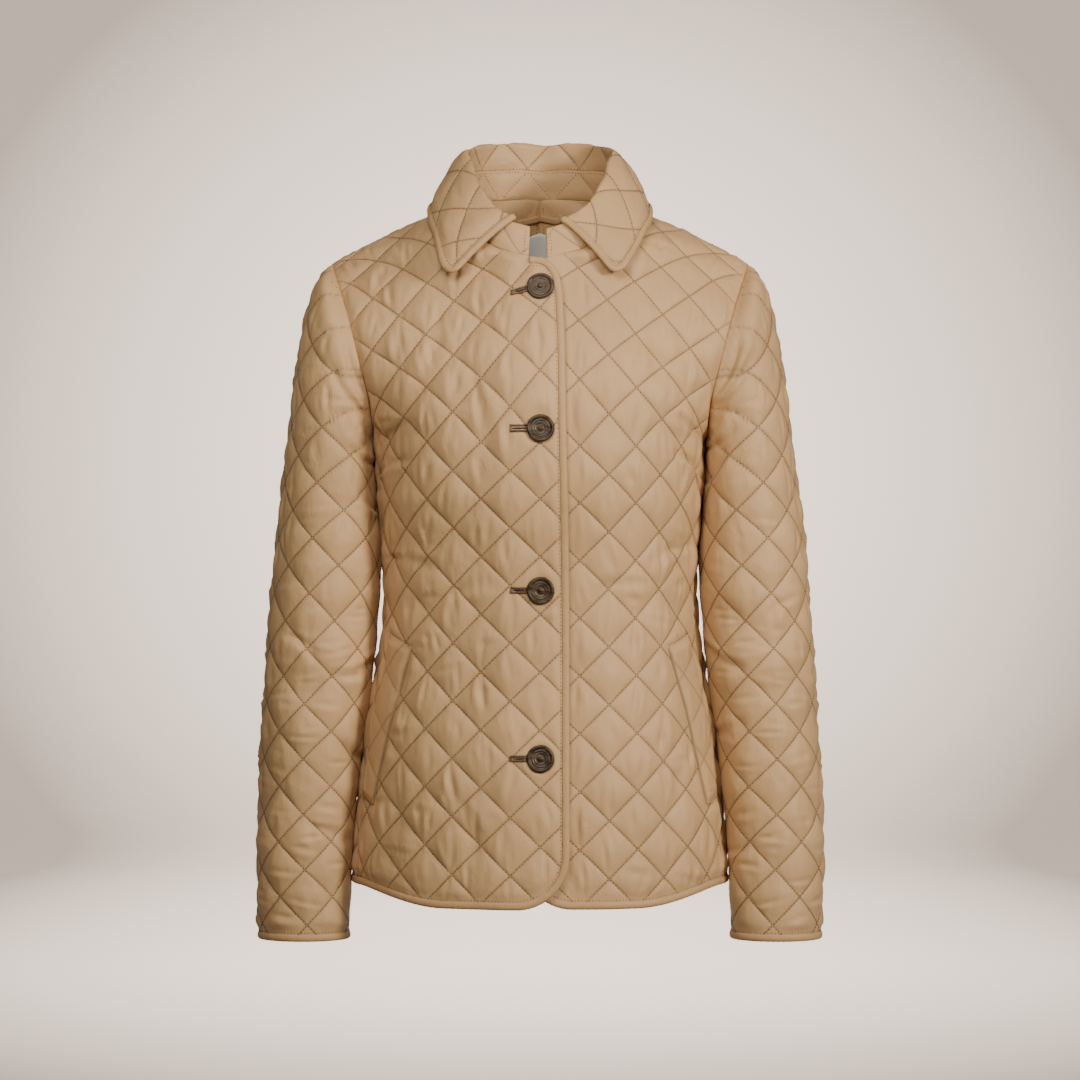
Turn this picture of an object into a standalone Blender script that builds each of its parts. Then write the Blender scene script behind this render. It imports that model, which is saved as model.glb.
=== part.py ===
"""Quilted jacket, hollow and as worn: one solid for each piece that is cut and sewn.

Lengths are in millimetres and are turned into metres where a mesh is written. The origin is
the middle of the neck, +Z is up and the fronts face -Y. The wearer's right is at -X.
"""
import math
from typing import NamedTuple

import bmesh
import bpy
import numpy as np
from mathutils import Vector
from mathutils.geometry import delaunay_2d_cdt

MM = 0.001
MIRROR = np.array((-1.0, 1.0, 1.0))

# Cloth.
WALL = 2.0
WALL_FALL = 1.2
SEAM_GAP = 0.4
HALF_GAP = SEAM_GAP / 2.0
FOLD_LIMIT = 1.2
PUFF_LOW = 3.2
PUFF_HIGH = 2.2
PUFF_SLEEVE = 2.6
PUFF_COLLAR = 2.0
PUFF_STAND = 1.2
PUFF_FADE = (330.0, 110.0)
PRESS_SHARE = 0.25
PRESS_UNDER = 34.0
PRESS_REACH = 60.0
PRESS_FADE = 30.0
PRESS_ARM = (425.0, 80.0)
PRESS_SLEEVE = (430.0, 80.0)
EDGE_CLEAR = 8.0

# Quilting: half diagonals of its squares, across and up.
QUILT_ACROSS = 27.0
QUILT_UP = 26.0

# A crossing of the quilting lines in each piece.
CROSSINGS = {
    "right": (0.0, 383.5),
    "left": (36.0, 432.0),
    "back": (0.0, 384.0),
    "stand": (0.0, 13.5),
    "fall": (30.0, 13.5),
}
SLEEVE_CROSSING = (-43.5, -134.0)
SLEEVE_SQUARE = (24.75, 25.33)
PLACE_STEPS = 24

# Surfaces.
CHART_STEP = 4.0
CURVE_STEPS = 40
NORMAL_REACH = 3.0
JOIN_LIMIT = 1e-5
FULLNESS = 0.58
SKEW = 1.02
FRONT_SPAN = (-40.0, 290.0)
BACK_SPAN = (-8.0, 320.0)
SLEEVE_SPAN = (-260.0, 260.0)
SIDE_OVERLAP = 12.0
TURN_OVERRUN = 0.3
TURN_COUNT = 97
SOLVE_STEPS = 40
FOLD_CLEAR = 6.0
FOLD_FADE = 25.0

# Outlines: spacing of their points, and their parts.
EDGE_STEP = 26.0
END_STEP = 4.0
SHOULDER_PARTS = 5
NECK_PARTS = 7
CUFF_PARTS = 14
SHOULDER_SETBACK = np.array((0.0, HALF_GAP, 0.0))

# Front edges: the lapped one is lifted, the under one sunk; reach past the middle by height.
LIFT = 3.4
LIFT_FULL = 28.0
LIFT_END = 64.0
HEM_RADIUS = 48.0
CORNER_STEPS = 6
EDGE_SCALE = {"right": 1.0, "left": 0.68}
FRONT_EDGE = (
    (-58.5, 2.7),
    (-65.8, 12.2),
    (-76.6, 17.8),
    (-86.0, 19.8),
    (-114.0, 21.8),
    (-200.0, 23.5),
    (-365.0, 26.3),
    (-480.0, 26.5),
)

# Hems: height at the middle, and rise towards the side seams with where it starts and its run.
HEM_LOW = -645.0
HEM_RISE = 15.0
HEM_FLAT = 90.0
HEM_RUN = 110.0
HEM_BACK_LOW = -642.0
HEM_BACK_RISE = 12.0
HEM_BACK_FLAT = 70.0
HEM_BACK_RUN = 150.0

# Bindings.
BIND_WIDTH = 6.5
BIND_OVER = 1.0
BIND_SEAT = BIND_WIDTH + 0.3
BIND_SETBACK = 1.2

# Collar.
STAND_RISE = 27.0
STAND_ENDS = {"right": 11.0, "left": 7.0}
STAND_SPAN = (-8.0, 44.0)
LEAF_SPAN = (-8.0, 130.0)
LEAF_PARTS = 30
LEAF_GAP = 0.5
LEAF_SETBACK = 6.0
LEAF_START = 15.0
LEAF_SPRING = 0.5
LEAF_DROP = 0.35
LEAF_SWELL = 9.0
ROLL_HALF = 4.0
ROLL_SHARE = 0.5
END_PARTS = 3
END_REACH = 6.0
TIP_RADIUS = 17.0
TIP_STEPS = 4

# Buttons.
BUTTON_SIDES = 28
BUTTON_SEAT = 9.5
BUTTON_SEAT_SIDES = 10
BUTTON_HEIGHTS = (-84.0, -213.0, -359.0, -510.0)
BUTTON_ACROSS = 0.5

CLOTH = (0.46, 0.34, 0.22)
CLOTH_DARK = (0.40, 0.29, 0.18)
HORN = (0.07, 0.045, 0.03)
SATIN = (0.62, 0.61, 0.60)
CLOTH_ROUGH = 0.8
HORN_ROUGH = 0.35
SATIN_ROUGH = 0.4


class Girth(NamedTuple):
    """Level section of the body below the arms."""

    height: float
    half_width: float
    front: float
    back: float
    side_y: float
    seam_forward: float


class Yoke(NamedTuple):
    """Row of a panel between its middle or neck edge and its armhole."""

    neck: tuple
    lead: tuple
    arm: tuple
    trail: tuple
    lift: float


class Loop(NamedTuple):
    """Slanted section of a sleeve from its outer point to its inner point."""

    outer_x: float
    outer_z: float
    inner_x: float
    inner_z: float
    front: float
    back: float
    middle_y: float


class Leaf(NamedTuple):
    """Section of the turned-down collar at a share of the way from back to front."""

    share: float
    rise: float
    inward: float
    edge: tuple
    turn: float


class Fold(NamedTuple):
    """Soft trough in a panel: middle, half length, half width, depth and slope of its line."""

    s: float
    t: float
    length: float
    width: float
    depth: float
    slope: float


GIRTHS = (
    Girth(-660.0, 176.0, 134.0, 128.0, 2.0, 36.0),
    Girth(-600.0, 172.5, 131.0, 125.0, 2.0, 34.0),
    Girth(-540.0, 167.0, 126.0, 120.0, 2.0, 31.0),
    Girth(-480.0, 160.5, 119.0, 112.0, 2.0, 28.0),
    Girth(-425.0, 149.5, 113.0, 105.0, 2.0, 24.0),
    Girth(-375.0, 144.0, 110.0, 101.0, 2.0, 20.0),
    Girth(-320.0, 146.5, 113.0, 103.0, 2.0, 16.0),
    Girth(-265.0, 151.0, 121.0, 108.0, 2.0, 10.0),
    Girth(-219.0, 153.0, 122.0, 112.0, 2.0, 0.0),
)

FRONT_YOKE = (
    Yoke((0.0, -119.0, -188.0), (85.0, 0.0), (155.0, -30.0, -206.0), (-12.0, -50.0), 0.0),
    Yoke((0.0, -113.0, -155.0), (80.0, 0.0), (157.5, -47.0, -184.0), (-25.0, -38.0), 0.0),
    Yoke((0.0, -104.0, -122.0), (72.0, 0.0), (163.0, -55.0, -160.0), (-38.0, -26.0), 0.0),
    Yoke((0.0, -94.0, -90.0), (65.0, 1.0), (170.0, -55.0, -132.0), (-45.0, -16.0), 0.5),
    Yoke((2.0, -84.5, -60.0), (58.0, 3.0), (177.0, -45.0, -105.0), (-48.0, -10.0), 1.0),
    Yoke((40.0, -75.0, -47.0), (45.0, 1.0), (185.0, -26.0, -80.0), (-48.0, -2.0), 2.0),
    Yoke((66.0, -43.0, -24.0), (38.0, 1.0), (190.5, -10.0, -65.0), (-42.0, 0.0), 3.0),
    Yoke((78.0, 6.0, -1.0), (39.0, 0.0), (194.0, 4.0, -56.0), (-38.0, 0.0), 3.0),
)

BACK_YOKE = (
    Yoke((0.0, 115.0, -183.0), (85.0, 0.0), (158.0, 30.0, -205.0), (-12.0, 45.0), 0.0),
    Yoke((0.0, 115.0, -145.0), (80.0, 0.0), (164.0, 48.0, -180.0), (-25.0, 34.0), 0.0),
    Yoke((0.0, 111.0, -105.0), (74.0, 0.0), (170.0, 55.0, -150.0), (-38.0, 24.0), 0.0),
    Yoke((0.0, 103.0, -65.0), (68.0, 0.0), (176.0, 53.0, -119.0), (-46.0, 16.0), 0.5),
    Yoke((0.0, 92.0, -26.0), (62.0, 0.0), (182.0, 42.0, -92.0), (-50.0, 12.0), 1.0),
    Yoke((0.0, 77.0, 8.0), (60.0, 0.0), (188.0, 24.0, -69.0), (-50.0, 6.0), 2.0),
    Yoke((42.0, 68.0, 8.0), (48.0, 0.0), (191.0, 14.0, -62.0), (-45.0, 3.0), 3.0),
    Yoke((68.0, 38.0, 4.0), (42.0, 0.0), (193.0, 9.0, -58.0), (-40.0, 0.0), 3.0),
    Yoke((78.0, 6.0, -1.0), (39.0, 0.0), (194.0, 4.0, -56.0), (-38.0, 0.0), 3.0),
)

LOOPS = (
    Loop(202.0, -67.0, 156.3, -228.0, 59.0, 60.0, 1.0),
    Loop(213.0, -93.0, 156.5, -240.0, 60.0, 60.0, 1.0),
    Loop(220.5, -127.0, 156.5, -254.0, 60.0, 60.0, 1.0),
    Loop(226.5, -165.0, 155.8, -270.0, 60.0, 59.0, 1.0),
    Loop(232.0, -208.0, 154.6, -287.0, 59.0, 58.0, 1.0),
    Loop(238.5, -262.0, 152.5, -310.0, 57.0, 56.0, 0.0),
    Loop(245.0, -320.0, 150.5, -345.0, 55.0, 54.0, -1.0),
    Loop(249.5, -380.0, 152.0, -390.0, 53.0, 53.0, -3.0),
    Loop(254.0, -440.0, 158.3, -442.0, 51.0, 51.0, -6.0),
    Loop(258.0, -510.0, 168.3, -510.0, 47.0, 47.0, -11.0),
    Loop(260.5, -590.0, 176.0, -590.0, 42.0, 42.0, -17.0),
    Loop(259.5, -681.0, 176.5, -681.0, 38.0, 38.0, -22.0),
)

LEAVES = (
    Leaf(0.0, 25.0, 0.0, (0.0, 107.0, -10.0), 12.0),
    Leaf(0.2, 25.0, 1.0, (62.0, 94.0, -11.0), 12.0),
    Leaf(0.33, 23.0, 2.5, (88.0, 62.0, -8.0), 12.0),
    Leaf(0.47, 21.0, 3.5, (101.0, 20.0, -5.0), 12.0),
    Leaf(0.55, 18.0, 3.5, (104.0, -8.0, -8.0), 11.0),
    Leaf(0.63, 13.0, 3.0, (103.0, -30.0, -20.0), 11.0),
)
LEAVES_RIGHT = LEAVES + (
    Leaf(0.72, 10.0, 2.5, (98.0, -50.0, -34.0), 9.0),
    Leaf(0.8, 7.0, 2.0, (95.0, -65.0, -48.0), 7.0),
    Leaf(0.88, 6.5, 1.0, (91.0, -79.0, -62.0), 7.0),
    Leaf(0.955, 5.0, -1.0, (82.0, -92.0, -79.0), 7.0),
)
LEAVES_LEFT = LEAVES + (
    Leaf(0.72, 10.0, 2.5, (97.0, -50.0, -31.0), 9.0),
    Leaf(0.8, 7.0, 2.0, (90.0, -66.0, -46.0), 7.0),
    Leaf(0.88, 6.5, 1.0, (82.0, -80.0, -60.0), 7.0),
    Leaf(0.955, 5.0, -1.0, (70.0, -92.0, -79.0), 7.0),
)

LEANS = ((0.0, 1.0), (0.5, 8.0), (1.0, 10.0))

FRONT_FOLDS = (
    Fold(150.0, 330.0, 60.0, 16.0, 2.5, -0.5),
    Fold(120.0, 285.0, 50.0, 16.0, 2.0, -0.25),
    Fold(60.0, 470.0, 45.0, 18.0, 1.5, 0.9),
)

BACK_FOLDS = (
    Fold(120.0, 300.0, 60.0, 18.0, 2.5, 0.3),
    Fold(60.0, 285.0, 55.0, 18.0, 2.0, 0.15),
)

SLEEVE_FOLDS = (
    Fold(-95.0, 250.0, 45.0, 14.0, 3.0, 0.5),
    Fold(-70.0, 310.0, 45.0, 14.0, 3.0, -0.4),
    Fold(80.0, 270.0, 40.0, 16.0, 2.5, 0.3),
    Fold(-30.0, 420.0, 40.0, 16.0, 2.0, 0.5),
)

WELT_FRONT = ((126.0, 248.0), (175.0, 104.0))
WELT_REAR = ((163.0, 260.0), (201.0, 112.0))
WELT_MARGIN = 0.01
WELT_SIDE_MARGIN = 0.03
WELT_ROWS = 8
WELT_END_SHARE = 0.55
WELT_PROFILE = ((0.0, 1.6), (0.25, 3.2), (0.75, 3.4), (1.0, 1.8))
WELT_LIFT = 0.3

BUTTON_PROFILE = (
    (0.0, 3.4),
    (1.6, 3.2),
    (2.2, 2.4),
    (4.6, 2.2),
    (5.4, 2.7),
    (6.4, 2.3),
    (7.6, 2.9),
    (8.6, 2.5),
    (9.6, 3.9),
    (11.2, 4.3),
    (12.3, 3.0),
    (12.0, 1.4),
    (9.0, 0.3),
    (0.0, 0.3),
)

STRIP_SECTION = (
    (-BIND_WIDTH, 0.8),
    (-1.6, BIND_OVER),
    (0.0, -0.2),
    (0.0, -1.8),
    (-1.6, -WALL - BIND_OVER),
    (-BIND_WIDTH, -WALL - 0.8),
)

LOOP_PATH = ((-28.0, 5.0), (-25.0, 0.5), (-14.0, -2.0), (8.0, -2.0), (20.0, 0.5), (24.0, 5.0))
LOOP_STANDS = (0.4, 1.2, 2.6, 2.6, 1.2, 0.4)
LOOP_SECTION = ((-3.4, 0.0), (3.4, 0.0), (3.4, 1.4), (-3.4, 1.4))

LABEL_HALF = 30.0
LABEL_TOP = -20.0
LABEL_FOOT = -64.0
LABEL_THICK = 1.0
LABEL_DEPTH = WALL + 1.3
LABEL_COLUMNS = 5
LABEL_ROWS = 4


def clear_scene():
    """Remove whatever the new file holds."""
    for item in list(bpy.data.objects):
        bpy.data.objects.remove(item, do_unlink=True)


def unit(vector):
    """Vector of length one."""
    return vector / np.linalg.norm(vector)


def ease(share):
    """Smooth step from 0 to 1."""
    held = np.clip(share, 0.0, 1.0)
    return held * held * (3.0 - 2.0 * held)


def slopes_of(keys, rows):
    """Rates of change of table rows, one more for the rows than for their gaps."""
    gaps = np.diff(keys).reshape((-1,) + (1,) * (rows.ndim - 1))
    between = np.diff(rows, axis=0) / gaps
    inner = (between[:-1] * gaps[1:] + between[1:] * gaps[:-1]) / (gaps[:-1] + gaps[1:])
    return between, np.concatenate((between[:1], inner, between[-1:]))


def smooth_between(keys, rows, leave, arrive, at):
    """Value at a key on the smooth curve through table rows."""
    index = int(np.clip(np.searchsorted(keys, at, side="right") - 1, 0, len(keys) - 2))
    gap = keys[index + 1] - keys[index]
    f = (at - keys[index]) / gap
    near = rows[index] * (2.0 * f**3 - 3.0 * f**2 + 1.0) + leave[index] * gap * (f**3 - 2.0 * f**2 + f)
    far = rows[index + 1] * (3.0 * f**2 - 2.0 * f**3) + arrive[index + 1] * gap * (f**3 - f**2)
    return near + far


def curve_line(net):
    """Points along a four-point curve."""
    f = np.linspace(0.0, 1.0, CURVE_STEPS + 1)[:, None]
    weights = np.hstack(((1.0 - f) ** 3, 3.0 * f * (1.0 - f) ** 2, 3.0 * f**2 * (1.0 - f), f**3))
    return weights @ net


def lengths_along(points):
    """Distance of each point of a line from its first one."""
    steps = np.linalg.norm(np.diff(points, axis=0), axis=1)
    return np.concatenate(([0.0], np.cumsum(steps)))


def spread(points, along, stations):
    """Points of a line at given distances, run straight on past its ends."""
    found = np.stack([np.interp(stations, along, points[:, k]) for k in range(3)], axis=1)
    before = np.minimum(stations - along[0], 0.0)[:, None]
    after = np.maximum(stations - along[-1], 0.0)[:, None]
    return found + before * unit(points[1] - points[0]) + after * unit(points[-1] - points[-2])


class Chart:
    """Outer stitched surface of a piece, laid out by distance along (s) and up (t) its rows."""

    def __init__(self, row_line, t_span, s_span, outward, ends=None, folds=()):
        self.low_s = s_span[0]
        self.low_t = t_span[0]
        self.high_t = t_span[1]
        self.outward = outward
        t_count = int(math.ceil((t_span[1] - t_span[0]) / CHART_STEP))
        self.step_t = (t_span[1] - t_span[0]) / t_count
        self.stations = np.arange(s_span[0], s_span[1] + CHART_STEP, CHART_STEP)
        self.levels = t_span[0] + self.step_t * np.arange(t_count + 1)
        self.grid = np.stack([spread(*row_line(t), self.stations) for t in self.levels])
        for fold in folds:
            self.press(fold, np.array([ends(t) for t in self.levels]))

    def press(self, fold, ends):
        """Sink a soft trough into the surface, clear of the ends of its rows."""
        across = np.gradient(self.grid, axis=1)
        upward = np.gradient(self.grid, axis=0)
        normals = np.cross(across, upward)
        normals *= self.outward / np.linalg.norm(normals, axis=2, keepdims=True)
        s_off = self.stations[None, :] - fold.s
        t_off = self.levels[:, None] - fold.t
        scale = math.hypot(1.0, fold.slope)
        run = (s_off + fold.slope * t_off) / scale
        off = (t_off - fold.slope * s_off) / scale
        sunk = fold.depth * np.exp(-((run / fold.length) ** 2) - (off / fold.width) ** 2)
        sunk *= ease((self.stations[None, :] - ends[:, :1] - FOLD_CLEAR) / FOLD_FADE)
        sunk *= ease((ends[:, 1:] - self.stations[None, :] - FOLD_CLEAR) / FOLD_FADE)
        self.grid -= normals * sunk[:, :, None]

    def point(self, s, t):
        """Place of a point of the surface."""
        column = np.clip((s - self.low_s) / CHART_STEP, 0.0, len(self.stations) - 1.001)
        row = np.clip((t - self.low_t) / self.step_t, 0.0, len(self.levels) - 1.001)
        i, j = int(row), int(column)
        f, g = row - i, column - j
        low = self.grid[i, j] * (1.0 - g) + self.grid[i, j + 1] * g
        high = self.grid[i + 1, j] * (1.0 - g) + self.grid[i + 1, j + 1] * g
        return low * (1.0 - f) + high * f

    def normal(self, s, t):
        """Outward direction at a point of the surface."""
        reach = NORMAL_REACH
        across = self.point(s + reach, t) - self.point(s - reach, t)
        upward = self.point(s, t + reach) - self.point(s, t - reach)
        return unit(np.cross(across, upward)) * self.outward

    def frame(self, s, t, ds, dt):
        """Place, direction along (ds, dt) within the surface and outward direction."""
        size = math.hypot(ds, dt)
        ds, dt = ds / size, dt / size
        ahead = self.point(s + ds, t + dt) - self.point(s - ds, t - dt)
        return self.point(s, t), unit(ahead), self.normal(s, t)


def girth_net(girth, depth):
    """Four-point curve of half a level section from its middle to its side."""
    turned = girth.side_y + (depth - girth.side_y) * FULLNESS
    return np.array((
        (0.0, depth, girth.height),
        (girth.half_width * FULLNESS, depth, girth.height),
        (girth.half_width, turned, girth.height),
        (girth.half_width, girth.side_y, girth.height),
    ))


def yoke_net(row):
    """Four-point curve of a yoke row."""
    neck, arm = np.array(row.neck), np.array(row.arm)
    third = (arm[2] - neck[2]) / 3.0
    lead = np.array((*row.lead, third + row.lift))
    trail = np.array((*row.trail, -third + row.lift))
    return np.stack((neck, neck + lead, arm + trail, arm))


class Rows:
    """Rows of a body panel with their levels."""

    def __init__(self, girth_nets, yoke_nets):
        self.nets = np.stack(girth_nets + yoke_nets)
        self.corner = len(girth_nets) - 1
        low = GIRTHS[0].height
        keys = [girth.height - low for girth in GIRTHS]
        for before, after in zip(self.nets[self.corner:-1], self.nets[self.corner + 1:]):
            middle = curve_line(after)[CURVE_STEPS // 2] - curve_line(before)[CURVE_STEPS // 2]
            keys.append(keys[-1] + float(np.linalg.norm(middle)))
        self.keys = np.array(keys)
        between, self.leave = slopes_of(self.keys, self.nets)
        self.arrive = self.leave.copy()
        self.leave[self.corner, 2:] = between[self.corner, 2:]
        self.arrive[self.corner, 2:] = between[self.corner - 1, 2:]
        self.top = float(self.keys[-1])
        self.armpit = float(self.keys[self.corner])

    def net(self, t):
        """Four-point curve at a level."""
        return smooth_between(self.keys, self.nets, self.leave, self.arrive, t)

    def arm_levels(self):
        """Levels of the rows that meet the armhole."""
        return [float(key) for key in self.keys[self.corner:]]


def level_of(rows, height):
    """Level at which the middle edge of a panel is at a height."""
    low, high = 0.0, rows.top
    for _ in range(SOLVE_STEPS):
        middle = (low + high) / 2.0
        if rows.net(middle)[0, 2] < height:
            low = middle
        else:
            high = middle
    return (low + high) / 2.0


def seam_forward(t):
    """Distance by which the side seam lies in front of the side."""
    keys = [girth.height - GIRTHS[0].height for girth in GIRTHS]
    return float(np.interp(t, keys, [girth.seam_forward for girth in GIRTHS]))


FRONT_ROWS = Rows([girth_net(g, -g.front) for g in GIRTHS], [yoke_net(r) for r in FRONT_YOKE])
BACK_ROWS = Rows([girth_net(g, g.back) for g in GIRTHS], [yoke_net(r) for r in BACK_YOKE])


def front_line(t):
    """Row of a front, unlifted, and the distances of its points."""
    net = FRONT_ROWS.net(t)
    points = curve_line(net)
    return points, net[0, 0] * SKEW + lengths_along(points)


def lifted_front_line(lift):
    """Rows of a front with its lapped edge raised or sunk."""
    def row_line(t):
        points, along = front_line(t)
        share = 1.0 - ease((along - LIFT_FULL) / (LIFT_END - LIFT_FULL))
        points = points.copy()
        points[:, 1] -= lift * share
        return points, along
    return row_line


def back_line(t):
    """Row of the back, run on round the side as far as the side seam, and its distances."""
    net = BACK_ROWS.net(t)
    points = curve_line(net)
    if t < BACK_ROWS.armpit:
        side = curve_line(FRONT_ROWS.net(t))[::-1]
        kept = lengths_along(side) < seam_forward(t) + SIDE_OVERLAP
        points = np.concatenate((points, side[kept][1:]))
    return points, net[0, 0] * SKEW + lengths_along(points)


def row_length(points):
    """Length of a row."""
    return float(lengths_along(points)[-1])


def front_ends(t):
    """Distances at which a front row starts and ends."""
    along = front_line(t)[1]
    return float(along[0]), float(along[-1]) - (seam_forward(t) if t < FRONT_ROWS.armpit else 0.0)


def back_ends(t):
    """Distances at which a back row starts and ends."""
    net = BACK_ROWS.net(t)
    start = net[0, 0] * SKEW
    end = start + row_length(curve_line(net))
    return start, end + (seam_forward(t) if t < BACK_ROWS.armpit else 0.0)


# Sleeve loops run from the seam under the arm (turn 0) to the front, over the top and back.
ARM_FRONT = [row.arm for row in FRONT_YOKE]
ARM_BACK = [row.arm for row in BACK_YOKE]
ARMPIT = (GIRTHS[-1].half_width, GIRTHS[-1].side_y, GIRTHS[-1].height)
SHIFT = np.array((0.97, 0.0, -0.24)) * SEAM_GAP
TURNS = np.linspace(-TURN_OVERRUN, 2.0 * math.pi + TURN_OVERRUN, TURN_COUNT)


def arm_turn(height):
    """Turn at which the front half of the armhole is at a height."""
    low, high = ARMPIT[2], ARM_FRONT[-1][2]
    middle, half = (low + high) / 2.0, (high - low) / 2.0
    return math.acos(np.clip((middle - height) / half, -1.0, 1.0))


ARM_POINTS = np.array([ARMPIT] + ARM_FRONT + ARM_BACK[-2::-1])
ARM_TURNS = np.array(
    [0.0]
    + [arm_turn(point[2]) for point in ARM_FRONT]
    + [2.0 * math.pi - arm_turn(point[2]) for point in ARM_BACK[-2::-1]]
)


def arm_loop():
    """Points of the armhole at the turns of a sleeve loop."""
    full = 2.0 * math.pi
    keys = np.concatenate((ARM_TURNS[-3:] - full, ARM_TURNS, ARM_TURNS[:3] + full))
    points = np.concatenate((ARM_POINTS[-3:], ARM_POINTS, ARM_POINTS[:3])) + SHIFT
    _, rates = slopes_of(keys, points)
    return np.stack([smooth_between(keys, points, rates, rates, turn) for turn in TURNS])


def sleeve_loop(loop):
    """Points of a slanted sleeve section."""
    wave, side = np.cos(TURNS), np.sin(TURNS)
    x = (loop.outer_x + loop.inner_x) / 2.0 - (loop.outer_x - loop.inner_x) / 2.0 * wave
    z = (loop.outer_z + loop.inner_z) / 2.0 - (loop.outer_z - loop.inner_z) / 2.0 * wave
    depth = np.where(side > 0.0, loop.front, loop.back)
    return np.stack((x, loop.middle_y - side * depth, z), axis=1)


SLEEVE_LOOPS = np.stack([arm_loop()] + [sleeve_loop(loop) for loop in LOOPS])
SLEEVE_STEPS = np.linalg.norm(np.diff(SLEEVE_LOOPS, axis=0), axis=2).mean(axis=1)
SLEEVE_KEYS = np.concatenate(([0.0], np.cumsum(SLEEVE_STEPS)))
SLEEVE_LENGTH = float(SLEEVE_KEYS[-1])
_, SLEEVE_RATES = slopes_of(SLEEVE_KEYS, SLEEVE_LOOPS)


def sleeve_line(t):
    """Sleeve section and the distances of its points from the line over the arm."""
    points = smooth_between(SLEEVE_KEYS, SLEEVE_LOOPS, SLEEVE_RATES, SLEEVE_RATES, t)
    along = lengths_along(points)
    return points, along - np.interp(math.pi, TURNS, along)


def sleeve_station(t, turn):
    """Distance along a sleeve section at a turn."""
    return float(np.interp(turn, TURNS, sleeve_line(t)[1]))


def sleeve_ends(t):
    """Distances at which a sleeve section starts and ends at its seam."""
    return sleeve_station(t, 0.0), sleeve_station(t, 2.0 * math.pi)


class Edge(NamedTuple):
    """Corner of a panel's outline, the way its wall goes in at a seam and its setback there."""

    s: float
    t: float
    depth: object = None
    setback: object = None


def edge_depth(own, other):
    """Way in at a seam: midway between two walls, unless they fold back on each other."""
    both = own + other
    size = float(np.linalg.norm(both))
    if size < FOLD_LIMIT:
        return -own
    return -both * 2.0 / size**2


def inside(outline, s, t):
    """Whether a point is within an outline."""
    hit = False
    for index, corner in enumerate(outline):
        before = outline[index - 1]
        if (corner[1] > t) != (before[1] > t):
            cross = corner[0] + (t - corner[1]) * (before[0] - corner[0]) / (before[1] - corner[1])
            if s < cross:
                hit = not hit
    return hit


def clearance(outline, s, t):
    """Distance of a point from an outline."""
    best = math.inf
    for index, corner in enumerate(outline):
        before = outline[index - 1]
        ds, dt = corner[0] - before[0], corner[1] - before[1]
        span = ds * ds + dt * dt
        f = min(max(((s - before[0]) * ds + (t - before[1]) * dt) / span, 0.0), 1.0)
        best = min(best, math.hypot(s - before[0] - f * ds, t - before[1] - f * dt))
    return best


def crosses(first, second, outline):
    """Whether a stretch between two points meets an outline."""
    def side(a, b, c):
        return (b[0] - a[0]) * (c[1] - a[1]) - (b[1] - a[1]) * (c[0] - a[0])
    for index, corner in enumerate(outline):
        before = outline[index - 1]
        apart = side(first, second, before) * side(first, second, corner) < 0.0
        if apart and side(before, corner, first) * side(before, corner, second) < 0.0:
            return True
    return False


def even_lay(s, t):
    """Places of a panel that is laid flat as it is."""
    return s, t


def sleeve_girth(t):
    """Distances along a sleeve section, its level distances round the arm and its heights."""
    points, along = sleeve_line(t)
    around = lengths_along(points * np.array((1.0, 1.0, 0.0)))
    return along, around - np.interp(0.0, along, around), points[:, 2]


def sleeve_lay(s, t):
    """Level distance round the arm and depth below a crossing, in the quilting's own measure."""
    along, around, heights = sleeve_girth(t)
    level = np.interp(s, along, around) - SLEEVE_CROSSING[0]
    depth = SLEEVE_CROSSING[1] - np.interp(s, along, heights)
    return level * QUILT_ACROSS / SLEEVE_SQUARE[0], depth * QUILT_UP / SLEEVE_SQUARE[1]


def sleeve_place(x, y):
    """Place on a sleeve at a level distance and depth of its quilting."""
    level = SLEEVE_CROSSING[0] + x * SLEEVE_SQUARE[0] / QUILT_ACROSS
    height = SLEEVE_CROSSING[1] - y * SLEEVE_SQUARE[1] / QUILT_UP
    low, high = 0.0, SLEEVE_LENGTH
    for _ in range(PLACE_STEPS):
        middle = (low + high) / 2.0
        along, around, heights = sleeve_girth(middle)
        if np.interp(level, around, heights) > height:
            low = middle
        else:
            high = middle
    return float(np.interp(level, around, along)), low


class Quilting(NamedTuple):
    """Quilting of a panel: where a crossing lies, how far its squares rise and how it is laid."""

    s: float
    t: float
    puff: object
    lay: object = even_lay
    place: object = even_lay


def quilt_points(outline, seats, quilting):
    """Crossings and raised middles of the quilted squares within a panel, with their heights."""
    laid = [quilting.lay(*corner) for corner in outline]
    lows = [min(corner[k] for corner in laid) for k in range(2)]
    highs = [max(corner[k] for corner in laid) for k in range(2)]
    first_i = math.floor((lows[0] - quilting.s) / QUILT_ACROSS)
    last_i = math.ceil((highs[0] - quilting.s) / QUILT_ACROSS)
    first_j = math.floor((lows[1] - quilting.t) / QUILT_UP)
    last_j = math.ceil((highs[1] - quilting.t) / QUILT_UP)
    found = {}
    for i in range(first_i, last_i + 1):
        for j in range(first_j, last_j + 1):
            s, t = quilting.place(quilting.s + i * QUILT_ACROSS, quilting.t + j * QUILT_UP)
            if not inside(outline, s, t) or clearance(outline, s, t) < EDGE_CLEAR:
                continue
            if any(inside(seat, s, t) or clearance(seat, s, t) < EDGE_CLEAR for seat in seats):
                continue
            height = 0.0 if (i + j) % 2 == 0 else quilting.puff(s, t)
            found[(i, j)] = (s, t, height)
    return found


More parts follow.
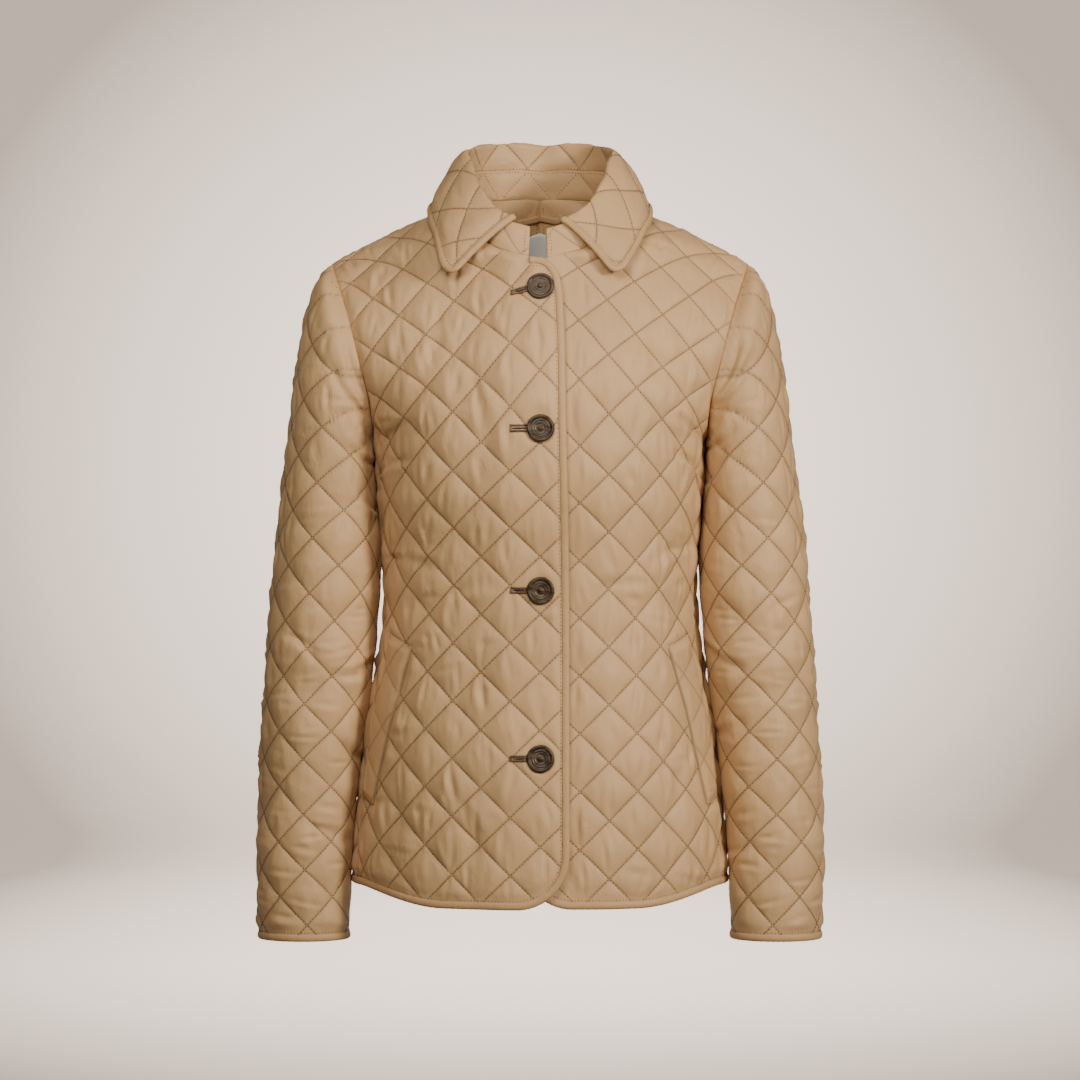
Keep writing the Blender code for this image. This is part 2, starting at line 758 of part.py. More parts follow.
def panel_layout(outline, seats, quilting, ridge):
    """Flat triangles of a panel: points with heights, faces and outline places."""
    corners = [(edge.s, edge.t) for edge in outline]
    flat = list(corners)
    heights = [0.0] * len(flat)
    stretches = []
    for seat in seats:
        first = len(flat)
        flat.extend(seat)
        heights.extend([0.0] * len(seat))
        stretches.extend((first + k, first + (k + 1) % len(seat)) for k in range(len(seat)))
    first = len(flat)
    flat.extend(ridge)
    heights.extend([0.0] * len(ridge))
    stretches.extend((first + k, first + k + 1) for k in range(len(ridge) - 1))
    quilt = quilt_points(corners, seats, quilting)
    places = {}
    for key, (s, t, height) in quilt.items():
        places[key] = len(flat)
        flat.append((s, t))
        heights.append(height)
    for (i, j), place in places.items():
        for step in (1, -1):
            other = places.get((i + 1, j + step))
            if (i + j) % 2 or other is None:
                continue
            if any(crosses(flat[place], flat[other], ring) for ring in [corners, *seats]):
                continue
            stretches.append((place, other))
    vectors = [Vector(pair) for pair in flat]
    rim = list(range(len(corners)))
    _, _, faces, origins, _, _ = delaunay_2d_cdt(vectors, stretches, [rim], 1, JOIN_LIMIT)
    named = [[origins[corner][0] for corner in face] for face in faces]
    return flat, heights, named


def mesh_solid(name, points, faces, colour, rough=CLOTH_ROUGH):
    """One closed solid from points in millimetres."""
    mesh = bpy.data.meshes.new(name)
    work = bmesh.new()
    for point in points:
        work.verts.new(Vector(point) * MM)
    work.verts.ensure_lookup_table()
    for face in faces:
        work.faces.new([work.verts[index] for index in face])
    loose = [vert for vert in work.verts if not vert.link_faces]
    bmesh.ops.delete(work, geom=loose, context="VERTS")
    bmesh.ops.recalc_face_normals(work, faces=work.faces)
    if work.calc_volume(signed=True) < 0.0:
        bmesh.ops.reverse_faces(work, faces=work.faces)
    work.to_mesh(mesh)
    work.free()
    solid = bpy.data.objects.new(name, mesh)
    bpy.context.scene.collection.objects.link(solid)
    material = bpy.data.materials.new(name)
    material.use_nodes = True
    shader = material.node_tree.nodes["Principled BSDF"]
    shader.inputs["Base Color"].default_value = (*colour, 1.0)
    shader.inputs["Roughness"].default_value = rough
    mesh.materials.append(material)
    return solid


def sided(points, side):
    """Points of the wearer's left, or mirrored for the right."""
    if side == "left":
        return points
    return [point * MIRROR for point in points]


def cloth_solid(name, chart, outline, seats, quilting, side="left", joins=(), ridge=(), wall=WALL):
    """Quilted panel: raised outer points over a plain inner wall, closed round its rim."""
    flat, heights, faces = panel_layout(outline, seats, quilting, ridge)
    count = len(flat)
    outer, inner = [], []
    for index, (s, t) in enumerate(flat):
        place, normal = chart.point(s, t), chart.normal(s, t)
        edge = outline[index] if index < len(outline) else Edge(s, t)
        depth = -normal if edge.depth is None else edge.depth
        if edge.setback is not None:
            place = place + edge.setback
        outer.append(place + normal * heights[index])
        inner.append(place + depth * wall)
    joined = dict(joins)
    faces = [[joined.get(corner, corner) for corner in face] for face in faces]
    uses = {}
    for face in faces:
        for k in range(3):
            pair = (face[k], face[(k + 1) % 3])
            uses.setdefault(frozenset(pair), []).append(pair)
    solid = list(faces)
    solid += [[corner + count for corner in reversed(face)] for face in faces]
    for pairs in uses.values():
        if len(pairs) == 1:
            a, b = pairs[0]
            solid.append([b, a, a + count, b + count])
    return mesh_solid(name, sided(outer + inner, side), solid, CLOTH)


def strip_solid(name, frames, section, side="left", closed=False, colour=CLOTH_DARK):
    """Strip of one section swept through frames of place, direction and outward direction."""
    points = []
    for place, along, outward in frames:
        points.extend(place + along * a + outward * b for a, b in section)
    size, count = len(section), len(frames)
    faces = []
    for ring in range(count if closed else count - 1):
        after = (ring + 1) % count
        for k in range(size):
            n = (k + 1) % size
            faces.append([ring * size + k, ring * size + n, after * size + n, after * size + k])
    if not closed:
        faces.append(list(range(size))[::-1])
        faces.append([(count - 1) * size + k for k in range(size)])
    return mesh_solid(name, sided(points, side), faces, colour)


def edge_frames(chart, line):
    """Frames along a free edge run against the clock, each looking out of the panel across it."""
    frames = []
    for index, (s, t) in enumerate(line):
        before, after = line[max(index - 1, 0)], line[min(index + 1, len(line) - 1)]
        normal = chart.normal(s, t)
        travel = chart.point(*after) - chart.point(*before)
        frames.append((chart.point(s, t), unit(np.cross(travel, normal)) * chart.outward, normal))
    return frames


def inset(chart, line, distance):
    """Free edge moved into its panel by a true distance."""
    moved = []
    for (s, t), (_, out, _) in zip(line, edge_frames(chart, line)):
        across = chart.point(s + 1.0, t) - chart.point(s - 1.0, t)
        upward = chart.point(s, t + 1.0) - chart.point(s, t - 1.0)
        steps = np.stack((across, upward), axis=1) / 2.0
        ds, dt = np.linalg.lstsq(steps, -out * distance, rcond=None)[0]
        moved.append((s + float(ds), t + float(dt)))
    return moved


def seam_frame(chart, ends, t, side=1.0):
    """Frame at the foot of a side seam, its end lying along the seam."""
    place, _, normal = chart.frame(side * (ends(t)[1] - HALF_GAP), t, 0.0, -1.0)
    above = chart.point(side * (ends(t + BIND_WIDTH)[1] - HALF_GAP), t + BIND_WIDTH)
    return place, unit(place - above), normal


def body_puff(lapped, ends):
    """Rise of the quilted squares of a body panel, pressed where it laps and under the arm."""
    def puff(s, t):
        height = PUFF_LOW + (PUFF_HIGH - PUFF_LOW) * ease((t - PUFF_FADE[0]) / PUFF_FADE[1])
        near = ease((s - ends(t)[1] + PRESS_REACH) / PRESS_FADE)
        near *= 1.0 - ease(abs(t - PRESS_ARM[0]) / PRESS_ARM[1])
        height *= 1.0 - (1.0 - PRESS_SHARE) * near
        return height * (PRESS_SHARE if s < lapped else 1.0)
    return puff


def sleeve_puff(s, t):
    """Rise of the quilted squares of a sleeve, pressed under the arm."""
    low, high = sleeve_ends(t)
    near = ease((PRESS_REACH - min(s - low, high - s)) / PRESS_FADE)
    near *= 1.0 - ease((t - PRESS_SLEEVE[0]) / PRESS_SLEEVE[1])
    return PUFF_SLEEVE * (1.0 - (1.0 - PRESS_SHARE) * near)


def plain_puff(height):
    """Same rise for all squares."""
    def puff(_s, _t):
        return height
    return puff


def hem_level(s):
    """Level of the front hem."""
    return HEM_LOW - GIRTHS[0].height + HEM_RISE * float(ease((s - HEM_FLAT) / HEM_RUN))


def back_hem_level(s):
    """Level of the back hem."""
    risen = HEM_BACK_RISE * float(ease((abs(s) - HEM_BACK_FLAT) / HEM_BACK_RUN))
    return HEM_BACK_LOW - GIRTHS[0].height + risen


def seam_station(ends, level_at):
    """Where a hem meets the side seam."""
    s = GIRTHS[0].half_width
    for _ in range(SOLVE_STEPS):
        s = ends(level_at(s))[1]
    return s


def front_free_edge(side, setback=0.0):
    """Bound edge of a front from the collar round both corners to the side seam."""
    scale = EDGE_SCALE[side]
    t = neck_level(STAND_ENDS[side] - setback)
    line = [(front_ends(t)[0], t)]
    for height, reach in FRONT_EDGE:
        line.append((-reach * scale, level_of(FRONT_ROWS, height)))
    edge = line[-1][0]
    centre_s = edge + HEM_RADIUS
    centre_t = hem_level(0.0) + HEM_RADIUS
    upper = line.pop()
    count = math.ceil((upper[1] - centre_t) / EDGE_STEP)
    for k in range(count):
        line.append((edge, upper[1] + (centre_t - upper[1]) * k / count))
    for k in range(CORNER_STEPS + 1):
        turn = math.pi / 2.0 * k / CORNER_STEPS
        line.append((centre_s - HEM_RADIUS * math.cos(turn), centre_t - HEM_RADIUS * math.sin(turn)))
    last = seam_station(front_ends, hem_level) - HALF_GAP
    count = math.ceil((last - centre_s) / EDGE_STEP)
    for k in range(1, count):
        s = centre_s + (last - centre_s) * k / count
        line.append((s, hem_level(s)))
    line += [(s, hem_level(s)) for s in (last - END_STEP, last)]
    return filled(line)


def filled(line):
    """Line with its longer stretches halved."""
    dense = [line[0]]
    for before, after in zip(line[:-1], line[1:]):
        gap = math.dist(before, after)
        parts = max(1, round(gap / EDGE_STEP))
        for k in range(1, parts + 1):
            f = k / parts
            dense.append((before[0] + (after[0] - before[0]) * f, before[1] + (after[1] - before[1]) * f))
    return dense


def neck_level(station):
    """Level at which the front neckline is at a distance from the middle."""
    low, high = FRONT_ROWS.armpit, FRONT_ROWS.top
    for _ in range(SOLVE_STEPS):
        middle = (low + high) / 2.0
        if FRONT_ROWS.net(middle)[0, 0] * SKEW < station:
            low = middle
        else:
            high = middle
    return (low + high) / 2.0


def side_levels(low):
    """Levels of the points of a side seam above the hem."""
    count = math.ceil((FRONT_ROWS.armpit - low) / EDGE_STEP)
    return [low + (FRONT_ROWS.armpit - low) * k / count for k in range(1, count)]


def front_neck_levels(side):
    """Levels of the points of a front neckline from the shoulder down to the collar's end."""
    end = neck_level(STAND_ENDS[side])
    return [FRONT_ROWS.top + (end - FRONT_ROWS.top) * k / NECK_PARTS for k in range(NECK_PARTS + 1)]


def back_neck_levels():
    """Levels of the points of half the back neckline from the middle out to the shoulder."""
    keys = [float(key) for key in BACK_ROWS.keys[-4:]]
    levels = []
    for low, high in zip(keys[:-1], keys[1:]):
        levels.extend(low + (high - low) * k / 2.0 for k in range(2))
    return levels + [keys[-1]]


def arm_match(index_from_armpit, back):
    """Turn of the armhole at a row of a front or back."""
    if not back:
        return float(ARM_TURNS[index_from_armpit])
    return float(ARM_TURNS[-index_from_armpit]) if index_from_armpit else 2.0 * math.pi


def build_charts():
    """Surfaces of all the cloth."""
    front_t, back_t = (0.0, FRONT_ROWS.top), (0.0, BACK_ROWS.top)
    sleeve_t = (0.0, SLEEVE_LENGTH)
    over, under = lifted_front_line(LIFT), lifted_front_line(-LIFT)
    return {
        "right": Chart(over, front_t, FRONT_SPAN, 1.0, front_ends, FRONT_FOLDS),
        "left": Chart(under, front_t, FRONT_SPAN, 1.0, front_ends, FRONT_FOLDS[:2]),
        "back": Chart(back_line, back_t, BACK_SPAN, -1.0, back_ends, BACK_FOLDS),
        "sleeve": Chart(sleeve_line, sleeve_t, SLEEVE_SPAN, -1.0, sleeve_ends, SLEEVE_FOLDS),
    }


def armhole_edges(chart, rows, ends, sleeve, back):
    """Armhole corners of a body panel with the way its wall goes in, armpit first."""
    edges = []
    for index, t in enumerate(rows.arm_levels()):
        s = ends(t)[1]
        turn = arm_match(index, back)
        other = sleeve.normal(sleeve_station(0.0, turn), 0.0)
        edges.append(Edge(s, t, edge_depth(chart.normal(s, t), other)))
    return edges


def shoulder_edges(chart, ends, other, other_ends, tops, setback):
    """Shoulder seam corners of a panel from the arm to the neck."""
    edges = []
    top, other_top = tops
    low, high = ends(top)
    other_low, other_high = other_ends(other_top)
    for k in range(SHOULDER_PARTS + 1):
        f = k / SHOULDER_PARTS
        s = high + (low - high) * f
        facing = other.normal(other_high + (other_low - other_high) * f, other_top)
        edges.append(Edge(s, top, edge_depth(chart.normal(s, top), facing), setback))
    return edges


def front_outline(side, charts):
    """Outline of a front against the clock, from the collar's end."""
    chart = charts[side]
    free = inset(chart, front_free_edge(side), BIND_SEAT)
    outline = [Edge(s, t) for s, t in free]
    low = outline[-1].t
    outline[-1] = Edge(front_ends(low)[1] - HALF_GAP, low)
    for t in side_levels(low):
        outline.append(Edge(front_ends(t)[1] - HALF_GAP, t))
    outline += armhole_edges(chart, FRONT_ROWS, front_ends, charts["sleeve"], False)[:-1]
    tops = (FRONT_ROWS.top, BACK_ROWS.top)
    outline += shoulder_edges(chart, front_ends, charts["back"], back_ends, tops, -SHOULDER_SETBACK)
    for t in front_neck_levels(side)[1:]:
        outline.append(Edge(front_ends(t)[0], t))
    return outline


def back_half(charts):
    """Hem and outline of half the back, against the clock from the middle of its hem."""
    chart = charts["back"]
    seam = seam_station(back_ends, back_hem_level) - HALF_GAP
    count = math.ceil(seam / EDGE_STEP)
    stations = [seam * k / count for k in range(count)] + [seam - END_STEP, seam]
    hem = [(s, back_hem_level(s)) for s in stations]
    outline = [Edge(s, t + BIND_SEAT) for s, t in hem[1:]]
    low = outline[-1].t
    outline[-1] = Edge(back_ends(low)[1] - HALF_GAP, low)
    for t in side_levels(low):
        outline.append(Edge(back_ends(t)[1] - HALF_GAP, t))
    outline += armhole_edges(chart, BACK_ROWS, back_ends, charts["sleeve"], True)[:-1]
    tops = (BACK_ROWS.top, FRONT_ROWS.top)
    outline += shoulder_edges(chart, back_ends, charts["left"], front_ends, tops, SHOULDER_SETBACK)
    neck = back_neck_levels()
    for t in reversed(neck[1:-1]):
        outline.append(Edge(back_ends(t)[0], t))
    high, foot = neck[0], hem[0][1] + BIND_SEAT
    count = math.ceil((high - foot) / EDGE_STEP)
    for k in range(count + 1):
        t = high + (foot - high) * k / count
        normal = chart.normal(HALF_GAP, t)
        outline.append(Edge(HALF_GAP, t, edge_depth(normal, normal * MIRROR)))
    return hem, outline


class MirrorChart:
    """Back surface carried over its middle to negative distances."""

    def __init__(self, half):
        self.half = half
        self.outward = half.outward

    def point(self, s, t):
        """Place of a point of the surface."""
        place = self.half.point(abs(s), t)
        return place if s >= 0.0 else place * MIRROR

    def normal(self, s, t):
        """Outward direction at a point of the surface."""
        normal = self.half.normal(abs(s), t)
        return normal if s >= 0.0 else normal * MIRROR

    def frame(self, s, t, ds, dt):
        """Place, direction along (ds, dt) within the surface and outward direction."""
        size = math.hypot(ds, dt)
        ds, dt = ds / size, dt / size
        ahead = self.point(s + ds, t + dt) - self.point(s - ds, t - dt)
        return self.point(s, t), unit(ahead), self.normal(s, t)


def build_back(charts):
    """Both halves of the back, joined up the middle, and the binding of their hem."""
    chart = MirrorChart(charts["back"])
    hem, outline = back_half(charts)
    quilting = Quilting(*CROSSINGS["back"], body_puff(-math.inf, back_ends))
    for side in ("right", "left"):
        cloth_solid(f"back_{side}", charts["back"], outline, [], quilting, side)
    line = [(-s, t) for s, t in reversed(hem[1:])] + hem
    level = line[-1][1]
    first = seam_frame(chart, back_ends, level, -1.0)
    last = seam_frame(chart, back_ends, level)
    strip_solid("binding_hem_back", [first, *edge_frames(chart, line)[1:-1], last], STRIP_SECTION)
    return chart


def welt_place(down, across):
    """Point of a front under its pocket welt, by shares of its length and width."""
    front = [a + (b - a) * down for a, b in zip(*WELT_FRONT)]
    rear = [a + (b - a) * down for a, b in zip(*WELT_REAR)]
    return tuple(a + (b - a) * across for a, b in zip(front, rear))


def welt_seat():
    """Flat place on a front under its pocket welt."""
    ring = []
    for across in (-WELT_SIDE_MARGIN, 1.0 + WELT_SIDE_MARGIN):
        shares = np.linspace(-WELT_MARGIN, 1.0 + WELT_MARGIN, WELT_ROWS - 1)
        side = [welt_place(float(down), across) for down in shares]
        ring.extend(side if across < 0.0 else reversed(side))
    return ring


def build_welt(side, chart):
    """Pocket welt raised on its front."""
    upper, under = [], []
    for row in range(WELT_ROWS):
        raised = WELT_END_SHARE if row in (0, WELT_ROWS - 1) else 1.0
        for share, height in WELT_PROFILE:
            s, t = welt_place(row / (WELT_ROWS - 1), share)
            place, normal = chart.point(s, t), chart.normal(s, t)
            upper.append(place + normal * (WELT_LIFT + height * raised))
            under.append(place + normal * WELT_LIFT)
    faces = slab_faces(WELT_ROWS, len(WELT_PROFILE), len(upper))
    mesh_solid(f"pocket_welt_{side}", sided(upper + under, side), faces, CLOTH)


def slab_faces(rows, columns, count):
    """Faces of a closed slab whose two sheets are grids of points."""
    faces = []
    for row in range(rows - 1):
        for column in range(columns - 1):
            a = row * columns + column
            ring = [a, a + 1, a + columns + 1, a + columns]
            faces.append(ring)
            faces.append([corner + count for corner in reversed(ring)])
    border = [column for column in range(columns)]
    border += [row * columns + columns - 1 for row in range(1, rows)]
    border += [(rows - 1) * columns + column for column in reversed(range(columns - 1))]
    border += [row * columns for row in reversed(range(1, rows - 1))]
    for index, corner in enumerate(border):
        after = border[(index + 1) % len(border)]
        faces.append([after, corner, corner + count, after + count])
    return faces


def button_seat(height):
    """Flat place on the right front under a button."""
    s, t = -BUTTON_ACROSS, level_of(FRONT_ROWS, height)
    ring = []
    for k in range(BUTTON_SEAT_SIDES):
        turn = 2.0 * math.pi * k / BUTTON_SEAT_SIDES
        ring.append((s + BUTTON_SEAT * math.cos(turn), t + BUTTON_SEAT * math.sin(turn)))
    return ring


def build_button(number, chart, height):
    """Turned button with a raised rim, rings and a middle stud."""
    s, t = -BUTTON_ACROSS, level_of(FRONT_ROWS, height)
    place = chart.point(s, t) * MIRROR
    axis = chart.normal(s, t) * MIRROR
    across = unit(np.cross(axis, np.array((0.0, 0.0, 1.0))))
    upward = np.cross(across, axis)
    points, rings = [], []
    for radius, height_up in BUTTON_PROFILE:
        middle = place + axis * height_up
        if radius == 0.0:
            rings.append([len(points)])
            points.append(middle)
            continue
        rings.append(list(range(len(points), len(points) + BUTTON_SIDES)))
        for k in range(BUTTON_SIDES):
            turn = 2.0 * math.pi * k / BUTTON_SIDES
            points.append(middle + (across * math.cos(turn) + upward * math.sin(turn)) * radius)
    faces = []
    for ring, after in zip(rings[:-1], rings[1:]):
        for k in range(BUTTON_SIDES):
            n = (k + 1) % BUTTON_SIDES
            if len(ring) == 1:
                faces.append([ring[0], after[k], after[n]])
            elif len(after) == 1:
                faces.append([ring[n], ring[k], after[0]])
            else:
                faces.append([ring[n], ring[k], after[k], after[n]])
    solid = mesh_solid(f"button_{number}", points, faces, HORN, HORN_ROUGH)
    solid.data.shade_smooth()


def build_front(side, charts):
    """One front with its binding and pocket welt."""
    chart = charts[side]
    seats = [welt_seat()]
    if side == "right":
        quilting = Quilting(*CROSSINGS[side], body_puff(-math.inf, front_ends))
        seats += [button_seat(height) for height in BUTTON_HEIGHTS]
    else:
        quilting = Quilting(*CROSSINGS[side], body_puff(PRESS_UNDER, front_ends))
    cloth_solid(f"front_{side}", chart, front_outline(side, charts), seats, quilting, side)
    line = front_free_edge(side, BIND_SETBACK)
    frames = edge_frames(chart, line)[:-1] + [seam_frame(chart, front_ends, line[-1][1])]
    strip_solid(f"binding_front_{side}", frames, STRIP_SECTION, side)
    build_welt(side, chart)


def sleeve_outline(charts):
    """Outline of a sleeve laid open at its seam, and which of its seam points are joined."""
    sleeve = charts["sleeve"]
    foot = SLEEVE_LENGTH - BIND_SEAT
    edges = []
    for index, turn in enumerate(ARM_TURNS):
        s = sleeve_station(0.0, float(turn))
        if turn <= math.pi:
            panel, rows, ends, row = charts["left"], FRONT_ROWS, front_ends, index
        else:
            panel, rows, ends, row = charts["back"], BACK_ROWS, back_ends, len(ARM_TURNS) - index
        t = rows.arm_levels()[row]
        other = panel.normal(ends(t)[1], t)
        edges.append(Edge(s, 0.0, edge_depth(sleeve.normal(s, 0.0), other)))
    count = math.ceil(foot / EDGE_STEP)
    levels = [foot * k / count for k in range(1, count)]
    top_end = Edge(sleeve_station(0.0, 2.0 * math.pi), 0.0, edges[0].depth)
    seam_right = [Edge(sleeve_station(t, 2.0 * math.pi), t) for t in levels]
    cuff = [Edge(sleeve_station(foot, turn), foot) for turn in cuff_turns()]
    seam_left = [Edge(sleeve_station(t, 0.0), t) for t in levels]
    outline = edges + [top_end] + seam_right + cuff[::-1] + seam_left[::-1]
    total = len(outline)
    first_right = len(edges)
    joins = {first_right: 0}
    for k in range(len(levels)):
        joins[first_right + 1 + k] = total - 1 - k
    joins[first_right + len(levels) + 1] = first_right + len(levels) + len(cuff)
    return outline, joins


def cuff_turns():
    """Turns of the points of a cuff."""
    return [2.0 * math.pi * k / CUFF_PARTS for k in range(CUFF_PARTS + 1)]


def build_sleeve(side, charts):
    """One sleeve, closed under the arm, and the binding of its cuff."""
    chart = charts["sleeve"]
    outline, joins = sleeve_outline(charts)
    quilting = Quilting(0.0, 0.0, sleeve_puff, sleeve_lay, sleeve_place)
    cloth_solid(f"sleeve_{side}", chart, outline, [], quilting, side, joins)
    frames = []
    for turn in cuff_turns()[:-1]:
        s = sleeve_station(SLEEVE_LENGTH, turn)
        place = chart.point(s, SLEEVE_LENGTH)
        down = unit(place - chart.point(s, SLEEVE_LENGTH - BIND_WIDTH))
        frames.append((place, down, chart.normal(s, SLEEVE_LENGTH - NORMAL_REACH)))
    strip_solid(f"binding_cuff_{side}", frames, STRIP_SECTION, side, closed=True)


def neck_ring(charts):
    """Neckline points from the right end of the collar round the back to the left end."""
    halves = {}
    for side in ("right", "left"):
        chart = charts[side]
        points = []
        for t in front_neck_levels(side):
            s = front_ends(t)[0]
            points.append((chart.point(s, t), chart.normal(s, t)))
        halves[side] = points
    back = []
    for t in back_neck_levels():
        s = back_ends(t)[0]
        back.append((charts["back"].point(s, t), charts["back"].normal(s, t)))
    right = [(place * MIRROR, normal * MIRROR) for place, normal in reversed(halves["right"])]
    right_back = [(place * MIRROR, normal * MIRROR) for place, normal in reversed(back[1:])]
    return right[:-1] + right_back + back + halves["left"][1:]


def lean_of(share):
    """Distance by which the stand leans in at a share of the way from back to front."""
    return float(np.interp(share, [key for key, _ in LEANS], [lean for _, lean in LEANS]))


class CollarCurve:
    """Foot and top of the collar stand, by distance from the middle of the back."""

    def __init__(self, charts):
        ring = neck_ring(charts)
        self.feet = np.stack([place for place, _ in ring]) + np.array((0.0, 0.0, SEAM_GAP))
        self.body_normals = [normal for _, normal in ring]
        along = lengths_along(self.feet)
        middle = int(np.argmax(self.feet[:, 1]))
        self.along = along - along[middle]
        self.low, self.high = float(self.along[0]), float(self.along[-1])
        middles = (self.along[:-1] + self.along[1:]) / 2.0
        self.stations = [float(t) for t in sorted((*self.along, *middles))]
        tops = []
        for place, distance in zip(self.feet, self.along):
            share = distance / (self.low if distance < 0.0 else self.high)
            inward = unit(np.array((-place[0], -place[1], 0.0)))
            tops.append(place + inward * lean_of(share) + np.array((0.0, 0.0, STAND_RISE)))
        self.tops = np.stack(tops)
        _, self.foot_rates = slopes_of(self.along, self.feet)
        _, self.top_rates = slopes_of(self.along, self.tops)

    def line(self, distance):
        """Straight rise of the stand at a distance."""
        foot = smooth_between(self.along, self.feet, self.foot_rates, self.foot_rates, distance)
        top = smooth_between(self.along, self.tops, self.top_rates, self.top_rates, distance)
        points = np.stack((foot, (foot + top) / 2.0, top))
        return points, lengths_along(points)


def build_stand(curve):
    """Collar stand on the neckline."""
    chart = Chart(curve.line, (curve.low, curve.high), STAND_SPAN, 1.0)
    outline = []
    for t, normal in zip(curve.along, curve.body_normals):
        outline.append(Edge(0.0, float(t), edge_depth(chart.normal(0.0, float(t)), normal)))
    for t in reversed(curve.stations):
        outline.append(Edge(row_length(curve.line(t)[0]) - HALF_GAP, t))
    quilting = Quilting(*CROSSINGS["stand"], plain_puff(PUFF_STAND))
    cloth_solid("collar_stand", chart, outline, [], quilting)


def leaf_line(curve):
    """Sections of the turned-down collar, from the stand over the roll to the edge."""
    tables = {}
    for name, rows in (("right", LEAVES_RIGHT), ("left", LEAVES_LEFT)):
        keys = np.array([row.share for row in rows])
        values = np.array([(row.rise, row.inward, row.turn, *row.edge) for row in rows])
        tables[name] = (keys, values, slopes_of(keys, values)[1])

    def row_line(distance):
        name = "right" if distance < 0.0 else "left"
        share = distance / (curve.low if distance < 0.0 else curve.high)
        keys, values, rates = tables[name]
        rise, inward, turn, *edge = smooth_between(keys, values, rates, rates, share)
        edge = np.array(edge) * MIRROR if name == "right" else np.array(edge)
        foot = curve.line(distance)[0][-1] + np.array((0.0, 0.0, SEAM_GAP))
        out = unit(np.array((edge[0] - foot[0], edge[1] - foot[1], 0.0)))
        up = np.array((0.0, 0.0, 1.0))
        roll = foot + up * rise - out * inward
        inner = np.stack((foot, foot + up * rise * LEAF_SPRING, roll, roll))
        above = edge + (roll - edge) * LEAF_DROP + out * LEAF_SWELL
        outer = np.stack((roll, roll + out * turn, above, edge))
        points = np.concatenate((curve_line(inner), curve_line(outer)[1:]))
        return points, lengths_along(points)
    return row_line


def build_fall(curve):
    """Turned-down collar leaf with round tips, and its binding."""
    row_line = leaf_line(curve)
    low = curve.low * LEAVES_RIGHT[-1].share
    high = curve.high * LEAVES_LEFT[-1].share
    chart = Chart(row_line, (low - END_REACH, high + END_REACH), LEAF_SPAN, -1.0)

    def width(t):
        return row_length(row_line(t)[0])

    def roll(t):
        points, along = row_line(t)
        return float(along[int(np.argmax(points[:, 2]))])

    def tip(end, sign):
        points = []
        for k in range(TIP_STEPS + 1):
            turn = math.pi / 2.0 * k / TIP_STEPS
            t = end - sign * TIP_RADIUS * (1.0 - math.cos(turn))
            points.append((width(t) - TIP_RADIUS * (1.0 - math.sin(turn)), t))
        return points

    low_tip, high_tip = tip(low, -1.0), tip(high, 1.0)
    first, last = low_tip[-1][1], high_tip[-1][1]
    edge = []
    for k in range(1, LEAF_PARTS):
        t = first + (last - first) * k / LEAF_PARTS
        edge.append((width(t), t))
    start = [(low_tip[0][0] * k / END_PARTS, low) for k in range(END_PARTS)]
    finish = [(high_tip[0][0] * k / END_PARTS, high) for k in reversed(range(END_PARTS))]
    line = start + low_tip + edge + high_tip[::-1] + finish
    inner = inset(chart, line, BIND_SEAT + LEAF_GAP)
    inner[0] = (0.0, low + LEAF_START)
    inner[-1] = (0.0, high - LEAF_START)
    outline = [Edge(s, t) for s, t in inner]
    margin = LEAF_START + END_STEP
    stations = [t for t in curve.stations if low + margin < t < high - margin]
    outline += [Edge(0.0, t) for t in reversed(stations)]
    line[0] = (LEAF_SETBACK, low)
    line[-1] = (LEAF_SETBACK, high)
    ring = [(roll(t) * ROLL_SHARE, t) for t in stations]
    ring += [(roll(t) + ROLL_HALF, t) for t in reversed(stations)]
    ridge = [(roll(t), t) for t in stations[1:-1]]
    quilting = Quilting(*CROSSINGS["fall"], plain_puff(PUFF_COLLAR))
    cloth_solid("collar_fall", chart, outline, [ring], quilting, ridge=ridge, wall=WALL_FALL)
    frames = edge_frames(chart, line)
    for index, inward in ((0, BIND_WIDTH), (-1, -BIND_WIDTH)):
        (s, t), (place, _, normal) = line[index], frames[index]
        frames[index] = (place, unit(place - chart.point(s, t + inward)), normal)
    strip_solid("binding_collar", frames, STRIP_SECTION)


def build_label(chart):
    """Blank label lying on the inside of the back."""
    top = level_of(BACK_ROWS, LABEL_TOP)
    foot = level_of(BACK_ROWS, LABEL_FOOT)
    points = []
    for depth in (LABEL_DEPTH + LABEL_THICK, LABEL_DEPTH):
        for row in range(LABEL_ROWS):
            t = foot + (top - foot) * row / (LABEL_ROWS - 1)
            for column in range(LABEL_COLUMNS):
                s = -LABEL_HALF + 2.0 * LABEL_HALF * column / (LABEL_COLUMNS - 1)
                points.append(chart.point(s, t) - chart.normal(s, t) * depth)
    faces = slab_faces(LABEL_ROWS, LABEL_COLUMNS, LABEL_ROWS * LABEL_COLUMNS)
    mesh_solid("neck_label", points, faces, SATIN, SATIN_ROUGH)


def build_hanger(chart):
    """Narrow strip for hanging, both ends at the neck seam."""
    frames = []
    for index, ((s, height), stand) in enumerate(zip(LOOP_PATH, LOOP_STANDS)):
        before = LOOP_PATH[max(index - 1, 0)]
        after = LOOP_PATH[min(index + 1, len(LOOP_PATH) - 1)]
        ds, dt = after[0] - before[0], after[1] - before[1]
        t = level_of(BACK_ROWS, height)
        place, across, normal = chart.frame(s, t, -dt, ds)
        frames.append((place - normal * (WALL + stand), across, -normal))
    strip_solid("hanger_loop", frames, LOOP_SECTION)


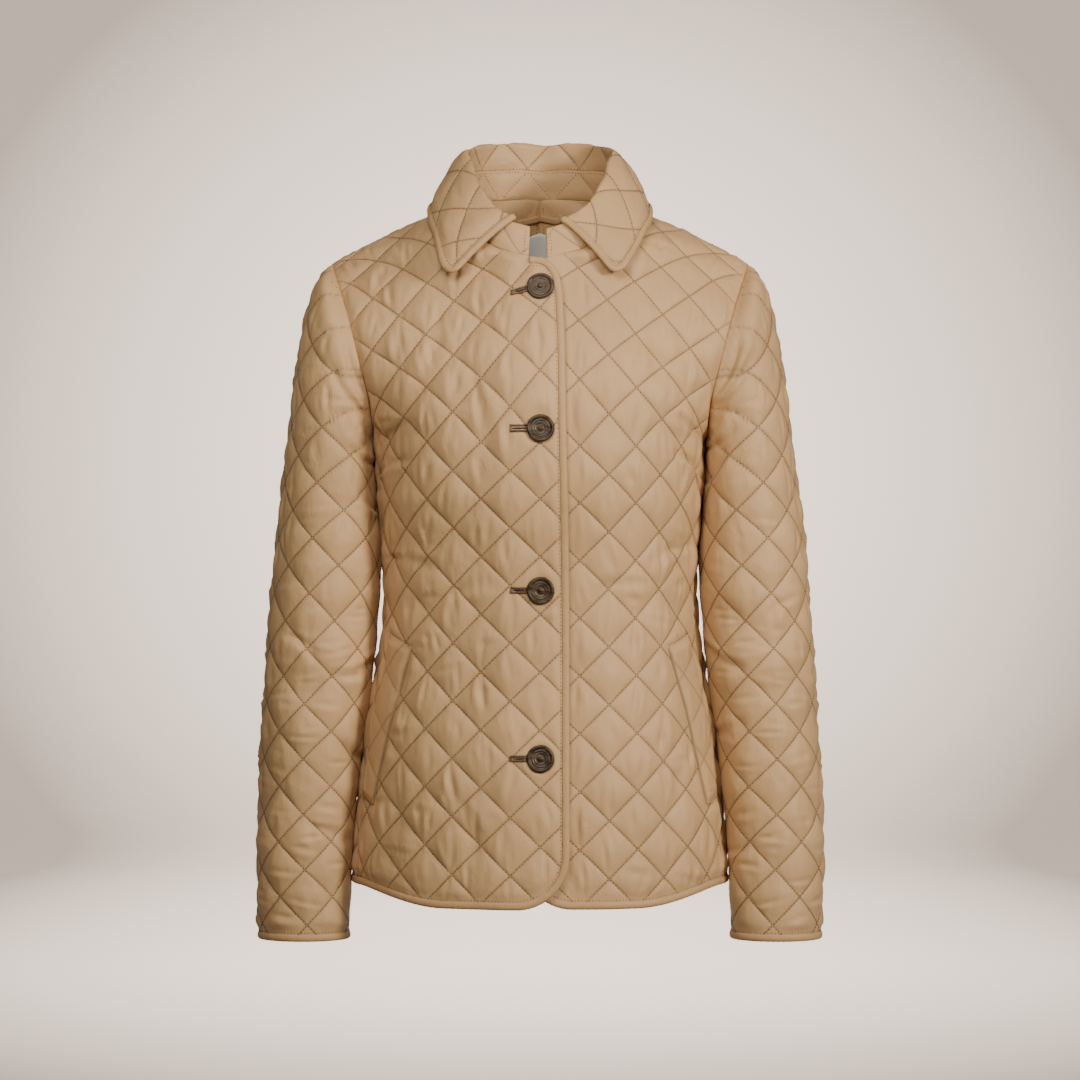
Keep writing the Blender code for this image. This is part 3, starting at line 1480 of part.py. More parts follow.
def main():
    """Build every piece."""
    clear_scene()
    charts = build_charts()
    for side in ("right", "left"):
        build_front(side, charts)
        build_sleeve(side, charts)
    back = build_back(charts)
    curve = CollarCurve(charts)
    build_stand(curve)
    build_fall(curve)
    for number, height in enumerate(BUTTON_HEIGHTS, start=1):
        build_button(number, charts["right"], height)
    build_hanger(back)
    build_label(back)


main()
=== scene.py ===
"""Quilted jacket: cloth, stitching, bindings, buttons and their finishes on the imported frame.

Lengths are in millimetres and are turned into metres where a mesh is written. The origin is
the middle of the neck, +Z is up and the fronts face -Y. The wearer's right is at -X.
"""

import logging
import math
from dataclasses import dataclass, field
from enum import Enum
from typing import Callable, NamedTuple, Sequence

import bpy
import numpy as np
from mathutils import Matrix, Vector
from mathutils.geometry import delaunay_2d_cdt
from mathutils.kdtree import KDTree


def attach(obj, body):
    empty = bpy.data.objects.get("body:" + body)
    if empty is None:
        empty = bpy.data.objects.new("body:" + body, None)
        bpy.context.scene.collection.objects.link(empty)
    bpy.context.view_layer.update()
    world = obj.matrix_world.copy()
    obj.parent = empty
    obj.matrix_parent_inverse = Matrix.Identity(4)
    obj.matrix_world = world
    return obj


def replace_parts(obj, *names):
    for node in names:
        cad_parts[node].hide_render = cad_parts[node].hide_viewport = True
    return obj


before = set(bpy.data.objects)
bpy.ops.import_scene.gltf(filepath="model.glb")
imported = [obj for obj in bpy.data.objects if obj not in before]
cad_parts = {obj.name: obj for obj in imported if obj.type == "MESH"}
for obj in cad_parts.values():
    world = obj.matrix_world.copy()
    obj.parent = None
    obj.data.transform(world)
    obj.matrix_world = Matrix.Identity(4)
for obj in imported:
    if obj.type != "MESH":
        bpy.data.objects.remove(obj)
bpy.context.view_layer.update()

LOG = logging.getLogger("jacket")
Array = np.ndarray
Ends = Callable[[float], tuple[float, float]]
RowLine = Callable[[float], tuple[Array, Array]]
Material = bpy.types.Material
Piece = bpy.types.Object
Socket = bpy.types.NodeSocket
MM = 0.001
MIRROR = np.array((-1.0, 1.0, 1.0))
FULL_TURN = 2.0 * math.pi

# Cloth: distance between its two layers, the same in the collar's fall, and step of outlines.
WALL = 2.0
FALL_WALL = 1.4
STEP = 2.2

# Quilting: half diagonals of the squares, across and up, their side, and how far the painted
# shade in the groove of a stitched line darkens the cloth beside it.
QUILT_ACROSS = 27.0
QUILT_UP = 26.0
SQUARE_SIDE = math.hypot(QUILT_ACROSS, QUILT_UP)
STITCH_SHADE_WIDTH = 0.8

# Bindings: width on each side of the cloth, how far inside them the cloth ends, and the gap to
# the row of stitches beside them.
BIND_WIDTH = 6.6
COLLAR_BIND_WIDTH = 6.2
EDGE_INSET = 1.4
ROW_GAP = 1.4
COLLAR_ROW_GAP = 1.3

# Level sections: how full they are, how their distances stretch away from the middle, steps of
# a curve, halvings of a search, and reach of the back past the side seam.
FULLNESS = 0.58
SKEW = 1.02
CURVE_STEPS = 48
SOLVE_STEPS = 40
SIDE_OVERLAP = 12.0

# A crossing of the quilting lines in each piece; on the sleeves it is given by distance round
# the arm and by height, and the squares have their own half diagonals.
CROSSINGS = {
    "right": (0.0, 383.5),
    "left": (36.0, 432.0),
    "back": (0.0, 384.0),
    "stand": (0.0, 13.5),
    "fall": (30.0, 13.5),
}
SLEEVE_CROSSING = (-43.5, -134.0)
SLEEVE_SQUARE = (24.75, 25.33)
PLACE_STEPS = 24

# Front edges: the lapped one is lifted and the under one sunk, in full as far as LIFT_FULL and
# not at all past LIFT_END. The table gives heights and the reach past the middle.
LIFT = 3.4
LIFT_FULL = 28.0
LIFT_END = 64.0
EDGE_SCALE = {"right": 1.0, "left": 0.68}
FRONT_EDGE = (
    (-58.5, 2.7),
    (-65.8, 12.2),
    (-76.6, 17.8),
    (-86.0, 19.8),
    (-114.0, 21.8),
    (-200.0, 23.5),
    (-365.0, 26.3),
    (-480.0, 26.5),
)

# Hems: radius of the front corners, height at the middle, and rise towards the side seams with
# where it starts and its run.
HEM_RADIUS = 48.0
HEM_LOW = -645.0
HEM_RISE = 15.0
HEM_FLAT = 90.0
HEM_RUN = 110.0
HEM_BACK_LOW = -642.0
HEM_BACK_RISE = 12.0
HEM_BACK_FLAT = 70.0
HEM_BACK_RUN = 150.0

# Collar: height of the stand and where it ends on the fronts; how far the fall's binding and
# its seam stop short; shape of its roll and its outer curve; its tips and the surface past them.
STAND_RISE = 27.0
STAND_ENDS = {"right": 11.0, "left": 7.0}
LEAF_SETBACK = 6.0
LEAF_START = 15.0
LEAF_SPRING = 0.5
LEAF_DROP = 0.35
LEAF_SWELL = 9.0
TIP_RADIUS = 17.0
END_REACH = 6.0

# Buttons, and the flat seats pressed under them.
BUTTON_HEIGHTS = (-84.0, -213.0, -359.0, -510.0)
BUTTON_ACROSS = 0.5
BUTTON_SEAT = 9.0


class Girth(NamedTuple):
    """Level section of the body below the arms."""

    height: float
    half_width: float
    front: float
    back: float
    side_y: float
    seam_forward: float


class Yoke(NamedTuple):
    """Row of a panel between its middle or neck edge and its armhole."""

    neck: tuple
    lead: tuple
    arm: tuple
    trail: tuple
    lift: float


class Loop(NamedTuple):
    """Slanted section of a sleeve from its outer point to its inner point."""

    outer_x: float
    outer_z: float
    inner_x: float
    inner_z: float
    front: float
    back: float
    middle_y: float


class Leaf(NamedTuple):
    """Section of the turned-down collar at a share of the way from back to front."""

    share: float
    rise: float
    inward: float
    edge: tuple
    turn: float


class Trough(NamedTuple):
    """Soft hollow of a surface: middle, half length, half width, depth and slope of its line."""

    s: float
    t: float
    length: float
    width: float
    depth: float
    slope: float


GIRTHS = (
    Girth(-660.0, 176.0, 134.0, 128.0, 2.0, 36.0),
    Girth(-600.0, 172.5, 131.0, 125.0, 2.0, 34.0),
    Girth(-540.0, 167.0, 126.0, 120.0, 2.0, 31.0),
    Girth(-480.0, 160.5, 119.0, 112.0, 2.0, 28.0),
    Girth(-425.0, 149.5, 113.0, 105.0, 2.0, 24.0),
    Girth(-375.0, 144.0, 110.0, 101.0, 2.0, 20.0),
    Girth(-320.0, 146.5, 113.0, 103.0, 2.0, 16.0),
    Girth(-265.0, 151.0, 121.0, 108.0, 2.0, 10.0),
    Girth(-219.0, 153.0, 122.0, 112.0, 2.0, 0.0),
)

FRONT_YOKE = (
    Yoke((0.0, -119.0, -188.0), (85.0, 0.0), (155.0, -30.0, -206.0), (-12.0, -50.0), 0.0),
    Yoke((0.0, -113.0, -155.0), (80.0, 0.0), (157.5, -47.0, -184.0), (-25.0, -38.0), 0.0),
    Yoke((0.0, -104.0, -122.0), (72.0, 0.0), (163.0, -55.0, -160.0), (-38.0, -26.0), 0.0),
    Yoke((0.0, -94.0, -90.0), (65.0, 1.0), (170.0, -55.0, -132.0), (-45.0, -16.0), 0.5),
    Yoke((2.0, -84.5, -60.0), (58.0, 3.0), (177.0, -45.0, -105.0), (-48.0, -10.0), 1.0),
    Yoke((40.0, -75.0, -47.0), (45.0, 1.0), (185.0, -26.0, -80.0), (-48.0, -2.0), 2.0),
    Yoke((66.0, -43.0, -24.0), (38.0, 1.0), (190.5, -10.0, -65.0), (-42.0, 0.0), 3.0),
    Yoke((78.0, 6.0, -1.0), (39.0, 0.0), (194.0, 4.0, -56.0), (-38.0, 0.0), 3.0),
)

BACK_YOKE = (
    Yoke((0.0, 115.0, -183.0), (85.0, 0.0), (158.0, 30.0, -205.0), (-12.0, 45.0), 0.0),
    Yoke((0.0, 115.0, -145.0), (80.0, 0.0), (164.0, 48.0, -180.0), (-25.0, 34.0), 0.0),
    Yoke((0.0, 111.0, -105.0), (74.0, 0.0), (170.0, 55.0, -150.0), (-38.0, 24.0), 0.0),
    Yoke((0.0, 103.0, -65.0), (68.0, 0.0), (176.0, 53.0, -119.0), (-46.0, 16.0), 0.5),
    Yoke((0.0, 92.0, -26.0), (62.0, 0.0), (182.0, 42.0, -92.0), (-50.0, 12.0), 1.0),
    Yoke((0.0, 77.0, 8.0), (60.0, 0.0), (188.0, 24.0, -69.0), (-50.0, 6.0), 2.0),
    Yoke((42.0, 68.0, 8.0), (48.0, 0.0), (191.0, 14.0, -62.0), (-45.0, 3.0), 3.0),
    Yoke((68.0, 38.0, 4.0), (42.0, 0.0), (193.0, 9.0, -58.0), (-40.0, 0.0), 3.0),
    Yoke((78.0, 6.0, -1.0), (39.0, 0.0), (194.0, 4.0, -56.0), (-38.0, 0.0), 3.0),
)

LOOPS = (
    Loop(202.0, -67.0, 156.3, -228.0, 59.0, 60.0, 1.0),
    Loop(213.0, -93.0, 156.5, -240.0, 60.0, 60.0, 1.0),
    Loop(220.5, -127.0, 156.5, -254.0, 60.0, 60.0, 1.0),
    Loop(226.5, -165.0, 155.8, -270.0, 60.0, 59.0, 1.0),
    Loop(232.0, -208.0, 154.6, -287.0, 59.0, 58.0, 1.0),
    Loop(238.5, -262.0, 152.5, -310.0, 57.0, 56.0, 0.0),
    Loop(245.0, -320.0, 150.5, -345.0, 55.0, 54.0, -1.0),
    Loop(249.5, -380.0, 152.0, -390.0, 53.0, 53.0, -3.0),
    Loop(254.0, -440.0, 158.3, -442.0, 51.0, 51.0, -6.0),
    Loop(258.0, -510.0, 168.3, -510.0, 47.0, 47.0, -11.0),
    Loop(260.5, -590.0, 176.0, -590.0, 42.0, 42.0, -17.0),
    Loop(259.5, -681.0, 176.5, -681.0, 38.0, 38.0, -22.0),
)

LEAVES = (
    Leaf(0.0, 25.0, 0.0, (0.0, 107.0, -10.0), 12.0),
    Leaf(0.2, 25.0, 1.0, (62.0, 94.0, -11.0), 12.0),
    Leaf(0.33, 23.0, 2.5, (88.0, 62.0, -8.0), 12.0),
    Leaf(0.47, 21.0, 3.5, (101.0, 20.0, -5.0), 12.0),
    Leaf(0.55, 18.0, 3.5, (104.0, -8.0, -8.0), 11.0),
    Leaf(0.63, 13.0, 3.0, (103.0, -30.0, -20.0), 11.0),
)
LEAVES_RIGHT = LEAVES + (
    Leaf(0.72, 10.0, 2.5, (98.0, -50.0, -34.0), 9.0),
    Leaf(0.8, 7.0, 2.0, (95.0, -65.0, -48.0), 7.0),
    Leaf(0.88, 6.5, 1.0, (91.0, -79.0, -62.0), 7.0),
    Leaf(0.955, 5.0, -1.0, (82.0, -92.0, -79.0), 7.0),
)
LEAVES_LEFT = LEAVES + (
    Leaf(0.72, 10.0, 2.5, (97.0, -50.0, -31.0), 9.0),
    Leaf(0.8, 7.0, 2.0, (90.0, -66.0, -46.0), 7.0),
    Leaf(0.88, 6.5, 1.0, (82.0, -80.0, -60.0), 7.0),
    Leaf(0.955, 5.0, -1.0, (70.0, -92.0, -79.0), 7.0),
)

# Lean of the stand towards the neck, by share of the way from the back to an end.
LEANS = ((0.0, 1.0), (0.5, 8.0), (1.0, 10.0))

FRONT_TROUGHS = (
    Trough(150.0, 330.0, 60.0, 16.0, 2.5, -0.5),
    Trough(120.0, 285.0, 50.0, 16.0, 2.0, -0.25),
    Trough(60.0, 470.0, 45.0, 18.0, 1.5, 0.9),
)

BACK_TROUGHS = (
    Trough(120.0, 300.0, 60.0, 18.0, 2.5, 0.3),
    Trough(60.0, 285.0, 55.0, 18.0, 2.0, 0.15),
)

SLEEVE_TROUGHS = (
    Trough(-95.0, 250.0, 45.0, 14.0, 3.0, 0.5),
    Trough(-70.0, 310.0, 45.0, 14.0, 3.0, -0.4),
    Trough(80.0, 270.0, 40.0, 16.0, 2.5, 0.3),
    Trough(-30.0, 420.0, 40.0, 16.0, 2.0, 0.5),
)

# Pocket welts: their forward and rear edges on the front, from top to foot, and their size.
WELT_FRONT = ((126.0, 248.0), (175.0, 104.0))
WELT_REAR = ((163.0, 260.0), (201.0, 112.0))

# Hanging loop: distances and heights of its path, and how far it stands off; then the label.
LOOP_PATH = ((-28.0, 5.0), (-25.0, 0.5), (-14.0, -2.0), (8.0, -2.0), (20.0, 0.5), (24.0, 5.0))
LOOP_STANDS = (0.4, 1.2, 2.6, 2.6, 1.2, 0.4)
LABEL_HALF = 30.0
LABEL_TOP = -20.0
LABEL_FOOT = -64.0


class Seam(Enum):
    """What an edge of a panel meets."""

    SEWN = "sewn to another piece"
    BOUND = "wrapped by a binding"
    TURNED = "turned under and free"


def ease(share: Array | float) -> Array:
    """Smooth step from 0 to 1."""
    held = np.clip(share, 0.0, 1.0)
    return held * held * (3.0 - 2.0 * held)


def unit(vectors: Array) -> Array:
    """Vectors of length one along the last axis."""
    return vectors / np.maximum(np.linalg.norm(vectors, axis=-1, keepdims=True), 1e-9)


def dots(first: Array, second: Array) -> Array:
    """Scalar product of each pair of rows."""
    return np.sum(first * second, axis=-1)


def paired(first: Array, second: Array) -> Array:
    """Rows of two numbers."""
    return np.stack((first, second), axis=1)


def slopes_of(keys: Array, rows: Array) -> tuple[Array, Array]:
    """Rates of change of table rows: one for each gap, and one for each row."""
    gaps = np.diff(keys).reshape((-1,) + (1,) * (rows.ndim - 1))
    between = np.diff(rows, axis=0) / gaps
    inner = (between[:-1] * gaps[1:] + between[1:] * gaps[:-1]) / (gaps[:-1] + gaps[1:])
    return between, np.concatenate((between[:1], inner, between[-1:]))


def smooth_between(keys: Array, rows: Array, leave: Array, arrive: Array, at: float) -> Array:
    """Value at a key on the smooth curve through table rows.

    Args:
        keys: keys of the rows, rising.
        rows: values of the rows.
        leave: rates of change just after each row.
        arrive: rates of change just before each row.
        at: key of the value.

    Returns:
        The value.
    """
    index = int(np.clip(np.searchsorted(keys, at, side="right") - 1, 0, len(keys) - 2))
    gap = keys[index + 1] - keys[index]
    f = (at - keys[index]) / gap
    near = rows[index] * (2.0 * f**3 - 3.0 * f**2 + 1.0)
    near = near + leave[index] * gap * (f**3 - 2.0 * f**2 + f)
    far = rows[index + 1] * (3.0 * f**2 - 2.0 * f**3) + arrive[index + 1] * gap * (f**3 - f**2)
    return near + far


def curve_line(net: Array) -> Array:
    """Points along a four-point curve."""
    f = np.linspace(0.0, 1.0, CURVE_STEPS + 1)[:, None]
    weights = np.hstack(((1.0 - f) ** 3, 3.0 * f * (1.0 - f) ** 2, 3.0 * f**2 * (1.0 - f), f**3))
    return weights @ net


def lengths_along(points: Array) -> Array:
    """Distance of each point of a line from its first one."""
    steps = np.linalg.norm(np.diff(points, axis=0), axis=1)
    return np.concatenate(([0.0], np.cumsum(steps)))


def spread(points: Array, along: Array, stations: Array) -> Array:
    """Points of a line at given distances, run straight on past its ends."""
    found = np.stack([np.interp(stations, along, points[:, k]) for k in range(3)], axis=1)
    before = np.minimum(stations - along[0], 0.0)[:, None]
    after = np.maximum(stations - along[-1], 0.0)[:, None]
    return found + before * unit(points[1] - points[0]) + after * unit(points[-1] - points[-2])


def resampled(line: Array, step: float) -> Array:
    """Line in even steps, straight between its points."""
    along = lengths_along(line)
    count = max(2, round(along[-1] / step) + 1)
    stations = np.linspace(0.0, along[-1], count)
    return np.stack([np.interp(stations, along, line[:, k]) for k in range(line.shape[1])], axis=1)


def smoothed(line: Array, step: float) -> Array:
    """Smooth curve through the points of a line, in even steps."""
    along = lengths_along(line)
    _, rates = slopes_of(along, line)
    stations = np.linspace(0.0, along[-1], max(2, round(along[-1] / step) + 1))
    return np.stack([smooth_between(along, line, rates, rates, at) for at in stations])


def cubic_weights(f: Array) -> list[Array]:
    """Weights of four neighbours for smooth interpolation between the middle two."""
    return [
        -0.5 * f**3 + f**2 - 0.5 * f,
        1.5 * f**3 - 2.5 * f**2 + 1.0,
        -1.5 * f**3 + 2.0 * f**2 + 0.5 * f,
        0.5 * f**3 - 0.5 * f**2,
    ]


def hashed(i: Array, j: Array, seed: float) -> Array:
    """Random share from 0 to 1 for each pair of whole numbers."""
    value = np.sin(i * 127.1 + j * 311.7 + seed * 74.7) * 43758.5453
    return value - np.floor(value)


class Waves:
    """Smooth random field from -1 to 1 with one typical length."""

    def __init__(self, seed: int, length: float, count: int = 8) -> None:
        rng = np.random.default_rng(seed)
        turn = rng.uniform(0.0, FULL_TURN, count)
        pace = FULL_TURN / length * rng.uniform(0.6, 1.4, count)
        self.pace_s, self.pace_t = pace * np.cos(turn), pace * np.sin(turn)
        self.phase = rng.uniform(0.0, FULL_TURN, count)
        self.scale = 1.4 / count

    def at(self, s: Array, t: Array) -> Array:
        """Values of the field at places."""
        total = np.zeros(np.shape(s))
        for pace_s, pace_t, phase in zip(self.pace_s, self.pace_t, self.phase):
            total += np.sin(s * pace_s + t * pace_t + phase)
        return total * self.scale


def round_turns(count: int) -> Array:
    """Even turns once round a closed line."""
    return np.linspace(0.0, FULL_TURN, count + 1)[:-1]


class Chart:
    """Stitched surface of a piece, laid out by distance along (s) and up (t) its rows.

    Args:
        row_line: points of the row at a level, and their distances.
        t_span: lowest and highest level.
        s_span: lowest and highest distance.
        outward: 1 where across and up turn to the outside, -1 where they turn to the inside.
        ends: distances at which the row at a level starts and ends.
        troughs: soft hollows pressed into the surface.
        step: distance between the points that carry it.
    """

    def __init__(
        self,
        row_line: RowLine,
        t_span: tuple[float, float],
        s_span: tuple[float, float],
        outward: float,
        ends: Ends | None = None,
        troughs: Sequence[Trough] = (),
        step: float = 4.0,
    ) -> None:
        self.step = step
        self.low_s, self.low_t = s_span[0], t_span[0]
        self.outward = outward
        t_count = int(math.ceil((t_span[1] - t_span[0]) / step))
        self.step_t = (t_span[1] - t_span[0]) / t_count
        self.stations = np.arange(s_span[0], s_span[1] + step, step)
        self.levels = t_span[0] + self.step_t * np.arange(t_count + 1)
        self.grid = np.stack([spread(*row_line(t), self.stations) for t in self.levels])
        for trough in troughs:
            self.press(trough, np.array([ends(t) for t in self.levels]))
        self.padded = self.grid
        for axis in (0, 1):
            first, second = (np.take(self.padded, [k], axis) for k in (0, 1))
            last, before = (np.take(self.padded, [k], axis) for k in (-1, -2))
            rows = (2.0 * first - second, self.padded, 2.0 * last - before)
            self.padded = np.concatenate(rows, axis)

    def press(self, trough: Trough, ends: Array) -> None:
        """Sink a soft trough into the surface, clear of the ends of its rows."""
        normals = np.cross(np.gradient(self.grid, axis=1), np.gradient(self.grid, axis=0))
        normals = unit(normals) * self.outward
        s_off = self.stations[None, :] - trough.s
        t_off = self.levels[:, None] - trough.t
        scale = math.hypot(1.0, trough.slope)
        run = (s_off + trough.slope * t_off) / scale
        off = (t_off - trough.slope * s_off) / scale
        sunk = trough.depth * np.exp(-((run / trough.length) ** 2) - (off / trough.width) ** 2)
        clear, fade = 6.0, 25.0
        sunk *= ease((self.stations[None, :] - ends[:, :1] - clear) / fade)
        sunk *= ease((ends[:, 1:] - self.stations[None, :] - clear) / fade)
        self.grid = self.grid - normals * sunk[:, :, None]

    def points(self, s: Array, t: Array) -> Array:
        """Places on the surface."""
        s, t = np.broadcast_arrays(np.asarray(s, float), np.asarray(t, float))
        column = np.clip((s - self.low_s) / self.step, 0.0, len(self.stations) - 1.001)
        row = np.clip((t - self.low_t) / self.step_t, 0.0, len(self.levels) - 1.001)
        i, j = row.astype(int), column.astype(int)
        across, upward = cubic_weights(column - j), cubic_weights(row - i)
        total = np.zeros(s.shape + (3,))
        for k in range(4):
            for m in range(4):
                total += (upward[k] * across[m])[..., None] * self.padded[i + k, j + m]
        return total

    def normals(self, s: Array, t: Array) -> Array:
        """Outward directions of the surface."""
        across = self.points(s + 1.5, t) - self.points(s - 1.5, t)
        upward = self.points(s, t + 1.5) - self.points(s, t - 1.5)
        return unit(np.cross(across, upward)) * self.outward


class MirrorChart:
    """Surface of a half carried over its middle to negative distances."""

    def __init__(self, half: Chart) -> None:
        self.half = half
        self.outward = half.outward

    def points(self, s: Array, t: Array) -> Array:
        """Places on the surface."""
        s, t = np.broadcast_arrays(np.asarray(s, float), np.asarray(t, float))
        places = self.half.points(np.abs(s), t)
        places[..., 0] *= np.where(s < 0.0, -1.0, 1.0)
        return places

    def normals(self, s: Array, t: Array) -> Array:
        """Outward directions of the surface."""
        normals = self.half.normals(np.abs(s), t)
        normals[..., 0] *= np.where(s < 0.0, -1.0, 1.0)
        return normals


def edge_frames(chart: Chart, line: Array) -> tuple[Array, Array, Array]:
    """Frames along a free edge run against the clock.

    Args:
        chart: surface that the edge bounds.
        line: its places (s, t).

    Returns:
        Places, directions out of the panel and outward normals.
    """
    places = chart.points(line[:, 0], line[:, 1])
    normals = chart.normals(line[:, 0], line[:, 1])
    travel = np.gradient(places, axis=0)
    return places, unit(np.cross(travel, normals)) * chart.outward, normals


def inset(chart: Chart, line: Array, distance: float) -> Array:
    """Free edge moved into its panel by a true distance."""
    _, out, _ = edge_frames(chart, line)
    s, t = line[:, 0], line[:, 1]
    across = (chart.points(s + 1.0, t) - chart.points(s - 1.0, t)) / 2.0
    upward = (chart.points(s, t + 1.0) - chart.points(s, t - 1.0)) / 2.0
    target = -out * distance
    aa, ab, bb = dots(across, across), dots(across, upward), dots(upward, upward)
    ra, rb = dots(across, target), dots(upward, target)
    det = aa * bb - ab * ab
    return line + paired((ra * bb - rb * ab) / det, (rb * aa - ra * ab) / det)


def girth_net(girth: Girth, depth: float) -> Array:
    """Four-point curve of half a level section from its middle to its side."""
    turned = girth.side_y + (depth - girth.side_y) * FULLNESS
    return np.array((
        (0.0, depth, girth.height),
        (girth.half_width * FULLNESS, depth, girth.height),
        (girth.half_width, turned, girth.height),
        (girth.half_width, girth.side_y, girth.height),
    ))


def yoke_net(row: Yoke) -> Array:
    """Four-point curve of a yoke row."""
    neck, arm = np.array(row.neck), np.array(row.arm)
    third = (arm[2] - neck[2]) / 3.0
    lead = np.array((*row.lead, third + row.lift))
    trail = np.array((*row.trail, -third + row.lift))
    return np.stack((neck, neck + lead, arm + trail, arm))


class Rows:
    """Rows of a body panel with their levels."""

    def __init__(self, girth_nets: list[Array], yoke_nets: list[Array]) -> None:
        self.nets = np.stack(girth_nets + yoke_nets)
        self.corner = len(girth_nets) - 1
        low = GIRTHS[0].height
        keys = [girth.height - low for girth in GIRTHS]
        for before, after in zip(self.nets[self.corner:-1], self.nets[self.corner + 1:]):
            middle = curve_line(after)[CURVE_STEPS // 2] - curve_line(before)[CURVE_STEPS // 2]
            keys.append(keys[-1] + float(np.linalg.norm(middle)))
        self.keys = np.array(keys)
        between, self.leave = slopes_of(self.keys, self.nets)
        self.arrive = self.leave.copy()
        self.leave[self.corner, 2:] = between[self.corner, 2:]
        self.arrive[self.corner, 2:] = between[self.corner - 1, 2:]
        self.top = float(self.keys[-1])
        self.armpit = float(self.keys[self.corner])

    def net(self, t: float) -> Array:
        """Four-point curve at a level."""
        return smooth_between(self.keys, self.nets, self.leave, self.arrive, t)

    def level(self, height: float) -> float:
        """Level at which the middle edge of the panel is at a height."""
        low, high = 0.0, self.top
        for _ in range(SOLVE_STEPS):
            middle = (low + high) / 2.0
            low, high = (middle, high) if self.net(middle)[0, 2] < height else (low, middle)
        return (low + high) / 2.0

    def neck_level(self, station: float) -> float:
        """Level at which the neckline is at a distance from the middle."""
        low, high = self.armpit, self.top
        for _ in range(SOLVE_STEPS):
            middle = (low + high) / 2.0
            found = self.net(middle)[0, 0] * SKEW
            low, high = (middle, high) if found < station else (low, middle)
        return (low + high) / 2.0


def seam_forward(t: float) -> float:
    """Distance by which the side seam lies in front of the side."""
    keys = [girth.height - GIRTHS[0].height for girth in GIRTHS]
    return float(np.interp(t, keys, [girth.seam_forward for girth in GIRTHS]))


FRONT_ROWS = Rows([girth_net(g, -g.front) for g in GIRTHS], [yoke_net(r) for r in FRONT_YOKE])
BACK_ROWS = Rows([girth_net(g, g.back) for g in GIRTHS], [yoke_net(r) for r in BACK_YOKE])


def front_line(t: float) -> tuple[Array, Array]:
    """Row of a front, unlifted, and the distances of its points."""
    net = FRONT_ROWS.net(t)
    points = curve_line(net)
    return points, net[0, 0] * SKEW + lengths_along(points)


def lifted_front_line(lift: float) -> RowLine:
    """Rows of a front with its lapped edge raised or sunk."""
    def row_line(t: float) -> tuple[Array, Array]:
        points, along = front_line(t)
        points = points.copy()
        points[:, 1] -= lift * (1.0 - ease((along - LIFT_FULL) / (LIFT_END - LIFT_FULL)))
        return points, along
    return row_line


def back_line(t: float) -> tuple[Array, Array]:
    """Row of the back, run on round the side past the side seam, and its distances."""
    net = BACK_ROWS.net(t)
    points = curve_line(net)
    if t < BACK_ROWS.armpit:
        side = curve_line(FRONT_ROWS.net(t))[::-1]
        kept = lengths_along(side) < seam_forward(t) + SIDE_OVERLAP
        points = np.concatenate((points, side[kept][1:]))
    return points, net[0, 0] * SKEW + lengths_along(points)


def front_ends(t: float) -> tuple[float, float]:
    """Distances at which a front row starts and ends."""
    along = front_line(t)[1]
    return float(along[0]), float(along[-1]) - (seam_forward(t) if t < FRONT_ROWS.armpit else 0.0)


def back_ends(t: float) -> tuple[float, float]:
    """Distances at which a back row starts and ends."""
    net = BACK_ROWS.net(t)
    start = net[0, 0] * SKEW
    end = start + float(lengths_along(curve_line(net))[-1])
    return start, end + (seam_forward(t) if t < BACK_ROWS.armpit else 0.0)


# Sleeve loops run from the seam under the arm, at turn 0, to the front, over the top and back.
ARM_FRONT = [row.arm for row in FRONT_YOKE]
ARM_BACK = [row.arm for row in BACK_YOKE]
ARMPIT = (GIRTHS[-1].half_width, GIRTHS[-1].side_y, GIRTHS[-1].height)
TURNS = np.linspace(-0.3, FULL_TURN + 0.3, 121)


def arm_turn(height: float) -> float:
    """Turn at which the front half of the armhole is at a height."""
    low, high = ARMPIT[2], ARM_FRONT[-1][2]
    return math.acos(np.clip(((low + high) / 2.0 - height) / ((high - low) / 2.0), -1.0, 1.0))


ARM_POINTS = np.array([ARMPIT] + ARM_FRONT + ARM_BACK[-2::-1])
ARM_TURNS = np.array(
    [0.0]
    + [arm_turn(point[2]) for point in ARM_FRONT]
    + [FULL_TURN - arm_turn(point[2]) for point in ARM_BACK[-2::-1]]
)


def arm_loop() -> Array:
    """Points of the armhole at the turns of a sleeve loop."""
    keys = np.concatenate((ARM_TURNS[-3:] - FULL_TURN, ARM_TURNS, ARM_TURNS[:3] + FULL_TURN))
    points = np.concatenate((ARM_POINTS[-3:], ARM_POINTS, ARM_POINTS[:3]))
    _, rates = slopes_of(keys, points)
    return np.stack([smooth_between(keys, points, rates, rates, turn) for turn in TURNS])


def sleeve_loop(loop: Loop) -> Array:
    """Points of a slanted sleeve section."""
    wave, side = np.cos(TURNS), np.sin(TURNS)
    x = (loop.outer_x + loop.inner_x) / 2.0 - (loop.outer_x - loop.inner_x) / 2.0 * wave
    z = (loop.outer_z + loop.inner_z) / 2.0 - (loop.outer_z - loop.inner_z) / 2.0 * wave
    depth = np.where(side > 0.0, loop.front, loop.back)
    return np.stack((x, loop.middle_y - side * depth, z), axis=1)


SLEEVE_LOOPS = np.stack([arm_loop()] + [sleeve_loop(loop) for loop in LOOPS])
SLEEVE_STEPS = np.linalg.norm(np.diff(SLEEVE_LOOPS, axis=0), axis=2).mean(axis=1)
SLEEVE_KEYS = np.concatenate(([0.0], np.cumsum(SLEEVE_STEPS)))
SLEEVE_LENGTH = float(SLEEVE_KEYS[-1])
_, SLEEVE_RATES = slopes_of(SLEEVE_KEYS, SLEEVE_LOOPS)


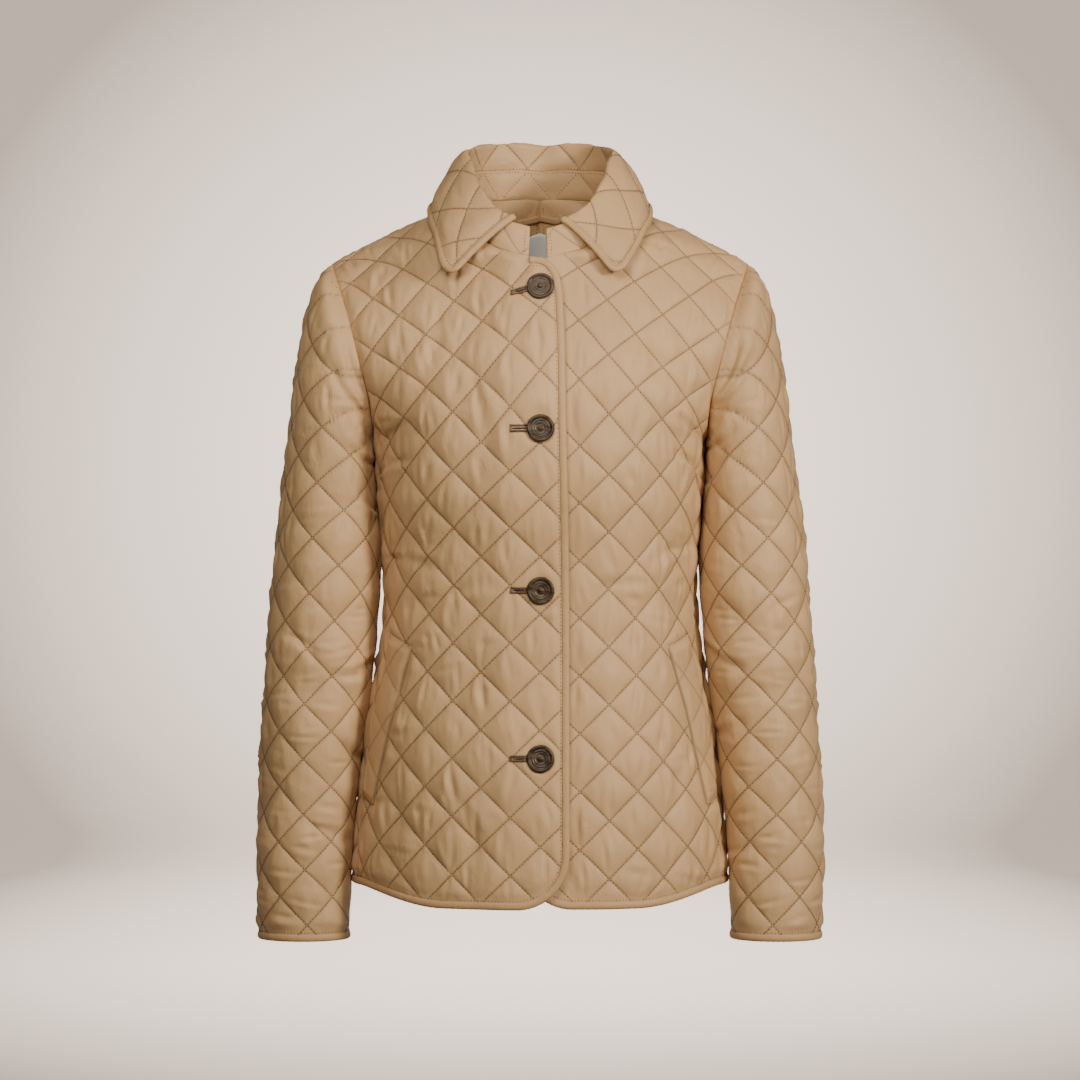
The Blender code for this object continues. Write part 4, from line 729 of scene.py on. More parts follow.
def sleeve_line(t: float) -> tuple[Array, Array]:
    """Sleeve section and the distances of its points from the line over the arm."""
    points = smooth_between(SLEEVE_KEYS, SLEEVE_LOOPS, SLEEVE_RATES, SLEEVE_RATES, t)
    along = lengths_along(points)
    return points, along - np.interp(math.pi, TURNS, along)


def sleeve_station(t: float, turn: Array | float) -> Array:
    """Distances along a sleeve section at turns."""
    return np.interp(turn, TURNS, sleeve_line(t)[1])


def sleeve_ends(t: float) -> tuple[float, float]:
    """Distances at which a sleeve section starts and ends at its seam."""
    return float(sleeve_station(t, 0.0)), float(sleeve_station(t, FULL_TURN))


def hem_level(s: Array | float) -> Array:
    """Level of the front hem."""
    return HEM_LOW - GIRTHS[0].height + HEM_RISE * ease((s - HEM_FLAT) / HEM_RUN)


def back_hem_level(s: Array | float) -> Array:
    """Level of the back hem."""
    rise = HEM_BACK_RISE * ease((np.abs(s) - HEM_BACK_FLAT) / HEM_BACK_RUN)
    return HEM_BACK_LOW - GIRTHS[0].height + rise


def seam_station(ends: Ends, level_at: Callable) -> float:
    """Distance at which a hem meets the side seam."""
    s = GIRTHS[0].half_width
    for _ in range(SOLVE_STEPS):
        s = ends(float(level_at(s)))[1]
    return s


def front_free_edge(side: str) -> Array:
    """Bound edge of a front from the collar round both corners to the side seam."""
    scale = EDGE_SCALE[side]
    t = FRONT_ROWS.neck_level(STAND_ENDS[side] - 1.2)
    upper = [(front_ends(t)[0], t)]
    upper += [(-reach * scale, FRONT_ROWS.level(height)) for height, reach in FRONT_EDGE]
    edge = upper[-1][0]
    middle_s, middle_t = edge + HEM_RADIUS, float(hem_level(0.0)) + HEM_RADIUS
    upper += [(edge, upper[-1][1] + (middle_t - upper[-1][1]) * k / 5.0) for k in range(1, 5)]
    turn = np.linspace(0.0, math.pi / 2.0, 17)
    corner = (middle_s - HEM_RADIUS * np.cos(turn), middle_t - HEM_RADIUS * np.sin(turn))
    corner = np.stack(corner, axis=1)
    s = np.linspace(middle_s, seam_station(front_ends, hem_level), 40)[1:]
    return np.concatenate((np.array(upper), corner, paired(s, hem_level(s))))


@dataclass
class Neckline:
    """Foot and top of the collar stand, by distance from the middle of the back."""

    rise: float = STAND_RISE
    lap: float = 0.4

    def __post_init__(self) -> None:
        """Trace the foot from the fronts' and the back's necklines."""
        halves = {}
        for side in ("right", "left"):
            chart = CHARTS[side]
            end = FRONT_ROWS.neck_level(STAND_ENDS[side])
            levels = np.linspace(FRONT_ROWS.top, end, 8)
            starts = np.array([front_ends(t)[0] for t in levels])
            halves[side] = chart.points(starts, levels)
        levels = []
        for low, high in zip(BACK_ROWS.keys[-4:-1], BACK_ROWS.keys[-3:]):
            levels += [low, (low + high) / 2.0]
        levels = np.array(levels + [BACK_ROWS.keys[-1]])
        back = CHARTS["back"].points(np.array([back_ends(t)[0] for t in levels]), levels)
        right = (halves["right"][::-1][:-1] * MIRROR, back[::-1][:-1] * MIRROR)
        parts = (*right, back, halves["left"][1:])
        self.feet = np.concatenate(parts) + np.array((0.0, 0.0, self.lap))
        along = lengths_along(self.feet)
        self.along = along - along[int(np.argmax(self.feet[:, 1]))]
        self.low, self.high = float(self.along[0]), float(self.along[-1])
        share = np.where(self.along < 0.0, self.along / self.low, self.along / self.high)
        lean = np.interp(share, [key for key, _ in LEANS], [value for _, value in LEANS])
        inward = unit(self.feet * np.array((-1.0, -1.0, 0.0)))
        self.tops = self.feet + inward * lean[:, None] + np.array((0.0, 0.0, self.rise))
        _, self.foot_rates = slopes_of(self.along, self.feet)
        _, self.top_rates = slopes_of(self.along, self.tops)

    def line(self, distance: float) -> tuple[Array, Array]:
        """Straight rise of the stand at a distance."""
        foot, top = (
            smooth_between(self.along, rows, rates, rates, distance)
            for rows, rates in ((self.feet, self.foot_rates), (self.tops, self.top_rates))
        )
        points = np.stack((foot, (foot + top) / 2.0, top))
        return points, lengths_along(points)

    def leaf_line(self) -> RowLine:
        """Sections of the turned-down collar, from the stand over the roll to the edge."""
        tables = {}
        for name, rows in (("right", LEAVES_RIGHT), ("left", LEAVES_LEFT)):
            keys = np.array([row.share for row in rows])
            values = np.array([(row.rise, row.inward, row.turn, *row.edge) for row in rows])
            tables[name] = (keys, values, slopes_of(keys, values)[1])

        def row_line(distance: float) -> tuple[Array, Array]:
            name = "right" if distance < 0.0 else "left"
            share = distance / (self.low if distance < 0.0 else self.high)
            keys, values, rates = tables[name]
            rise, inward, turn, *edge = smooth_between(keys, values, rates, rates, share)
            edge = np.array(edge) * MIRROR if name == "right" else np.array(edge)
            foot = self.line(distance)[0][-1]
            out = unit(np.array((edge[0] - foot[0], edge[1] - foot[1], 0.0)))
            up = np.array((0.0, 0.0, 1.0))
            roll = foot + up * rise - out * inward
            inner = np.stack((foot, foot + up * rise * LEAF_SPRING, roll, roll))
            above = edge + (roll - edge) * LEAF_DROP + out * LEAF_SWELL
            outer = np.stack((roll, roll + out * turn, above, edge))
            points = np.concatenate((curve_line(inner), curve_line(outer)[1:]))
            return points, lengths_along(points)
        return row_line


FRONT_SPANS = ((0.0, FRONT_ROWS.top), (-40.0, 290.0))
BACK_SPANS = ((0.0, BACK_ROWS.top), (-8.0, 320.0))
SLEEVE_SPANS = ((0.0, SLEEVE_LENGTH), (-260.0, 260.0))
CHARTS = {
    "right": Chart(lifted_front_line(LIFT), *FRONT_SPANS, 1.0, front_ends, FRONT_TROUGHS),
    "left": Chart(lifted_front_line(-LIFT), *FRONT_SPANS, 1.0, front_ends, FRONT_TROUGHS[:2]),
    "back": Chart(back_line, *BACK_SPANS, -1.0, back_ends, BACK_TROUGHS),
    "sleeve": Chart(sleeve_line, *SLEEVE_SPANS, -1.0, sleeve_ends, SLEEVE_TROUGHS),
}


@dataclass(frozen=True)
class Lattice:
    """Two families of slanting stitched lines, crossing at a known place."""

    s: float
    t: float

    def shares(self, s: Array, t: Array) -> tuple[Array, Array]:
        """Numbers of the lines at places; whole numbers lie on lines."""
        across, upward = (s - self.s) / QUILT_ACROSS, (t - self.t) / QUILT_UP
        return (across + upward) / 2.0, (across - upward) / 2.0

    def places(self, a: Array, b: Array) -> tuple[Array, Array]:
        """Places at numbers of the lines."""
        return self.s + QUILT_ACROSS * (a + b), self.t + QUILT_UP * (a - b)

    def range_of(self, line: Array) -> tuple[Array, Array]:
        """Lowest and highest line numbers round an outline."""
        pair = np.stack(self.shares(line[:, 0], line[:, 1]))
        return np.floor(pair.min(axis=1)), np.ceil(pair.max(axis=1))


class Grid:
    """Values at even stations and levels, with straight lines between them."""

    def __init__(self, stations: Array, levels: Array, values: Sequence[Array]) -> None:
        self.stations, self.levels, self.values = stations, levels, np.array(values)

    def at(self, s: Array, t: Array) -> Array:
        """Values at places."""
        column = (s - self.stations[0]) / (self.stations[1] - self.stations[0])
        row = (t - self.levels[0]) / (self.levels[1] - self.levels[0])
        column = np.clip(column, 0.0, len(self.stations) - 1.001)
        row = np.clip(row, 0.0, len(self.levels) - 1.001)
        j, i = column.astype(int), row.astype(int)
        x, y = column - j, row - i
        lower = self.values[i, j] * (1.0 - x) + self.values[i, j + 1] * x
        upper = self.values[i + 1, j] * (1.0 - x) + self.values[i + 1, j + 1] * x
        return lower * (1.0 - y) + upper * y


HALF_STEPS = ((0.5, 0.0), (0.0, 0.5))


class SleeveLattice(Lattice):
    """Quilting of a sleeve, laid level round the arm although its rows slant."""

    def __init__(self) -> None:
        super().__init__(*SLEEVE_CROSSING)
        levels = np.linspace(0.0, SLEEVE_LENGTH, 160)
        stations, rounds = np.linspace(-270.0, 270.0, 271), np.linspace(-190.0, 190.0, 191)
        tables = ([], [], [], [])
        for t in levels:
            points, along = sleeve_line(float(t))
            around = lengths_along(points * np.array((1.0, 1.0, 0.0)))
            around = around - np.interp(0.0, along, around)
            past = stations - np.clip(stations, along[0], along[-1])
            tables[0].append(np.interp(stations, along, around) + past)
            tables[1].append(np.interp(stations, along, points[:, 2]))
            past = rounds - np.clip(rounds, around[0], around[-1])
            tables[2].append(np.interp(rounds, around, along) + past)
            tables[3].append(np.interp(rounds, around, points[:, 2]))
        grids = [Grid((stations, rounds)[k // 2], levels, table) for k, table in enumerate(tables)]
        object.__setattr__(self, "grids", grids)

    def shares(self, s: Array, t: Array) -> tuple[Array, Array]:
        """Numbers of the lines at places."""
        across = (self.grids[0].at(s, t) - self.s) / SLEEVE_SQUARE[0]
        upward = (self.t - self.grids[1].at(s, t)) / SLEEVE_SQUARE[1]
        return (across + upward) / 2.0, (across - upward) / 2.0

    def places(self, a: Array, b: Array) -> tuple[Array, Array]:
        """Places at numbers of the lines."""
        around = self.s + SLEEVE_SQUARE[0] * (a + b)
        height = self.t - SLEEVE_SQUARE[1] * (a - b)
        low, high = np.zeros(a.shape), np.full(a.shape, SLEEVE_LENGTH)
        for _ in range(PLACE_STEPS):
            middle = (low + high) / 2.0
            above = self.grids[3].at(around, middle) > height
            low, high = np.where(above, middle, low), np.where(above, high, middle)
        s, t = self.grids[2].at(around, low), low
        for _ in range(3):
            off = around - self.grids[0].at(s, t), height - self.grids[1].at(s, t)
            slopes = [
                tuple(grid.at(s + x, t + y) - grid.at(s - x, t - y) for x, y in HALF_STEPS)
                for grid in self.grids[:2]
            ]
            area = slopes[0][0] * slopes[1][1] - slopes[0][1] * slopes[1][0]
            area = np.where(np.abs(area) < 0.05, -1.0, area)
            ds = (off[0] * slopes[1][1] - off[1] * slopes[0][1]) / area
            dt = (off[1] * slopes[0][0] - off[0] * slopes[1][0]) / area
            s, t = s + np.clip(ds, -2.0, 2.0), t + np.clip(dt, -2.0, 2.0)
        return s, t


@dataclass(frozen=True)
class Padding:
    """How the cloth of a panel puffs, creases and puckers between its stitches.

    Heights are in millimetres; `outer` is the rise of a square on the outside, `inner` on the
    inside, and `calm` the distance over which the waves of the cloth fade out at an edge.
    """

    outer: float = 3.7
    inner: float = 1.2
    crease: float = 2.3
    level: float = 0.15
    pinch: float = 0.26
    gather: float = 0.3
    wave: float = 1.2
    calm: float = 16.0
    sink: float = 0.5
    seed: int = 1


CUTS_OUTER = np.array((
    0.0, 0.02, 0.05, 0.09, 0.145, 0.21, 0.285, 0.37, 0.46, 0.54, 0.63, 0.715, 0.79, 0.855, 0.91,
    0.95, 0.98,
))
CUTS_INNER = np.array((0.0, 0.05, 0.16, 0.33, 0.5, 0.67, 0.84, 0.95))


# Relief: lengths of its random waves, shape of the domes and of their creases, creases left on
# the inside, pitch of the ripples along stitched lines and of those along edges, how far a
# binding covers the cloth, distance over which relief comes back from an edge, and half width
# of the groove of a seam.
WAVE_LENGTHS = (75.0, 170.0, 38.0, 24.0)
DOME_POWER = 0.6
CREASE_POWER = 0.35
INNER_CREASES = 0.4
RIPPLE_PITCH = 6.4
GATHER_PITCH = 9.5
BOUND_REACH = 5.5
EDGE_FADE = 9.0
GROOVE = 2.2

# A tube's head: steps of its extra points along and down, how deep they go, and the level below
# which the stitched lines are kept as edges of triangles.
HEAD_STEPS = (2.1, 1.7)
HEAD_DEPTH = 62.0
LINES_FROM = 26.0

PADDINGS = {
    "front_right": Padding(seed=2),
    "front_left": Padding(seed=3),
    "back_right": Padding(seed=5),
    "back_left": Padding(seed=6),
    "sleeve_left": Padding(outer=3.4, crease=1.8, level=0.45, pinch=0.2, gather=0.2, seed=7),
    "sleeve_right": Padding(outer=3.4, crease=1.8, level=0.45, pinch=0.2, gather=0.2, seed=8),
    "collar_stand": Padding(outer=1.4, inner=1.6, crease=0.5, wave=0.5, sink=0.3, seed=11),
    "collar_fall": Padding(outer=2.1, inner=0.8, crease=0.55, wave=0.6, sink=0.2, seed=13),
}


class Run(NamedTuple):
    """Stretch of a panel's outline."""

    line: Array
    kind: Seam


class Seat(NamedTuple):
    """Closed line on a panel within which its cloth is pressed flat, and whether inside or out."""

    line: Array
    inner: bool = False


def inside(ring: Array, s: Array, t: Array) -> Array:
    """Whether places are within a closed line."""
    hit = np.zeros(s.shape, bool)
    before = np.roll(ring, 1, axis=0)
    for (s0, t0), (s1, t1) in zip(before, ring):
        if t0 == t1:
            continue
        spans = (t0 > t) != (t1 > t)
        hit ^= spans & (s < (s1 - s0) * (t - t0) / (t1 - t0) + s0)
    return hit


class Nearest:
    """Distance of places from a set of points laid close together."""

    def __init__(self, points: Array) -> None:
        self.tree = KDTree(max(len(points), 1))
        for index, (s, t) in enumerate(points):
            self.tree.insert((s, t, 0.0), index)
        self.tree.balance()
        self.empty = len(points) == 0

    def at(self, s: Array, t: Array) -> Array:
        """Distances of places."""
        if self.empty:
            return np.full(s.shape, 1e3)
        flat = [self.tree.find((a, b, 0.0))[2] for a, b in zip(s.ravel(), t.ravel())]
        return np.array(flat).reshape(s.shape)


class Mesher:
    """Writes points in millimetres as mesh objects riding on the frame."""

    def __init__(self) -> None:
        self.count = 0

    def write(
        self,
        name: str,
        points: Array,
        faces: Sequence[Sequence[int]] | Array,
        material: Material,
        slot: str,
        mirror: bool = False,
        flat: Array | None = None,
        values: Array | None = None,
    ) -> Piece:
        """One smooth mesh object.

        Args:
            name: piece's name.
            points: places in millimetres.
            faces: corners of each face.
            material: its finish.
            slot: material slot in the record; not used.
            mirror: whether it is carried over to the wearer's right.
            flat: place of each point in the cloth, in millimetres.
            values: share of painted shade at each point, strongest on a stitched line, from 0 to 1.

        Returns:
            The object, riding on the garment's body.
        """
        places = np.array(points, float)
        if mirror:
            places = places * MIRROR
        mesh = bpy.data.meshes.new(name)
        rows = faces.tolist() if isinstance(faces, np.ndarray) else [list(face) for face in faces]
        mesh.from_pydata((places * MM).tolist(), [], rows)
        if self.inside_out(mesh):
            mesh.flip_normals()
        mesh.update()
        mesh.shade_smooth()
        corners = np.empty(len(mesh.loops), np.int32)
        mesh.loops.foreach_get("vertex_index", corners)
        if flat is not None:
            layer = mesh.uv_layers.new(name="cloth")
            layer.data.foreach_set("uv", (np.asarray(flat)[corners] * MM).ravel())
        if values is not None:
            # Painted shade along the stitched lines, by which the cloth's finish darkens its
            # colour.
            attribute = mesh.attributes.new("stitched", "FLOAT", "POINT")
            attribute.data.foreach_set("value", np.asarray(values, np.float32))
        mesh.materials.append(material)
        piece = bpy.data.objects.new(name, mesh)
        bpy.context.scene.collection.objects.link(piece)
        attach(piece, "root")
        triangles = int(sum(len(face) - 2 for face in rows))
        self.count += triangles
        LOG.info("%s: %d triangles", name, triangles)
        return piece

    @staticmethod
    def inside_out(mesh: bpy.types.Mesh) -> bool:
        """Whether the faces of a closed mesh look inwards."""
        mesh.calc_loop_triangles()
        corners = np.empty(len(mesh.loop_triangles) * 3, np.int32)
        mesh.loop_triangles.foreach_get("vertices", corners)
        places = np.empty(len(mesh.vertices) * 3, np.float32)
        mesh.vertices.foreach_get("co", places)
        a, b, c = np.moveaxis(places.reshape(-1, 3)[corners.reshape(-1, 3)], 1, 0)
        return float(np.sum(dots(a.astype(float), np.cross(b, c)))) < 0.0


MESHER = Mesher()


@dataclass(frozen=True)
class Fold:
    """Crease drawn across a panel, seen level from the front or the back of the jacket.

    `start` and `end` are (x, z) in millimetres on the jacket's left half; a ridge runs along one
    side of the trough, on the side named by the sign of `ridge`.
    """

    start: tuple[float, float]
    end: tuple[float, float]
    width: float
    depth: float
    ridge: float = 0.6
    behind: bool = False

    def dip(self, points: Array, normals: Array) -> Array:
        """Depth of the crease at places of a surface."""
        start, run = np.array(self.start), np.subtract(self.end, self.start)
        length = math.hypot(*run)
        ahead = ((points[..., (0, 2)] - start) @ run) / length**2
        off = ((points[..., (0, 2)] - start) @ np.array((-run[1], run[0]))) / length
        off = off + 0.09 * length * np.sin(math.pi * ahead)
        width = self.width * (0.6 + 0.8 * np.clip(ahead, 0.0, 1.0))
        ends = ease(ahead / 0.22 + 0.5) * ease((1.0 - ahead) / 0.45 + 0.5)
        facing = ease((normals[..., 1] * (1.0 if self.behind else -1.0) + 0.1) / 0.3)
        beside = np.sign(self.ridge) * 1.9 * width
        trough = np.exp(-((off / width) ** 2))
        trough = trough - abs(self.ridge) * np.exp(-(((off - beside) / width) ** 2))
        return self.depth * trough * ends * facing


def folds(behind: bool, *rows: tuple[float, ...]) -> tuple[Fold, ...]:
    """Creases of one side from rows of both ends, width, depth and ridge."""
    return tuple(Fold(row[:2], row[2:4], *row[4:], behind=behind) for row in rows)


def stitch_shade(a: Array, b: Array) -> Array:
    """Painted shade in a stitched line's groove, from 0 to 1, at numbers of the lines."""
    gap = np.minimum(np.abs(a - np.round(a)), np.abs(b - np.round(b))) * SQUARE_SIDE
    return np.exp(-((gap / STITCH_SHADE_WIDTH) ** 2))


@dataclass
class Panel:
    """Quilted panel: two layers of cloth over a thin filling, closed round its edges.

    A `joined` panel is a tube whose second and fourth stretches of outline are one seam.
    """

    name: str
    chart: Chart | MirrorChart
    lattice: Lattice
    runs: list[Run]
    padding: Padding
    side: str = "left"
    seats: list[Seat] = field(default_factory=list)
    joined: bool = False
    wall: float = WALL
    press: Callable[[Array, Array], Array] | None = None
    shift: Callable[[Array, Array], Array] | None = None
    folds: Sequence[Fold] = ()

    def __post_init__(self) -> None:
        """Lay out the outline and its distances."""
        self.rim = np.concatenate([run.line[:-1] for run in self.runs])
        self.near = {}
        for kind in Seam:
            lines = [run.line for run in self.runs if run.kind is kind]
            self.near[kind] = Nearest(np.concatenate(lines) if lines else np.zeros((0, 2)))
        rings = [np.concatenate((seat.line, seat.line[:1])) for seat in self.seats]
        self.seat_near = [Nearest(resampled(ring, 1.5)) for ring in rings]
        seed = self.padding.seed * 10
        self.fields = [Waves(seed + k, length) for k, length in enumerate(WAVE_LENGTHS)]

    def edge_gaps(self, s: Array, t: Array) -> tuple[Array, Array]:
        """Distances of places from the sewn edges and from the bound and turned ones."""
        sewn, bound, turned = (self.near[kind].at(s, t) for kind in Seam)
        return sewn, np.minimum(bound, turned)

    def flatness(self, s: Array, t: Array, inner: bool) -> Array:
        """Share of the cloth's relief that is left at places near flat seats."""
        left = np.ones(s.shape)
        for seat, near in zip(self.seats, self.seat_near):
            if seat.inner != inner:
                continue
            far = ease(near.at(s, t) / 7.0)
            left *= np.where(inside(seat.line, s, t), 0.0, far)
        return left

    def creases(self, i: Array, j: Array, a: Array, b: Array) -> Array:
        """Soft upright folds within the squares, different in each."""
        total = np.zeros(a.shape)
        for k in range(4):
            middle_a = 0.25 + 0.5 * hashed(i, j, k + 1.0 + self.padding.seed)
            middle_b = 0.25 + 0.5 * hashed(i, j, k + 7.3 + self.padding.seed)
            ds = QUILT_ACROSS * ((a - i - middle_a) + (b - j - middle_b))
            dt = QUILT_UP * ((a - i - middle_a) - (b - j - middle_b))
            lean = 0.5 * (hashed(i, j, k + 11.0) - 0.5)
            width = 1.7 + 2.3 * hashed(i, j, k + 17.0)
            length = 7.0 + 9.0 * hashed(i, j, k + 23.0)
            depth = 0.15 + 0.85 * hashed(i, j, k + 29.0) ** 1.6
            level = hashed(i, j, k + 41.0) < self.padding.level
            off, run = np.where(level, dt - lean * ds, ds - lean * dt), np.where(level, ds, dt)
            for share, beside in ((-1.0, 0.0), (0.55, 1.7)):
                bump = np.exp(-(((off - beside * width) / width) ** 2) - (run / length) ** 2)
                total += share * depth * bump
        return total

    def relief(self, s: Array, t: Array, inner: bool = False) -> Array:
        """Rise of the cloth over its stitched surface at places."""
        pad = self.padding
        a, b = self.lattice.shares(s, t)
        i, j = np.floor(a), np.floor(b)
        wave_a = np.abs(np.sin(math.pi * a))
        wave_b = np.abs(np.sin(math.pi * b))
        dome = (wave_a * wave_b) ** DOME_POWER
        own = 0.82 + 0.36 * hashed(i, j, pad.seed + (3.0 if inner else 0.0))
        tall = pad.inner if inner else pad.outer
        free = self.flatness(s, t, inner)
        pressed = np.ones(s.shape) if self.press is None else self.press(s, t)
        total = tall * dome * own * pressed
        crease = pad.crease * (INNER_CREASES if inner else 1.0) * self.creases(i, j, a, b)
        total += crease * (wave_a * wave_b) ** CREASE_POWER * pressed
        for own_share, other_share, field_of in ((a, b, self.fields[2]), (b, a, self.fields[3])):
            gap = np.abs(own_share - np.round(own_share)) * SQUARE_SIDE
            run = other_share * SQUARE_SIDE
            ripple = np.sin(FULL_TURN * run / RIPPLE_PITCH + 2.6 * field_of.at(s, t))
            total += pad.pinch * ripple * np.exp(-gap / 5.0) * ease(gap / 1.2)
        sewn, bound = self.edge_gaps(s, t)
        total *= ease(sewn / EDGE_FADE) * ease((bound - BOUND_REACH) / EDGE_FADE) * free
        edge = np.minimum(sewn, bound)
        gather = np.sin(FULL_TURN * (s + t) / GATHER_PITCH + 4.0 * self.fields[2].at(s, t))
        fade = np.exp(-np.maximum(edge - 2.0, 0.0) / 5.0)
        total += pad.gather * gather * fade * ease(edge / 3.0) * free
        total -= pad.sink * np.exp(-((sewn / GROOVE) ** 2))
        return total

    def sway(self, s: Array, t: Array) -> Array:
        """Slow waves of the whole wall, fading out at its edges."""
        sewn, bound = self.edge_gaps(s, t)
        slow = 0.6 * self.fields[0].at(s, t) + self.fields[1].at(s, t)
        slow *= self.padding.wave * ease(sewn / self.padding.calm) * ease(bound / self.padding.calm)
        if self.folds:
            points, normals = self.chart.points(s, t), self.chart.normals(s, t)
            free = ease((sewn - 1.0) / 8.0) * ease((bound - 4.0) / 10.0)
            slow = slow - sum(fold.dip(points, normals) for fold in self.folds) * free
        for seat, near in zip(self.seats, self.seat_near):
            if seat.inner:
                slow *= np.where(inside(seat.line, s, t), 0.0, ease(near.at(s, t) / 30.0))
        return slow

    def places(self, s: Array, t: Array, rise: Array, sunk: float = 0.0) -> Array:
        """Places in space above the surface."""
        normals = self.chart.normals(s, t)
        places = self.chart.points(s, t) + normals * (rise + self.sway(s, t) - sunk)[..., None]
        if self.shift is not None:
            places = places + self.shift(s, t)
        return places

    def outer(self, s: Array, t: Array) -> Array:
        """Places on the outside of the cloth."""
        return self.places(s, t, self.relief(s, t))

    def face(self, s: Array, t: Array, inner: bool = False) -> Array:
        """Places on one side of the cloth."""
        if inner:
            return self.places(s, t, -self.relief(s, t, True), self.wall)
        return self.outer(s, t)

    def layout(self, cuts: Array) -> tuple[Array, Array]:
        """Flat triangles of the panel.

        Args:
            cuts: shares of a square at which points are laid.

        Returns:
            Places, the outline's first, and triangles.
        """
        low, high = self.lattice.range_of(self.rim)
        numbers = [(np.arange(low[k], high[k])[:, None] + cuts[None, :]).ravel() for k in range(2)]
        a, b = np.meshgrid(*numbers, indexing="ij")
        s, t = self.lattice.places(a.ravel(), b.ravel())
        within = inside(self.rim, s, t)
        s, t = s[within], t[within]
        if self.joined:
            along, down = HEAD_STEPS
            stations = np.arange(self.rim[:, 0].min(), self.rim[:, 0].max(), along)
            more = np.meshgrid(stations, np.arange(down, HEAD_DEPTH, down))
            more = np.stack([part.ravel() for part in more], axis=1)
            more = more[Nearest(paired(s, t)).at(more[:, 0], more[:, 1]) > 1.0]
            more = more[inside(self.rim, more[:, 0], more[:, 1])]
            s, t = np.concatenate((s, more[:, 0])), np.concatenate((t, more[:, 1]))
        kept = Nearest(self.rim).at(s, t) > 1.1
        flat = np.concatenate((self.rim, paired(s[kept], t[kept])))
        vectors = [Vector(pair) for pair in flat.tolist()]
        rim = list(range(len(self.rim)))
        lines = self.sewn_edges(flat, within, kept, a.shape, len(cuts)) if self.joined else []
        _, _, faces, origins, _, _ = delaunay_2d_cdt(vectors, lines, [rim], 1, 1e-5)
        first = np.array([found[0] for found in origins])
        return flat, first[np.array([face for face in faces if len(face) == 3])]

    def sewn_edges(
        self, flat: Array, within: Array, kept: Array, shape: tuple[int, int], cuts: int
    ) -> list:
        """Pairs of neighbours along the stitched lines, below a tube's head.

        Args:
            flat: places, the outline's first.
            within: which points of the lattice lie in the outline.
            kept: which places inside it were kept.
            shape: numbers of points each way.
            cuts: points to a square.

        Returns:
            Pairs of places' numbers.
        """
        index = np.full(within.shape, -1)
        order = np.flatnonzero(within)
        stays = kept[:len(order)]
        index[order[stays]] = len(self.rim) + np.arange(int(stays.sum()))
        index = index.reshape(shape)
        pairs = np.concatenate((
            paired(index[::cuts, :-1].ravel(), index[::cuts, 1:].ravel()),
            paired(index[:-1, ::cuts].ravel(), index[1:, ::cuts].ravel()),
        ))
        pairs = pairs[(pairs >= 0).all(axis=1)]
        ends = flat[pairs]
        near = np.hypot(*(ends[:, 1] - ends[:, 0]).T) < 8.0
        below_head = ends[..., 1].min(axis=1) > LINES_FROM
        return pairs[near & below_head].tolist()

    def build(self, material: Material) -> Piece:
        """Mesh of the panel."""
        flat, faces = self.layout(CUTS_OUTER)
        inner_flat, inner_faces = self.layout(CUTS_INNER)
        outer = self.outer(*flat.T)
        inner = self.face(*inner_flat.T, inner=True)
        rim = np.arange(len(self.rim))
        after = np.roll(rim, -1)
        middle = (outer[rim] + inner[rim]) / 2.0
        count, middle_first = len(flat), len(flat) + len(inner_flat)
        if not self.joined:
            _, out, _ = edge_frames(self.chart, np.concatenate((self.rim, self.rim[:1])))
            middle = middle + out[:-1] * 0.5
        joins = np.arange(middle_first + len(rim))
        if self.joined:
            joins = self.join(joins, count, middle_first)
        bridge = []
        for upper, lower in ((rim, rim + middle_first), (rim + middle_first, rim + count)):
            upper_after, lower_after = upper[after], lower[after]
            bridge.append(np.stack((upper_after, upper, lower), axis=1))
            bridge.append(np.stack((upper_after, lower, lower_after), axis=1))
        if self.joined:
            kept = self.open_rim()
            bridge = [part[kept] for part in bridge]
        triangles = np.concatenate([faces, inner_faces[:, ::-1] + count, *bridge])
        triangles = joins[triangles]
        points = np.concatenate((outer, inner, middle))
        a, b = self.lattice.shares(*np.concatenate((flat, inner_flat, self.rim)).T)
        places = paired(QUILT_ACROSS * (a + b), QUILT_UP * (a - b))
        # Painted shade in the stitched lines' grooves, on the outside of the cloth only.
        values = np.zeros(len(points))
        values[:count] = stitch_shade(a[:count], b[:count])
        used = np.unique(triangles)
        fresh = np.full(len(points), -1)
        fresh[used] = np.arange(len(used))
        piece = MESHER.write(
            self.name, points[used], fresh[triangles], material, "quilted_cloth",
            self.side == "right", places[used], values[used],
        )
        return piece

    def join(self, joins: Array, count: int, middle_first: int) -> Array:
        """Pair the points of a closed tube's two seam edges."""
        lengths = [len(run.line) - 1 for run in self.runs]
        first = lengths[0]
        for k in range(lengths[1] + 1):
            far = first + k
            near = (len(self.rim) - k) % len(self.rim)
            for shift in (0, count, middle_first):
                joins[far + shift] = near + shift
        return joins

    def open_rim(self) -> Array:
        """Stretches of a tube's outline that stay open: its two ends."""
        lengths = [len(run.line) - 1 for run in self.runs]
        kept = np.zeros(len(self.rim), bool)
        kept[:lengths[0]] = True
        kept[lengths[0] + lengths[1]:lengths[0] + lengths[1] + lengths[2]] = True
        return kept


# Threads: how far the middles of the quilting's stand over the cloth and the ends of all sink;
# how far from its middle a thread's direction is taken, as a distance and as a share of a
# square; and how far the rows beside bindings are lifted.
QUILT_LIFT = 0.5
THREAD_DIP = 0.15
THREAD_REACH = 0.6
THREAD_SHARE = 0.014
EDGE_LIFT = 0.1


